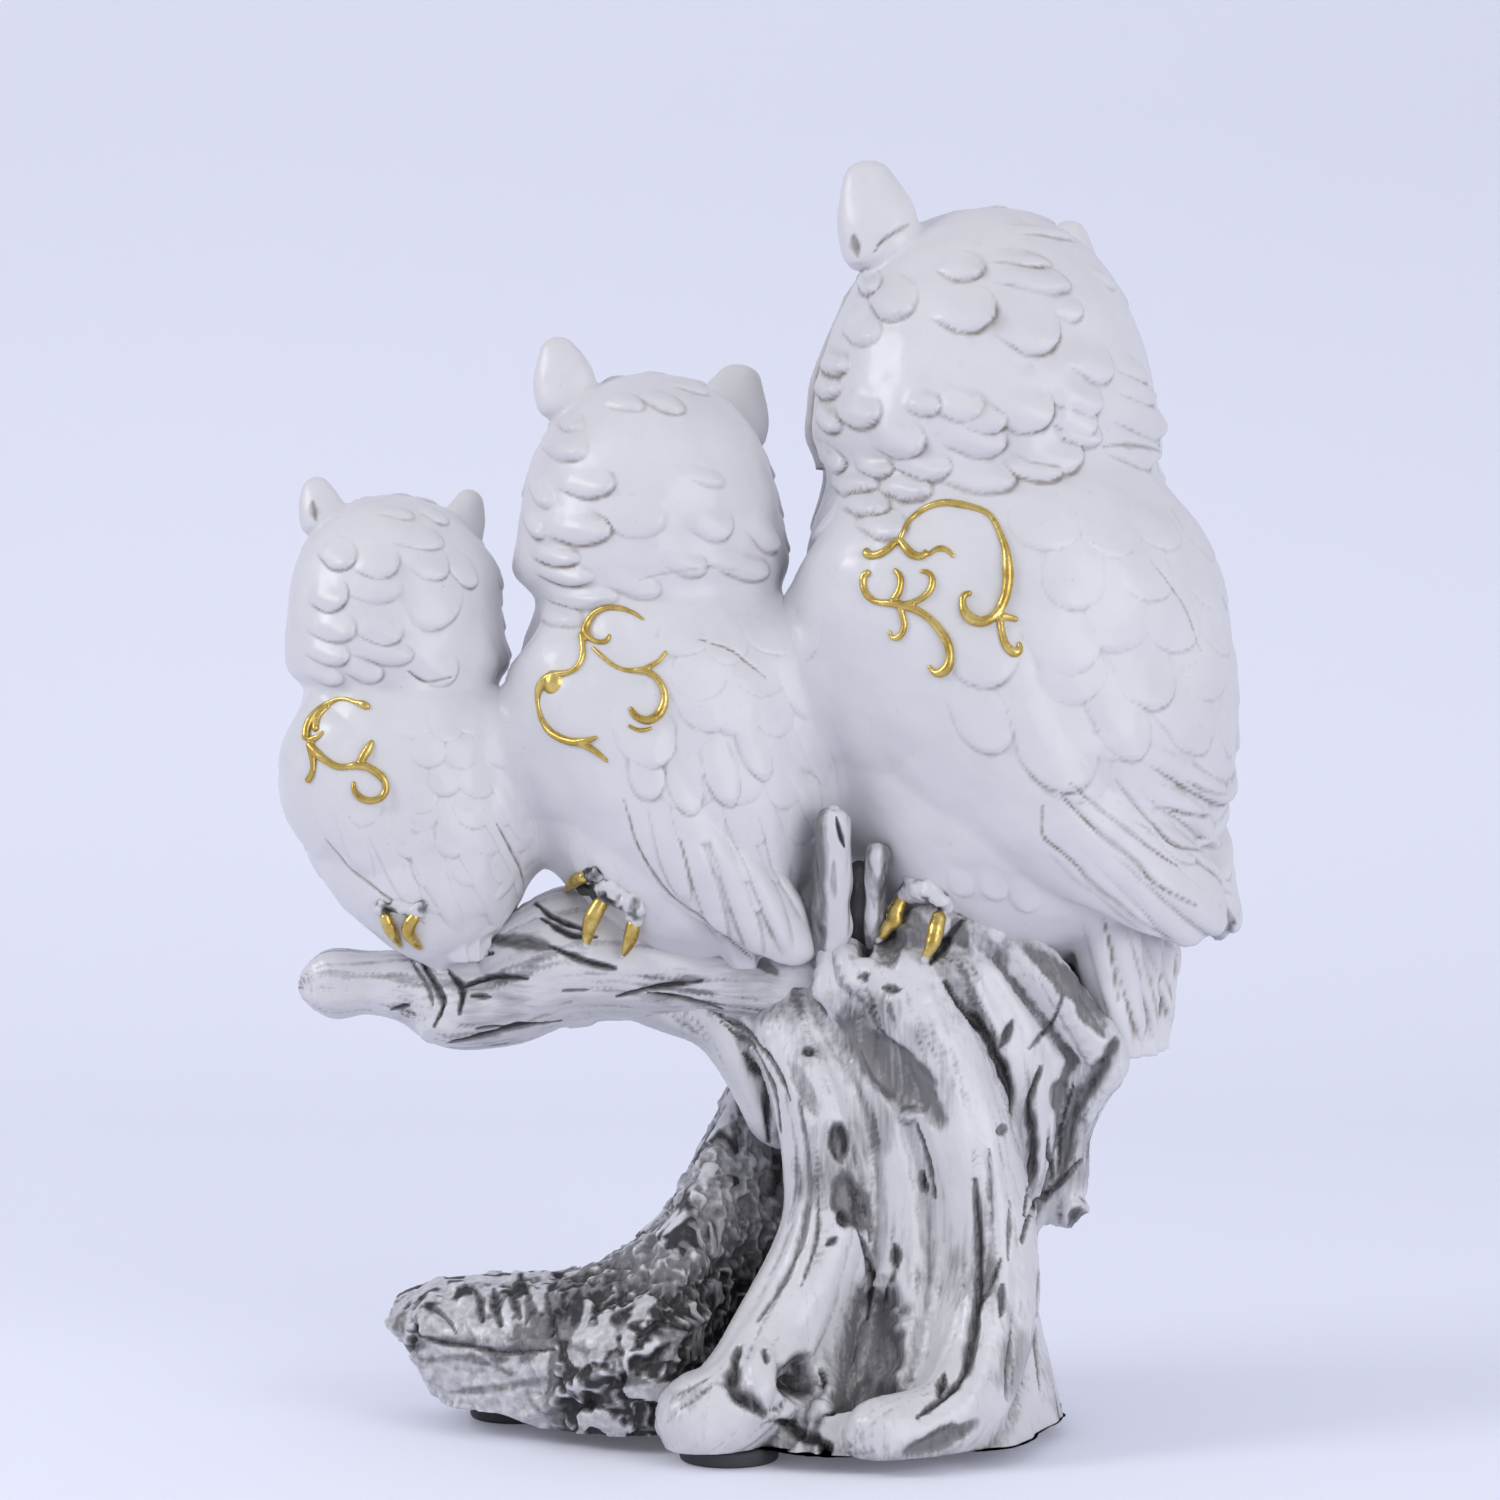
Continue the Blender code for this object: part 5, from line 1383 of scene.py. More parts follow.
def blend_into(form, plain, neighbour):
    """Moves the points near a neighbour outwards, so that the two forms meet in a smooth fillet."""
    low = neighbour.points.min(axis=0) - WEB_FILLET
    high = neighbour.points.max(axis=0) + WEB_FILLET
    inside = ((form.points > low) & (form.points < high)).all(axis=1)
    near = np.flatnonzero(inside)
    start, _ = gap_to(neighbour, form.points[near])
    kept = np.abs(start) < WEB_FILLET
    near, start = near[kept], start[kept]
    fade = ramp(start, *WEB_FADE)
    form.free[near] = np.minimum(form.free[near], ramp(start, *WEB_SMOOTH))
    moved = form.points[near].copy()
    for _ in range(WEB_ROUNDS):
        own, own_way = gap_to(plain, moved)
        other, other_way = gap_to(neighbour, moved)
        share = np.clip(0.5 + 0.5 * (other - own) / WEB_FILLET, 0.0, 1.0)
        field = other * (1 - share) + own * share - WEB_FILLET * share * (1 - share)
        slope = own_way * share[:, None] + other_way * (1 - share)[:, None]
        steep = np.clip((slope**2).sum(axis=1), WEB_SLOPE, None)
        moved = moved - slope * (np.clip(field, -WEB_STEP, WEB_STEP) / steep)[:, None]
    form.points[near] += (moved - form.points[near]) * fade[:, None]


# Feathers
@dataclass
class Feather:
    """One feather: its root and tip, the direction it faces, its half-width and its lift at the tip."""

    root: np.ndarray
    tip: np.ndarray
    normal: np.ndarray
    half: float
    lift: float


def shingled(form, feathers):
    """Height of overlapping feathers, each rising from its root and its upper edge to a rounded tip."""
    height = np.zeros(len(form.points))
    for feather in feathers:
        along = feather.tip - feather.root
        length = np.linalg.norm(along)
        along = along / length
        side = np.cross(feather.normal, along)
        side /= np.linalg.norm(side)
        reach = np.hypot(length / 2, feather.half) + FEATHER_EDGE
        offset = form.points - (feather.root + feather.tip) / 2
        near = np.flatnonzero((np.abs(offset) < reach).all(axis=1))
        offset = form.points[near] - feather.root
        s = offset @ along / length
        t = offset @ side / feather.half
        facing = form.normals[near] @ feather.normal > FEATHER_FACING
        broad = 1 - FEATHER_NARROW * np.clip(1 - s / FEATHER_BLUNT, 0, 1)
        blunt = np.hypot(np.clip((s - FEATHER_BLUNT) / (1 - FEATHER_BLUNT), 0, None), t / broad)
        edge = (1 - blunt) * min(feather.half, (1 - FEATHER_BLUNT) * length)
        rise = ramp(s, 0.0, FEATHER_RISEN) * (FEATHER_FLAT + (1 - FEATHER_FLAT) * s)
        rise = rise * (1 - FEATHER_CROWN * t * t)
        tilt = side @ UP
        upper = np.abs(tilt) * ramp(t * np.sign(tilt), *FEATHER_UPPER)
        value = feather.lift * rise * ramp(edge, 0.0, FEATHER_EDGE) * (1 - upper)
        value = np.where(facing & (s > 0), value, 0.0)
        height[near] = np.maximum(height[near], value)
    return height


def drawn_feather(form, root, tip, half, lift):
    """A feather on the near side, as the photograph shows it."""
    foot, _ = seen([form], root)
    end, normal = seen([form], tip)
    _, middle = seen([form], ((root[0] + tip[0]) / 2, (root[1] + tip[1]) / 2))
    normal = normal + 2 * middle
    return Feather(foot, end, normal / np.linalg.norm(normal), half * PIXEL, lift)


def drawn_feathers(owl, form):
    """The feathers of the near side of the head, of both wings and of the tail."""
    feathers = []
    for root, tip, half, lift in HEAD_FEATHERS[owl.name]:
        feathers.append(drawn_feather(form, root, tip, HEAD_BROADEN * half, HEAD_LIFT * lift))
    for row in FEATHERS[owl.name]:
        near = drawn_feather(form, *row)
        foot, end, out = mirrored(owl, [near.root, near.tip, near.root + near.normal])
        feathers += [near, Feather(foot, end, out - foot, near.half, near.lift)]
    return feathers


def laid_feather(form, start, way, flow, size, rng, wild=1.0):
    """A feather where a ray meets the form, lying along the flow, with sizes that vary a little."""
    found = met([form], start, way)
    if found is None:
        return None
    hit, normal = found
    flow = flow + rng.normal(0.0, FEATHER_STRAY * wild, 3)
    flow = flow - normal * np.dot(flow, normal)
    flow /= np.linalg.norm(flow)
    vary = FEATHER_VARY * wild
    length, half, lift = np.array(size) * rng.uniform(1 - vary, 1 + vary, 3)
    return Feather(hit - flow * length / 2, hit + flow * length / 2, normal, half, lift)


def staggered(row, around, stray, rng):
    """Angles of a row's feathers, each a little astray; every other row is half a column out."""
    for column in range(around):
        yield (column + 0.5 * (row % 2) + rng.uniform(-stray, stray)) * 2 * math.pi / around


def head_feathers(owl, form, rng):
    """Rows of feathers on the far side of the head, from the crown down to the neck, outside the face."""
    face = ahead_of(owl)
    centre = np.array((*owl.axis, owl.neck + HEAD_CENTRE * owl.head_tall))
    down, back = HEAD_FLOW
    flow = -down * UP - back * face
    size = np.array(HEAD_FEATHER) * owl.fine
    feathers = []
    rows = math.ceil(owl.head_tall * HEAD_ARC / (HEAD_ROW * owl.fine))
    for row, tilt in enumerate(np.linspace(*HEAD_TILTS, rows)):
        flat = math.sin(tilt)
        around = round(2 * math.pi * owl.head_half * flat / (HEAD_COLUMN * owl.fine))
        for turn in staggered(row, max(HEAD_FEWEST, around), HEAD_STRAY, rng):
            out = np.array((flat * math.cos(turn), flat * math.sin(turn), math.cos(tilt)))
            if math.acos(np.clip(out @ face, -1, 1)) >= FACE_CLEAR:
                feathers.append(laid_feather(form, centre + out * FAR, -out, flow, size, rng))
    return [feather for feather in feathers if feather and feather.normal[1] > NEAR_SIDE]


def ruff_feathers(owl, form, rng):
    """Rows of longer feathers that stand off round the far side of the neck."""
    flow = -UP - RUFF_BACK * ahead_of(owl)
    feathers = []
    for row in range(RUFF_ROWS):
        size = np.array(RUFF_FEATHER) * owl.fine * (1.0 - RUFF_SHRINK * row)
        for turn in staggered(row, RUFF_AROUND, RUFF_STRAY, rng):
            out = np.array((math.cos(turn), math.sin(turn), 0.0))
            x = out[0] * owl.head_half
            height = owl.neck + (RUFF_RISE - RUFF_DROP * row) * owl.fine + owl.ruff_slope * x
            start = np.array((*owl.axis, height)) + out * FAR
            feathers.append(laid_feather(form, start, -out, flow, size, rng, RUFF_WILD))
    return [feather for feather in feathers if feather and feather.normal[1] > NEAR_SIDE]


def body_feathers(owl, form, rng):
    """Faint rows of feathers down the breast and the back."""
    feathers = []
    size = np.array(BODY_FEATHER) * owl.fine
    step = BREAST_STEP * owl.fine
    for row in range(int(owl.body_tall * BREAST_COVER / step)):
        height = owl.neck - BREAST_START * owl.fine - row * step
        for angle in staggered(row, BREAST_AROUND, BREAST_STRAY, rng):
            if abs(math.sin(angle)) < BREAST_FLANK:
                continue
            out = turned(np.array((math.cos(angle), math.sin(angle), 0.0)), owl.body_turn)
            start = np.array((*owl.axis, height)) + out * FAR
            feathers.append(laid_feather(form, start, -out, -UP - BREAST_LEAN * out, size, rng))
    return [feather for feather in feathers if feather]


def face_relief(owl, form):
    """Height and wash of the face: a raised rim, a groove behind it, rays round the eyes and a brow."""
    local = local_to(owl, form.points, owl.head_turn)
    across, deep, height = local[:, 0], local[:, 1], local[:, 2] - owl.neck
    half, tall = owl.head_half, owl.head_tall
    reach = np.linalg.norm(np.stack([across, deep, height - FACE_LEVEL * tall], axis=1), axis=1)
    angle = np.arccos(np.clip(deep / reach, -1, 1))
    inside = angle < RIM_ANGLE
    low, high = FACE_HEIGHTS
    on_head = (height > low * tall) & (height < high * tall) & (reach < FACE_REACH * half)
    rim = np.exp(-(((angle - RIM_ANGLE) / RIM_HALF) ** 2))
    groove = np.exp(-(((angle - RIM_ANGLE - GROOVE_OFF) / GROOVE_HALF) ** 2))
    beside = np.abs(across) - EYE_APART * half
    above = height - EYE_LEVEL * tall
    eye_gap = np.hypot(beside, above) / half
    rays = np.cos(RAY_COUNT * np.arctan2(above, beside))
    rays = rays * ramp(eye_gap, *RAY_START) * (1 - ramp(eye_gap, *RAY_END)) * inside
    brow_line = np.abs(height / tall - BROW_LEVEL - BROW_SLOPE * np.abs(across) / half)
    brow = np.exp(-((brow_line / BROW_HALF) ** 2)) * inside * ramp(height / tall, *BROW_START)
    relief = RIM_TALL * rim - GROOVE_DEEP * groove + RAY_TALL * rays + BROW_TALL * brow
    relief = relief * owl.fine
    wash = GROOVE_WASH * groove + RIM_WASH * rim * (angle > RIM_ANGLE) - RAY_WASH * rays
    return np.where(on_head, relief, 0.0), np.where(on_head, np.clip(wash, 0, None), 0.0)


def along_ear(owl, form, side):
    """How far each point lies along an ear tuft from its foot to its tip, and how far from the axis."""
    foot, _, tip = ear_path(owl, side)
    axis = tip - foot
    share = (form.points - foot) @ axis / (axis @ axis)
    return share, np.linalg.norm(form.points - foot - share[:, None] * axis, axis=1) / owl.head_half


def on_ears(owl, form):
    """How much each point belongs to an ear tuft, from 0 to 1."""
    most = np.zeros(len(form.points))
    for side in (-1, 1):
        share, gap = along_ear(owl, form, side)
        most = np.maximum(most, ramp(share, *EAR_START) * (1 - ramp(gap, *EAR_SIDES)))
    return most


def ear_relief(owl, form):
    """Height and wash of the hollow in the front of each ear tuft, and of the strands on its back."""
    forward = form.normals @ ahead_of(owl)
    relief = np.zeros(len(form.points))
    for side in (-1, 1):
        share, gap = along_ear(owl, form, side)
        hollow = (1 - ramp(gap, *EAR_HOLLOW)) * ramp(share, *EAR_HOLLOW_START)
        relief += hollow * (1 - ramp(share, *EAR_HOLLOW_END)) * ramp(forward, *EAR_FRONT)
    strands = noise(form.points * EAR_STRAND_STRETCH, EAR_STRAND_SIZE * owl.fine, SEED + 2)
    strands = on_ears(owl, form) * strands
    height = owl.fine * (EAR_STRAND_TALL * strands - EAR_HOLLOW_DEEP * relief)
    return height, EAR_HOLLOW_WASH * relief


def feathered(owl, form, rng):
    """Carves an owl's feathers and face, and washes what lies deep."""
    feathers = head_feathers(owl, form, rng) + ruff_feathers(owl, form, rng)
    feathers += drawn_feathers(owl, form)
    height = shingled(form, feathers) * (1 - on_ears(owl, form))
    faint = shingled(form, body_feathers(owl, form, rng))
    height = np.maximum(height, faint)
    face, face_wash = face_relief(owl, form)
    ears, ear_wash = ear_relief(owl, form)
    soft = SWELL_TALL * owl.fine * noise(form.points, SWELL_SIZE * owl.fine)
    soft += DIMPLE_TALL * layered(form.points, DIMPLE_SIZE, 2)
    lines, line_wash = cracked(form, OWL_CREASES[owl.name])
    height = (height + face + ears + soft - lines) * form.free
    deep = form.crevices(height, CREASE_ROUNDS)
    worn = WEAR_MEAN + WEAR_SWING * noise(form.points, WEAR_SIZE)
    form.wash = np.clip(CREASE_WASH * deep * worn / owl.fine + face_wash + ear_wash, 0.0, 1.0)
    form.wash = np.maximum(form.wash, line_wash) * form.free
    form.carve(height)


# Wood
def strand_path(places):
    """Points that a strand's centre passes."""
    return np.array(places) * (1.0, 1.0, STUMP_TOP)


def stump_lofts(sides=140, steps=90):
    """The twisted stump with its strands."""
    rows = np.array(STUMP_ROWS)
    shares = np.linspace(0.0, 1.0, steps)
    x, y = oval(STUMP_SQUARENESS, sides)
    turn = round_angles(sides)
    rings = []
    for share, (left, right, near, far) in zip(shares, curve_at(rows[:, 0], rows[:, 1:], shares)):
        flute = 1 + STUMP_FLUTE_DEPTH * np.cos(STUMP_FLUTES * turn + STUMP_TWIST * 2 * math.pi * share)
        across = (left + right) / 2 + flute * x * (right - left) / 2
        deep = (near + far) / 2 + flute * y * (far - near) / 2
        rings.append(np.stack([across, deep, np.full(sides, share * STUMP_TOP)], axis=1))
    lofts = [np.array(rings)]
    for places, radii in STRANDS.values():
        lofts.append(tube_rings(strand_path(places), radii, 36, 70))
    return lofts


def branch_path():
    """The branch's centre line, and its half-heights and half-depths."""
    rows = np.array(BRANCH_ROWS)
    return rows[:, :3] * (1.0, 1.0, -1.0) + (0.0, 0.0, STUMP_TOP), rows[:, 3:]


def bark_loft(sides=90, steps=120):
    """The bark log."""
    rows = np.array(BARK_ROWS)
    places = np.linspace(rows[0, 0], rows[-1, 0], steps)
    a, b = oval(BARK_SQUARENESS, sides)
    rings = []
    for place, (middle, half, low, high) in zip(places, curve_at(rows[:, 0], rows[:, 1:], places)):
        tall = (low + high) / 2 + b * (high - low) / 2
        rings.append(np.stack([np.full(sides, place), middle + a * half, tall], axis=1))
    return np.array(rings)


def flow_along(form, guides, rest):
    """Direction of the grain at each point: along the guides near them, and along rest elsewhere."""
    flow = np.tile(np.asarray(rest, float) * GENERAL_WAY, (len(form.points), 1))
    for path, radius in guides:
        line = along_curve(path, GUIDE_STEP)
        ways = unit_rows(np.gradient(line, axis=0))
        gaps = np.linalg.norm(form.points[:, None] - line[None], axis=2)
        nearest = gaps.argmin(axis=1)
        weight = np.exp(-((gaps.min(axis=1) / (GUIDE_REACH * radius)) ** 2))
        flow += ways[nearest] * weight[:, None]
    flow -= form.normals * (flow * form.normals).sum(axis=1)[:, None]
    return flow / np.clip(np.linalg.norm(flow, axis=1), 0.05, None)[:, None]


def strand_reach(form, name):
    """Distance of each point from the centre of a strand, in the strand's radii."""
    places, radii = STRANDS[name]
    path = strand_path(places)
    line = along_curve(path, STRAND_STEP)
    keys = lengths_along(path)
    sizes = curve_at(keys, radii, np.linspace(0.0, keys[-1], len(line)))[:, 0]
    return (np.linalg.norm(form.points[:, None] - line[None], axis=2) / sizes).min(axis=1)


def grained(form, flow, size, stride, steps, seed):
    """Noise drawn out into streaks along the flow, with a spread of about 1."""
    tree = KDTree(len(form.points))
    for i, point in enumerate(form.points):
        tree.insert(point, i)
    tree.balance()
    ahead = np.array([tree.find(point)[1] for point in form.points + flow * stride])
    behind = np.array([tree.find(point)[1] for point in form.points - flow * stride])
    value = noise(form.points, size, seed)
    total = value.copy()
    one = two = np.arange(len(value))
    for _ in range(steps):
        one, two = ahead[one], behind[two]
        total += value[one] + value[two]
    return total / total.std()


def cracked(form, cracks, behind=None):
    """Depth and wash of cracks that are drawn on the form along lines of sight."""
    depth = np.zeros(len(form.points))
    wash = np.zeros(len(form.points))
    for pixels, half, deep, dark in cracks:
        places = [met([form], *sight(pixel, behind)) for pixel in along_curve(pixels, CRACK_STEP)]
        line = np.array([place[0] for place in places if place is not None])
        if len(line) < 2:
            continue
        width = half * PIXEL
        reach = CRACK_REACH * width
        near = (form.points > line.min(axis=0) - reach) & (form.points < line.max(axis=0) + reach)
        near = np.flatnonzero(near.all(axis=1))
        gaps = np.full(len(near), FAR)
        share = np.zeros(len(near))
        for n, (start, end) in enumerate(zip(line, line[1:])):
            run = end - start
            t = np.clip((form.points[near] - start) @ run / max(run @ run, 1e-6), 0.0, 1.0)
            gap = np.linalg.norm(form.points[near] - start - t[:, None] * run, axis=1)
            nearer = gap < gaps
            gaps = np.where(nearer, gap, gaps)
            share = np.where(nearer, (n + t) / (len(line) - 1), share)
        bow = np.sin(math.pi * np.clip(share, 0.02, 0.98)) ** CRACK_BOW
        taper = CRACK_ENDS + (1 - CRACK_ENDS) * bow
        ragged = 1 + CRACK_RAGGED * noise(form.points[near], CRACK_RAGGED_SIZE)
        inner = gaps / (width * taper * ragged)
        cut = np.exp(-(inner**2)) - CRACK_LIP * np.exp(-((inner - CRACK_LIP_AT) ** 2) * CRACK_LIP_THIN)
        depth[near] = np.maximum(depth[near], deep * taper * cut)
        stain = np.clip(CRACK_WASH * np.exp(-((inner / CRACK_WASH_HALF) ** 2)), 0, 1)
        wash[near] = np.maximum(wash[near], dark * stain)
    return depth, wash


def dented(form, dents, behind=None):
    """Depth and wash of oval hollows, or of knobs where the depth is negative, along lines of sight."""
    depth = np.zeros(len(form.points))
    wash = np.zeros(len(form.points))
    for pixel, long, wide, tilt, deep, dark in dents:
        found = met([form], *sight(pixel, behind))
        if found is None:
            continue
        hit, _ = found
        offset = form.points - hit
        flip = 1.0 if behind is None else -1.0
        angle = math.radians(tilt)
        right, up = offset[:, 0] * flip / PIXEL, offset[:, 2] / PIXEL
        s = (right * math.cos(angle) - up * math.sin(angle)) / long
        t = (right * math.sin(angle) + up * math.cos(angle)) / wide
        ragged = 1.0
        for size, depth_share in HOLLOW_RAGGED:
            ragged = ragged + depth_share * noise(form.points, size)
        reach = np.hypot(s, t) * ragged
        beside = np.abs(offset[:, 1]) < max(long, wide) * PIXEL + HOLLOW_BEHIND
        facing = form.normals[:, 1] * flip < HOLLOW_FACING
        depth += deep * (1 - ramp(reach, *HOLLOW_SIDES)) * beside * facing
        wash = np.maximum(wash, dark * (1 - ramp(reach, *HOLLOW_WASH)) * beside * facing)
    return depth, wash


def knobs_as_dents(knobs):
    """Knobs, as hollows of negative depth without wash."""
    return [(pixel, long, wide, tilt, -tall, 0.0) for pixel, long, wide, tilt, tall in knobs]


def broken_up(streaks, share):
    """What the grain leaves of a wash: all of it where the streaks are high, and less where they are low."""
    return 1 - share + share * np.clip(streaks, -1, 1)


def weathered(form, flow, cracks, hollows, knobs, mirror, smears, seed):
    """Carves driftwood: grain, cracks, hollows and knobs, with a dark wash in what lies deep."""
    streaks = grained(form, flow, *FINE_GRAIN, seed)
    broad = grained(form, flow, *BROAD_GRAIN, seed + 1)
    height = FINE_TALL * np.clip(streaks, *GRAIN_LIMITS) + BROAD_TALL * np.clip(broad, *GRAIN_LIMITS)
    valleys = VALLEY_WASH * ramp(form.valleys(VALLEY_ROUNDS), *VALLEY_DEPTHS)
    wash = np.maximum(valleys, form.wash) * broken_up(streaks, VALLEY_BREAK)
    for behind in (None, mirror):
        deep, dark = cracked(form, cracks, behind)
        height -= deep
        wash = np.maximum(wash, dark)
        deep, dark = dented(form, list(hollows) + knobs_as_dents(knobs), behind)
        height -= deep
        wash = np.maximum(wash, dark * broken_up(streaks, HOLLOW_BREAK))
    smear = ramp(layered(form.points, SMEAR_SIZE, 3, seed), *SMEAR_EDGE)
    fine = ramp(-streaks, *STREAK_EDGE)
    smear = smears * smear * (1 - STREAK_SHARE + STREAK_SHARE * fine)
    wash = np.maximum(wash, smear + STREAK_WASH * fine + LEAST_WASH)
    crevices = ramp(form.crevices(height, CREVICE_ROUNDS), *CREVICE_DEPTHS)
    wash = np.maximum(wash, CREVICE_WASH * crevices)
    form.wash = np.clip(wash, 0.0, 1.0)
    form.raised(height)
    form.points[:, 2] = np.maximum(form.points[:, 2], WOOD_BOTTOM)
    form.refresh()


def stump_form():
    """The finished stump."""
    form = melted(stump_lofts(), STUMP_VOXEL, 8)
    guides = [(strand_path(places), max(radii)) for places, radii in STRANDS.values()]
    flow = flow_along(form, guides, -UP)
    deep, dark = dented(form, STUMP_RECESSES)
    folds = np.zeros(len(form.points))
    for name in FOLDED_STRANDS:
        reach = strand_reach(form, name)
        folds = np.maximum(folds, np.exp(-(((reach - FOLD_REACH) / FOLD_HALF) ** 2)))
        spared = ramp(reach, *SPARED)
        deep, dark = deep * spared, dark * spared
    form.wash = np.maximum(dark, FOLD_WASH * folds)
    form.carve(-deep - FOLD_DEPTH * folds)
    weathered(form, flow, STUMP_CRACKS, STUMP_HOLLOWS, STUMP_KNOBS, STUMP_MIRROR, STUMP_SMEARS, SEED)
    return form


def branch_form():
    """The finished branch."""
    path, halves = branch_path()
    form = melted([tube_rings(path, halves, 60, 160)], BRANCH_VOXEL, 3)
    flow = flow_along(form, [(path, BRANCH_GUIDE)], (-1.0, 0.0, 0.0))
    marks = (BRANCH_CRACKS, BRANCH_HOLLOWS, BRANCH_KNOBS)
    weathered(form, flow, *marks, BRANCH_MIRROR, BRANCH_SMEARS, SEED + 5)
    return form


def bark_streaks(form):
    """Streaks of wash on worn bark: along the log, and down it on its upper part."""
    z = form.points[:, 2]
    upper = ramp(z, *BARK_UPPER)
    along, down = [
        ramp(layered(form.points * stretch, size, 3, SEED + 6), *edge) for stretch, size, edge in BARK_STREAKS
    ]
    least, more = BARK_DOWN_WASH
    return BARK_ALONG_WASH * along * (1 - upper) + down * upper * (least + more * ramp(z, *BARK_DOWN_RISE))


def bark_form():
    """The finished bark log: dark crumbling bark with pale chips, a ridge and a smoother end."""
    form = melted([bark_loft()], BARK_VOXEL, 3)
    x, _, z = form.points.T
    lobes = ramp(-x, *BARK_END)
    tip = ramp(-x, *BARK_TIP)
    high_up = ramp(z, *BARK_HIGH)
    swirl = np.stack([noise(form.points, BARK_SWIRL_SIZE, SEED + n) for n in range(3)], axis=1)
    bent = form.points + BARK_SWIRL * swirl
    lumps = layered(bent, BARK_LUMP_SIZE, 3, SEED + 4)
    grit = BARK_GRIT_LEVEL - BARK_GRIT_STEEP * np.abs(layered(bent, BARK_GRIT_SIZE, 2, SEED + 8))
    chips = layered(form.points, BARK_CHIP_SIZE, 3, SEED + 14) + BARK_HIGH_CHIPS * high_up
    chips = ramp(chips, *BARK_CHIP_EDGE)
    smooth = BARK_SMOOTH * np.maximum(lobes * ramp(lumps, *BARK_WORN), chips)
    rough = 1 - BARK_WORN_OFF * smooth
    height = rough * (BARK_LUMP_TALL * lumps + BARK_GRIT_TALL * grit)
    height += BARK_CHIP_TALL * chips + BARK_LOBE_TALL * lobes * lumps
    swell = BARK_SWELL_TALL * (1 - BARK_TIP_EVEN * tip)
    height += swell * noise(form.points, BARK_SWELL_SIZE, SEED + 2)
    height += BARK_TIP_TALL * tip * noise(bent, BARK_TIP_SIZE, SEED + 12)
    ridge, _ = cracked(form, BARK_RIDGES)
    split, split_wash = cracked(form, BARK_CRACKS)
    height += ridge - split
    high = height - form.spread(height, BARK_DARK_ROUNDS) + BARK_DARK_GRIT * grit
    # Painted light: the highest bark keeps less of its dark, partly for its pale chips and partly to lighten
    # the shade there.
    dark = (1 - ramp(high, *BARK_DARK)) * (1 - BARK_HIGH_PALE_AND_LIT * high_up)
    wash = rough * dark + smooth * (BARK_WORN_WASH + bark_streaks(form))
    form.wash = np.clip(np.maximum(wash, split_wash), 0.0, 1.0)
    form.raised(height)
    x, y, _ = form.points.T
    lift = BARK_LIFT * ramp(-x, *BARK_LIFT_LEFT) * ramp(-y, *BARK_LIFT_NEAR)
    form.points[:, 2] = np.maximum(form.points[:, 2], WOOD_BOTTOM + lift)
    form.refresh()
    return form


def stub_form(rows, shadow_web, dark_side):
    """A broken twig with soft lumps, a worn end, a split, painted shade on one side, and perhaps a dark strip
    of painted shadow that joins it to its neighbour.
    """
    lofts = []
    for line in (rows, shadow_web):
        line = np.array(line)
        if len(line):
            lofts.append(tube_rings(line[:, :3] + (0.0, 0.0, STUMP_TOP), line[:, 3], 40, 60))
    form = melted(lofts, STUB_VOXEL, 3)
    streaks = layered(form.points * STUB_STRETCH, STUB_STREAK_SIZE, 2, SEED + 1)
    top = STUMP_TOP + rows[-1][2]
    ends = ramp(form.points[:, 2], top - STUB_END, top)
    height = STUB_LUMP_TALL * noise(form.points, STUB_LUMP_SIZE, SEED + 9) + STUB_STREAK_TALL * streaks
    height += STUB_WORN_TALL * ends * noise(form.points, STUB_WORN_SIZE)
    deep, wash = cracked(form, STUB_CRACKS)
    # Painted shade: the side that faces one way is darkened, broken up by the streaks.
    shaded = ramp(form.normals[:, 0] * dark_side, *STUB_SIDE) * broken_up(streaks, STUB_BREAK)
    wash = np.maximum(wash, STUB_PAINTED_SIDE_SHADE * shaded + STUB_STREAK_WASH * ramp(-streaks, *STUB_STREAK_EDGE))
    # Painted shadow: around the strip between the twigs the surface is painted fully dark.
    places = along_curve(shadow_web, STUB_SHADOW_WEB_STEP) if shadow_web else ()
    for x, y, rise, radius in places:
        gap = np.linalg.norm(form.points - (x, y, STUMP_TOP + rise), axis=1)
        wash = np.maximum(wash, 1 - ramp(gap / radius, *STUB_SHADOW_WEB_EDGE))
    form.wash = np.clip(wash, 0.0, 1.0)
    form.carve(height - deep)
    return form


# Feet, eyes, beaks and scrolls
def on_side(forms, pixel, side):
    """The point of several forms that shows at a pixel, or the one across from it on the far side."""
    hit, _ = seen(forms, pixel)
    if side > 0:
        start = np.array((hit[0], FAR, hit[2]))
        found = met(forms, start, (0.0, -1.0, 0.0))
        hit = hit if found is None else found[0]
    return hit


def gilded(form, tall, size, patch):
    """Dents a gilt piece a little, and notes where its paint is thick."""
    form.carve(tall * noise(form.points, size))
    form.paint = noise(form.points, patch)
    return form


def claw_form(forms, pixels, radius, side):
    """One curved claw that arches over the wood from root to tip, its tip left white."""
    path = np.array([on_side(forms, pixel, side) for pixel in along_curve(pixels, CLAW_STEP)])
    share = np.linspace(0.0, 1.0, len(path))
    straight = (1 - share) * path[0, 1] + share * path[-1, 1]
    arch = np.sin(math.pi * share)
    over = np.clip((side * (path[:, 1] - straight)).max(), 0.0, CLAW_ARCH)
    path[:, 1] = straight + side * (over * arch + radius * (CLAW_OUT + CLAW_BULGE * arch))
    radii = curve_at(CLAW_SHARES, CLAW_RADII, share)[:, 0] * radius
    form = melted([tube_rings(path, radii, 24, 40)], CLAW_VOXEL, 2)
    line = path[-1] - path[0]
    form.wash = ramp((form.points - path[0]) @ line / (line @ line), *CLAW_BARE)
    return gilded(form, *CLAW_DENTS)


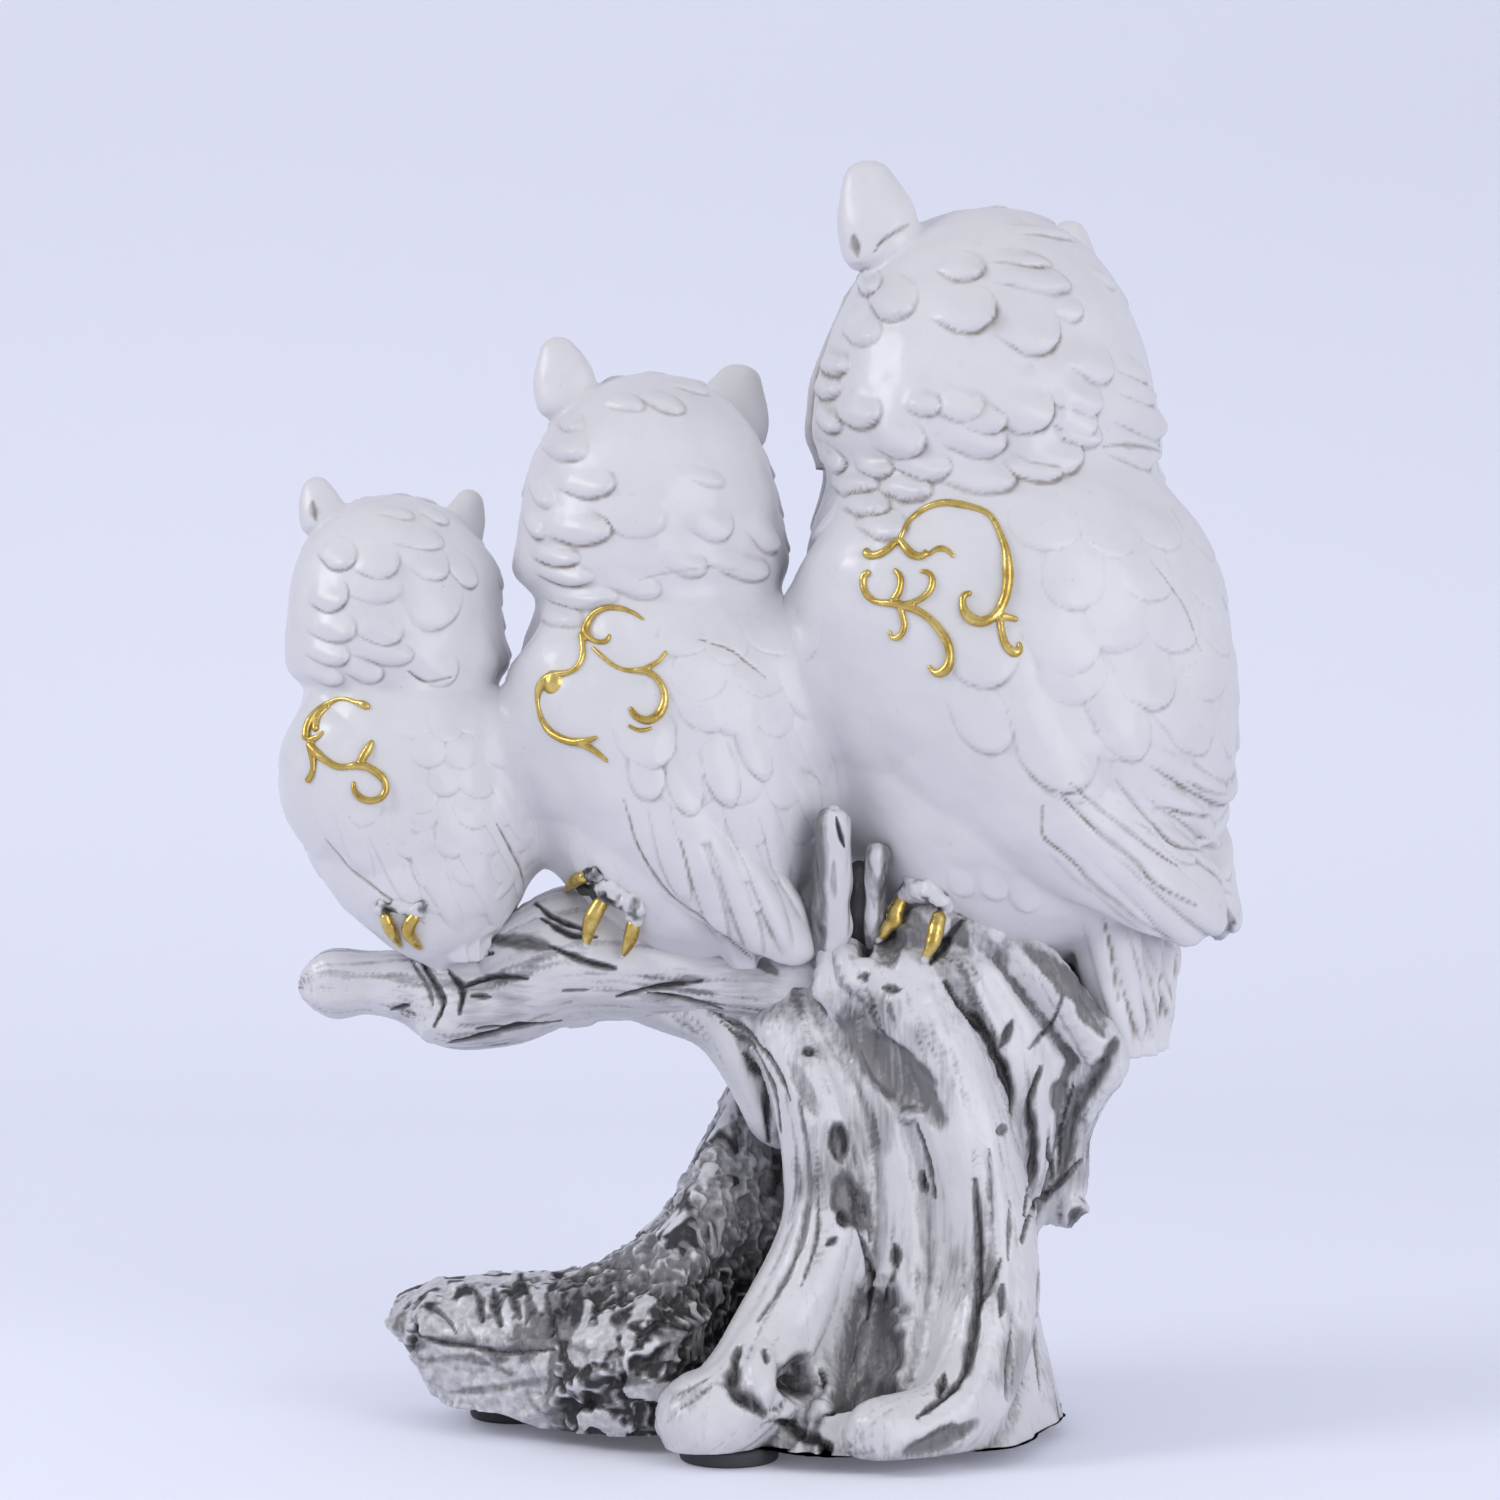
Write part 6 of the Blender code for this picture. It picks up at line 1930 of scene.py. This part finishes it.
def foot_form(forms, owl, side):
    """One foot: the ball of the foot, and a toe that runs down to each claw."""
    ball, radius, dark = FEET[owl.name]
    radii = [FOOT_HEEL * radius] + [radius] * (len(ball) - 1)
    lofts = [tube_rings([on_side(forms, pixel, side) for pixel in ball], radii, 28, 40)]
    for pixels, claw in CLAWS[owl.name]:
        root, after = np.array(pixels[0], float), np.array(pixels[1], float)
        back = (root - after) / np.linalg.norm(root - after)
        toe = [on_side(forms, root + back * reach, side) for reach in TOE_REACHES]
        lofts.append(tube_rings(toe, [share * claw for share in TOE_SHARES], 24, 20))
    form = melted(lofts, FOOT_VOXEL, 6)
    rough = layered(form.points, FOOT_LUMP_SIZE, 3)
    form.wash = np.clip(dark - FOOT_BARE * rough + FOOT_DEEP * form.valleys(FOOT_ROUNDS), 0.0, 1.0)
    form.carve(FOOT_LUMP_TALL * rough)
    return form


def on_face(owl, form, across, level):
    """The point of the face at a place across and up the head, and the head's forward direction."""
    height = owl.neck + level * owl.head_tall
    forward = ahead_of(owl)
    start = placed(owl, (across * owl.head_half, FAR, height), owl.head_turn)
    return met([form], start, -forward)[0], forward


def eye_form(owl, form, side):
    """A domed eye with a round pupil, set into its disc."""
    radius = EYE_RADIUS * owl.head_half
    seat, forward = on_face(owl, form, side * EYE_APART, EYE_LEVEL)
    turn = np.linspace(0.05, 0.5 * math.pi, 24)[::-1]
    path = [seat - forward * radius * EYE_SUNK]
    path += [seat + forward * radius * EYE_DOME * math.sin(0.5 * math.pi - a) for a in turn]
    radii = [radius] + [radius * math.sin(a) for a in turn]
    rings = tube_rings(np.array(path), radii, 48, 60, round_ends=False)
    eye = melted([rings], 0.045 * radius + 0.05, 3)
    offset = eye.points - seat
    out = offset - np.outer(offset @ forward, forward)
    reach = np.linalg.norm(out, axis=1) / radius
    eye.paint = np.where(offset @ forward > 0, 1 - ramp(reach, *PUPIL_EDGE), 0.0)
    eye.wash = 1 - ramp(reach, *IRIS_EDGE)
    return eye


def beak_form(owl, form):
    """A short hooked beak between the eyes."""
    radius = BEAK_RADIUS * owl.head_half
    seat, forward = on_face(owl, form, 0.0, BEAK_LEVEL)
    down = np.array((0.0, 0.0, -BEAK_LENGTH * owl.head_half))
    path = [seat + forward * radius * out + down * drop for out, drop, _ in BEAK_PROFILE]
    radii = [radius * share for _, _, share in BEAK_PROFILE]
    beak = melted([tube_rings(path, radii, 32, 50)], BEAK_VOXEL, 3)
    return gilded(beak, *BEAK_DENTS)


def eased(path, rounds):
    """A path with its small kinks evened out between its ends."""
    path = np.array(path)
    for _ in range(rounds):
        path[1:-1] = 0.5 * path[1:-1] + 0.25 * (path[:-2] + path[2:])
    return path


def scroll_form(owl, form, strokes, drops, on_far_wing):
    """One scroll of joined strokes of changing width that lie along the wing, with drops of gold."""
    lofts = []
    for stroke in strokes:
        drawn = along_curve(stroke, SCROLL_STEP)
        radii = np.maximum(drawn[:, 2] * PIXEL, SCROLL_THIN)
        hits = [seen([form], pixel) for pixel in drawn[:, :2]]
        path = [hit + SCROLL_RISE * radius * normal for (hit, normal), radius in zip(hits, radii)]
        path = eased(path, SCROLL_ROUNDS)
        path = mirrored(owl, path) if on_far_wing else path
        lofts.append(tube_rings(path, radii, 20, 3 * len(path)))
    for pixel, radius in drops:
        hit, normal = seen([form], pixel)
        path = np.array([hit + normal * radius * share for share in DROP_SHARES])
        path = mirrored(owl, path) if on_far_wing else path
        lofts.append(tube_rings(path, (radius, radius, radius), 24, 24))
    scroll = melted(lofts, SCROLL_VOXEL, 2)
    return gilded(scroll, *SCROLL_DENTS)


def pad_form(place):
    """A round rubber pad with rounded rims."""
    radius = PAD_DIAMETER / 2
    bend = np.linspace(0.0, 0.5 * math.pi, 8)
    inner = radius - PAD_CORNER
    low = [(inner + PAD_CORNER * math.sin(a), PAD_CORNER - PAD_CORNER * math.cos(a)) for a in bend]
    high = [(r, PAD_THICKNESS - z) for r, z in reversed(low)]
    turn = round_angles(96)
    rings = [
        np.stack([place[0] + r * np.cos(turn), place[1] + r * np.sin(turn), np.full(len(turn), z)], axis=1)
        for r, z in low + high
    ]
    return melted([np.array(rings)], 0.3, 0)


# Materials
class Look:
    """A procedural material under construction."""

    def __init__(self, name):
        self.material = bpy.data.materials.new(name)
        self.material.use_nodes = True
        self.tree = self.material.node_tree
        self.shader = self.tree.nodes["Principled BSDF"]

    def node(self, kind, values=(), **settings):
        """A new node with its settings, and its inputs set or linked."""
        made = self.tree.nodes.new(kind)
        for name, value in settings.items():
            setattr(made, name, value)
        for name, value in dict(values).items():
            self.feed(made.inputs[name], value)
        return made

    def feed(self, socket, value):
        """Links a socket to another node's output, or sets its value."""
        if isinstance(value, bpy.types.NodeSocket):
            self.tree.links.new(value, socket)
        else:
            socket.default_value = value

    def place(self, stretch=(1.0, 1.0, 1.0)):
        """Object coordinates, stretched."""
        where = self.node("ShaderNodeTexCoord")
        values = {"Vector": where.outputs["Object"], "Scale": stretch}
        return self.node("ShaderNodeMapping", values).outputs[0]

    def grain(self, scale, detail=4.0, where=None):
        """Noise from 0 to 1."""
        values = {"Vector": where or self.place(), "Scale": scale, "Detail": detail}
        return self.node("ShaderNodeTexNoise", values).outputs["Fac"]

    def span(self, value, low, high, to_low=0.0, to_high=1.0):
        """A value carried from one range to another."""
        values = {0: value, 1: low, 2: high, 3: to_low, 4: to_high}
        return self.node("ShaderNodeMapRange", values).outputs[0]

    def sums(self, operation, one, two):
        """Two values put together."""
        return self.node("ShaderNodeMath", {0: one, 1: two}, operation=operation, use_clamp=True).outputs[0]

    def blend(self, share, one, two):
        """A mix of two colours."""
        made = self.node("ShaderNodeMix", data_type="RGBA")
        self.feed(made.inputs[0], share)
        self.feed(made.inputs[6], one)
        self.feed(made.inputs[7], two)
        return made.outputs[2]

    def own(self, name):
        """A number that the carving left on the mesh."""
        return self.node("ShaderNodeAttribute", attribute_name=name).outputs["Fac"]

    def bump(self, height, strength, distance):
        """A fine bump on the surface."""
        values = {"Height": height, "Strength": strength, "Distance": distance}
        self.feed(self.shader.inputs["Normal"], self.node("ShaderNodeBump", values).outputs[0])

    def set(self, **values):
        """Sets or links inputs of the shader."""
        for name, value in values.items():
            self.feed(self.shader.inputs[name.replace("_", " ").title()], value)
        return self.material


def shade(colour):
    """A colour with full opacity."""
    return (*colour, 1.0)


def white_look():
    """Satin white paint with a faint brown-grey wash in the creases."""
    look = Look("white_resin_paint")
    wash = look.own("wash")
    cloud = look.grain(70.0)
    pale = look.blend(look.span(cloud, 0.3, 0.7), *map(shade, WHITE_PAINT))
    worn = look.sums("MULTIPLY", wash, look.span(look.grain(420.0), 0.3, 0.7, 0.65, 1.15))
    stained = look.blend(look.span(worn, 0.05, 0.9), pale, shade(BROWN_WASH))
    specks = look.span(look.grain(1500.0, 1.0), 0.76, 0.80, 0.0, 0.35)
    colour = look.blend(specks, stained, shade(SPECK))
    look.bump(look.grain(900.0, 3.0), 0.12, 0.0002)
    return look.set(
        base_color=colour, roughness=look.span(look.grain(160.0), 0.3, 0.7, 0.38, 0.5),
        coat_weight=0.22, coat_roughness=0.16,
    )


def washed_look(name, stretch):
    """White paint with a dark grey wash left in the grain."""
    look = Look(name)
    where = look.place(stretch)
    streaks = look.grain(900.0, 6.0, where)
    # The wash here also holds painted shade on one side of each twig, on the strip between them and on the
    # stump's top right, and painted light on the highest bark.
    wash = look.own("wash")
    broken = look.sums("ADD", wash, look.span(streaks, 0.35, 0.75, -0.10, 0.16))
    pale = look.blend(look.span(look.grain(90.0), 0.3, 0.7), *map(shade, WOOD_PAINT))
    middle = look.blend(look.span(broken, 0.12, 0.55), pale, shade(GREY_WASH))
    colour = look.blend(look.span(broken, 0.66, 0.96), middle, shade(DARK_WASH))
    look.bump(streaks, 0.25, 0.0003)
    return look.set(
        base_color=colour, roughness=look.span(broken, 0.3, 1.0, 0.34, 0.64),
        coat_weight=0.16, coat_roughness=0.16,
    )


def gilt_look():
    """Gold paint, brushed on thinly enough to vary."""
    look = Look("gilt_paint")
    paint = look.own("paint")
    fine = look.grain(1300.0, 3.0)
    warm = look.blend(look.span(paint, -0.5, 0.6), *map(shade, GOLD_PAINT))
    gold = look.blend(look.span(fine, 0.3, 0.42, 0.45, 0.0), warm, shade(GOLD_WORN))
    bare = look.own("wash")
    colour = look.blend(bare, gold, shade(CLAW_TIP))
    look.bump(fine, 0.3, 0.0002)
    return look.set(
        base_color=colour, metallic=look.span(bare, 0.0, 1.0, 0.9, 0.0),
        roughness=look.span(fine, 0.3, 0.7, 0.24, 0.4),
    )


def eye_look():
    """A glossy gold iris round a black pupil."""
    look = Look("painted_eye")
    iris = look.blend(look.own("wash"), *map(shade, IRIS_PAINT))
    flecks = look.blend(look.span(look.grain(1600.0), 0.35, 0.65, 0.0, 0.5), iris, shade(IRIS_FLECK))
    colour = look.blend(look.own("paint"), flecks, shade(PUPIL))
    return look.set(base_color=colour, roughness=0.16, coat_weight=0.6, coat_roughness=0.05)


def rubber_look():
    """Dark matt rubber with a fine grain."""
    look = Look("dark_rubber")
    grain = look.grain(1400.0, 3.0)
    colour = look.blend(grain, *map(shade, RUBBER_TONES))
    look.bump(grain, 0.3, 0.0002)
    return look.set(base_color=colour, roughness=look.span(grain, 0.3, 0.7, 0.6, 0.8))


# Pieces and stage
def frame_shift():
    """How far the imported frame's origin lies from the sculptor's, in millimetres."""
    low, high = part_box("front_pad")
    middle = np.array((low + high) / 2) / MM
    return np.array((*PAD_PLACES["front"], 0.0)) - (middle[0], middle[1], 0.0)


def finish_piece(form, node, look, shift):
    """Turns a form into a piece that stands for a CAD node."""
    mesh = form.mesh
    mesh.vertices.foreach_set("co", ((form.points - shift) * MM).ravel())
    for name, values in (("wash", form.wash), ("paint", form.paint)):
        mesh.attributes.new(name, "FLOAT", "POINT").data.foreach_set("value", values)
    mesh.materials.clear()
    mesh.materials.append(look)
    mesh.shade_smooth()
    mesh.update()
    piece = bpy.data.objects.new(f"{node}_cast", mesh)
    mesh.name = piece.name
    bpy.context.scene.collection.objects.link(piece)
    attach(piece, "root")
    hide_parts(node)
    return piece


def build_stage():
    """A pale floor that sweeps up into a backdrop, which also shines with painted light that fades out
    upwards.
    """
    bend = np.linspace(0.0, 0.5 * math.pi, 24)
    profile = [(STAGE_FRONT, 0.0), (STAGE_BACK, 0.0)]
    for angle in bend:
        reach = STAGE_BEND * math.sin(angle)
        rise = STAGE_BEND - STAGE_BEND * math.cos(angle)
        profile.append((STAGE_BACK + reach, rise))
    profile += [(STAGE_BACK + STAGE_BEND, STAGE_TOP)]
    points = [(x, y, z) for y, z in profile for x in (-STAGE_HALF, STAGE_HALF)]
    faces = [(2 * i, 2 * i + 1, 2 * i + 3, 2 * i + 2) for i in range(len(profile) - 1)]
    mesh = bpy.data.meshes.new("backdrop")
    mesh.from_pydata(points, [], faces)
    mesh.shade_smooth()
    look = Look("backdrop_paper")
    tone = look.blend(look.grain(3.0), *map(shade, PAPER_TONES))
    where = look.node("ShaderNodeNewGeometry").outputs["Position"]
    height = look.node("ShaderNodeSeparateXYZ", {"Vector": where}).outputs["Z"]
    rays = look.node("ShaderNodeLightPath").outputs
    mirrored_rays = look.sums("ADD", rays["Is Glossy Ray"], rays["Is Transmission Ray"])
    shown = look.sums("ADD", rays["Is Camera Ray"], mirrored_rays)
    # Painted light: the paper shines by itself where the camera or a mirror sees it, less with height.
    painted_glow = look.sums("MULTIPLY", shown, look.span(height, *PAINTED_GLOW_HEIGHTS, PAPER_PAINTED_GLOW, 0.0))
    paper = look.set(
        base_color=tone, roughness=0.9, emission_color=shade(PAINTED_GLOW_COLOUR), emission_strength=painted_glow,
    )
    mesh.materials.append(paper)
    floor = bpy.data.objects.new("backdrop", mesh)
    bpy.context.scene.collection.objects.link(floor)
    floor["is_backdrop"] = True


def add_lamp(name, place, size, power):
    """A square soft light that points at the figurine."""
    lamp = bpy.data.lights.new(name, "AREA")
    lamp.size = size
    lamp.energy = power
    holder = bpy.data.objects.new(name, lamp)
    holder.location = place
    holder.rotation_mode = "QUATERNION"
    holder.rotation_quaternion = (Vector(LIGHT_TARGET) - Vector(place)).to_track_quat("-Z", "Y")
    bpy.context.scene.collection.objects.link(holder)


def build_light():
    """Soft studio light: a key from the left, a fill from the right, a top light and an even room."""
    world = bpy.data.worlds.new("studio")
    world.use_nodes = True
    back = world.node_tree.nodes["Background"]
    back.inputs["Color"].default_value = shade(ROOM_COLOUR)
    back.inputs["Strength"].default_value = ROOM_STRENGTH
    bpy.context.scene.world = world
    for name, (place, size, power) in LAMPS.items():
        add_lamp(name, place, size, power)


def build_camera(shift):
    """The photograph's camera."""
    data = bpy.data.cameras.new("camera")
    data.sensor_width = SENSOR
    data.lens = FOCAL / PHOTO_SIZE * SENSOR
    data.clip_start = 0.01
    data.clip_end = 20.0
    camera = bpy.data.objects.new("camera", data)
    camera.location = (EYE - shift) * MM
    camera.rotation_euler = (0.5 * math.pi - EYE_PITCH, 0.0, 0.0)
    bpy.context.scene.collection.objects.link(camera)
    bpy.context.scene.camera = camera


def build_owls(rng):
    """The three owls, blended into each other and feathered."""
    plain = {owl.name: owl_form(owl) for owl in OWLS}
    forms = {owl.name: owl_form(owl) for owl in OWLS}
    for one, two in (("large_owl", "middle_owl"), ("middle_owl", "small_owl")):
        blend_into(forms[one], plain[one], plain[two])
        blend_into(forms[two], plain[two], plain[one])
    for owl in OWLS:
        form = forms[owl.name]
        form.refresh()
        form.relax(1 - form.free, WEB_RELAX)
        feathered(owl, form, rng)
    return forms


def finish_details(owls, gilt, eye, shift):
    """Makes each owl's eyes, scrolls and beak."""
    for owl in OWLS:
        form = owls[owl.name]
        for side, hand in SIDES:
            finish_piece(eye_form(owl, form, side), f"{owl.name}_{hand}_eye", eye, shift)
            for part, strokes in SCROLLS[owl.name].items():
                drops = SCROLL_DROPS[owl.name][part]
                scroll = scroll_form(owl, form, strokes, drops, hand == "right")
                finish_piece(scroll, f"{owl.name}_{hand}_scroll_{part}", gilt, shift)
        finish_piece(beak_form(owl, form), f"{owl.name}_beak", gilt, shift)


def finish_feet(solids, washed, gilt, shift):
    """Makes each owl's feet and claws, which lie on the wood."""
    for owl in OWLS:
        for side, hand in SIDES:
            foot = foot_form(solids, owl, side)
            finish_piece(foot, f"{owl.name}_{hand}_foot", washed, shift)
            for number, (pixels, radius) in enumerate(CLAWS[owl.name], 1):
                claw = claw_form(solids, pixels, radius, side)
                finish_piece(claw, f"{owl.name}_{hand}_claw_{number}", gilt, shift)


def main():
    """Makes every piece, the stage, the light and the camera, and works out the boxes of the CAD model and of
    the pieces.
    """
    shift = frame_shift()
    rng = np.random.default_rng(SEED)
    white, gilt, eye, rubber = white_look(), gilt_look(), eye_look(), rubber_look()
    upright, level, rugged = [washed_look(*row) for row in WOOD_STRETCHES.items()]

    stump, branch, bark = stump_form(), branch_form(), bark_form()
    owls = build_owls(rng)
    finish_details(owls, gilt, eye, shift)
    finish_feet([stump, branch, *owls.values()], upright, gilt, shift)
    for name, rows in STUBS.items():
        shadow_web = STUB_SHADOW_WEB if name == "short_twig_stub" else ()
        finish_piece(stub_form(rows, shadow_web, STUB_SHADES[name]), name, upright, shift)
    finish_piece(stump, "stump", upright, shift)
    finish_piece(branch, "branch", level, shift)
    finish_piece(bark, "bark_log", rugged, shift)
    for owl in OWLS:
        finish_piece(owls[owl.name], owl.name, white, shift)
    for name, place in PAD_PLACES.items():
        finish_piece(pad_form(place), f"{name}_pad", rubber, shift)

    build_stage()
    build_light()
    build_camera(shift)
    bpy.context.scene.view_settings.view_transform = "Standard"
    boxes = {"cad": CAD_BOX, "visual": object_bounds()}
    {name: [list(corner) for corner in box] for name, box in boxes.items()}


main()
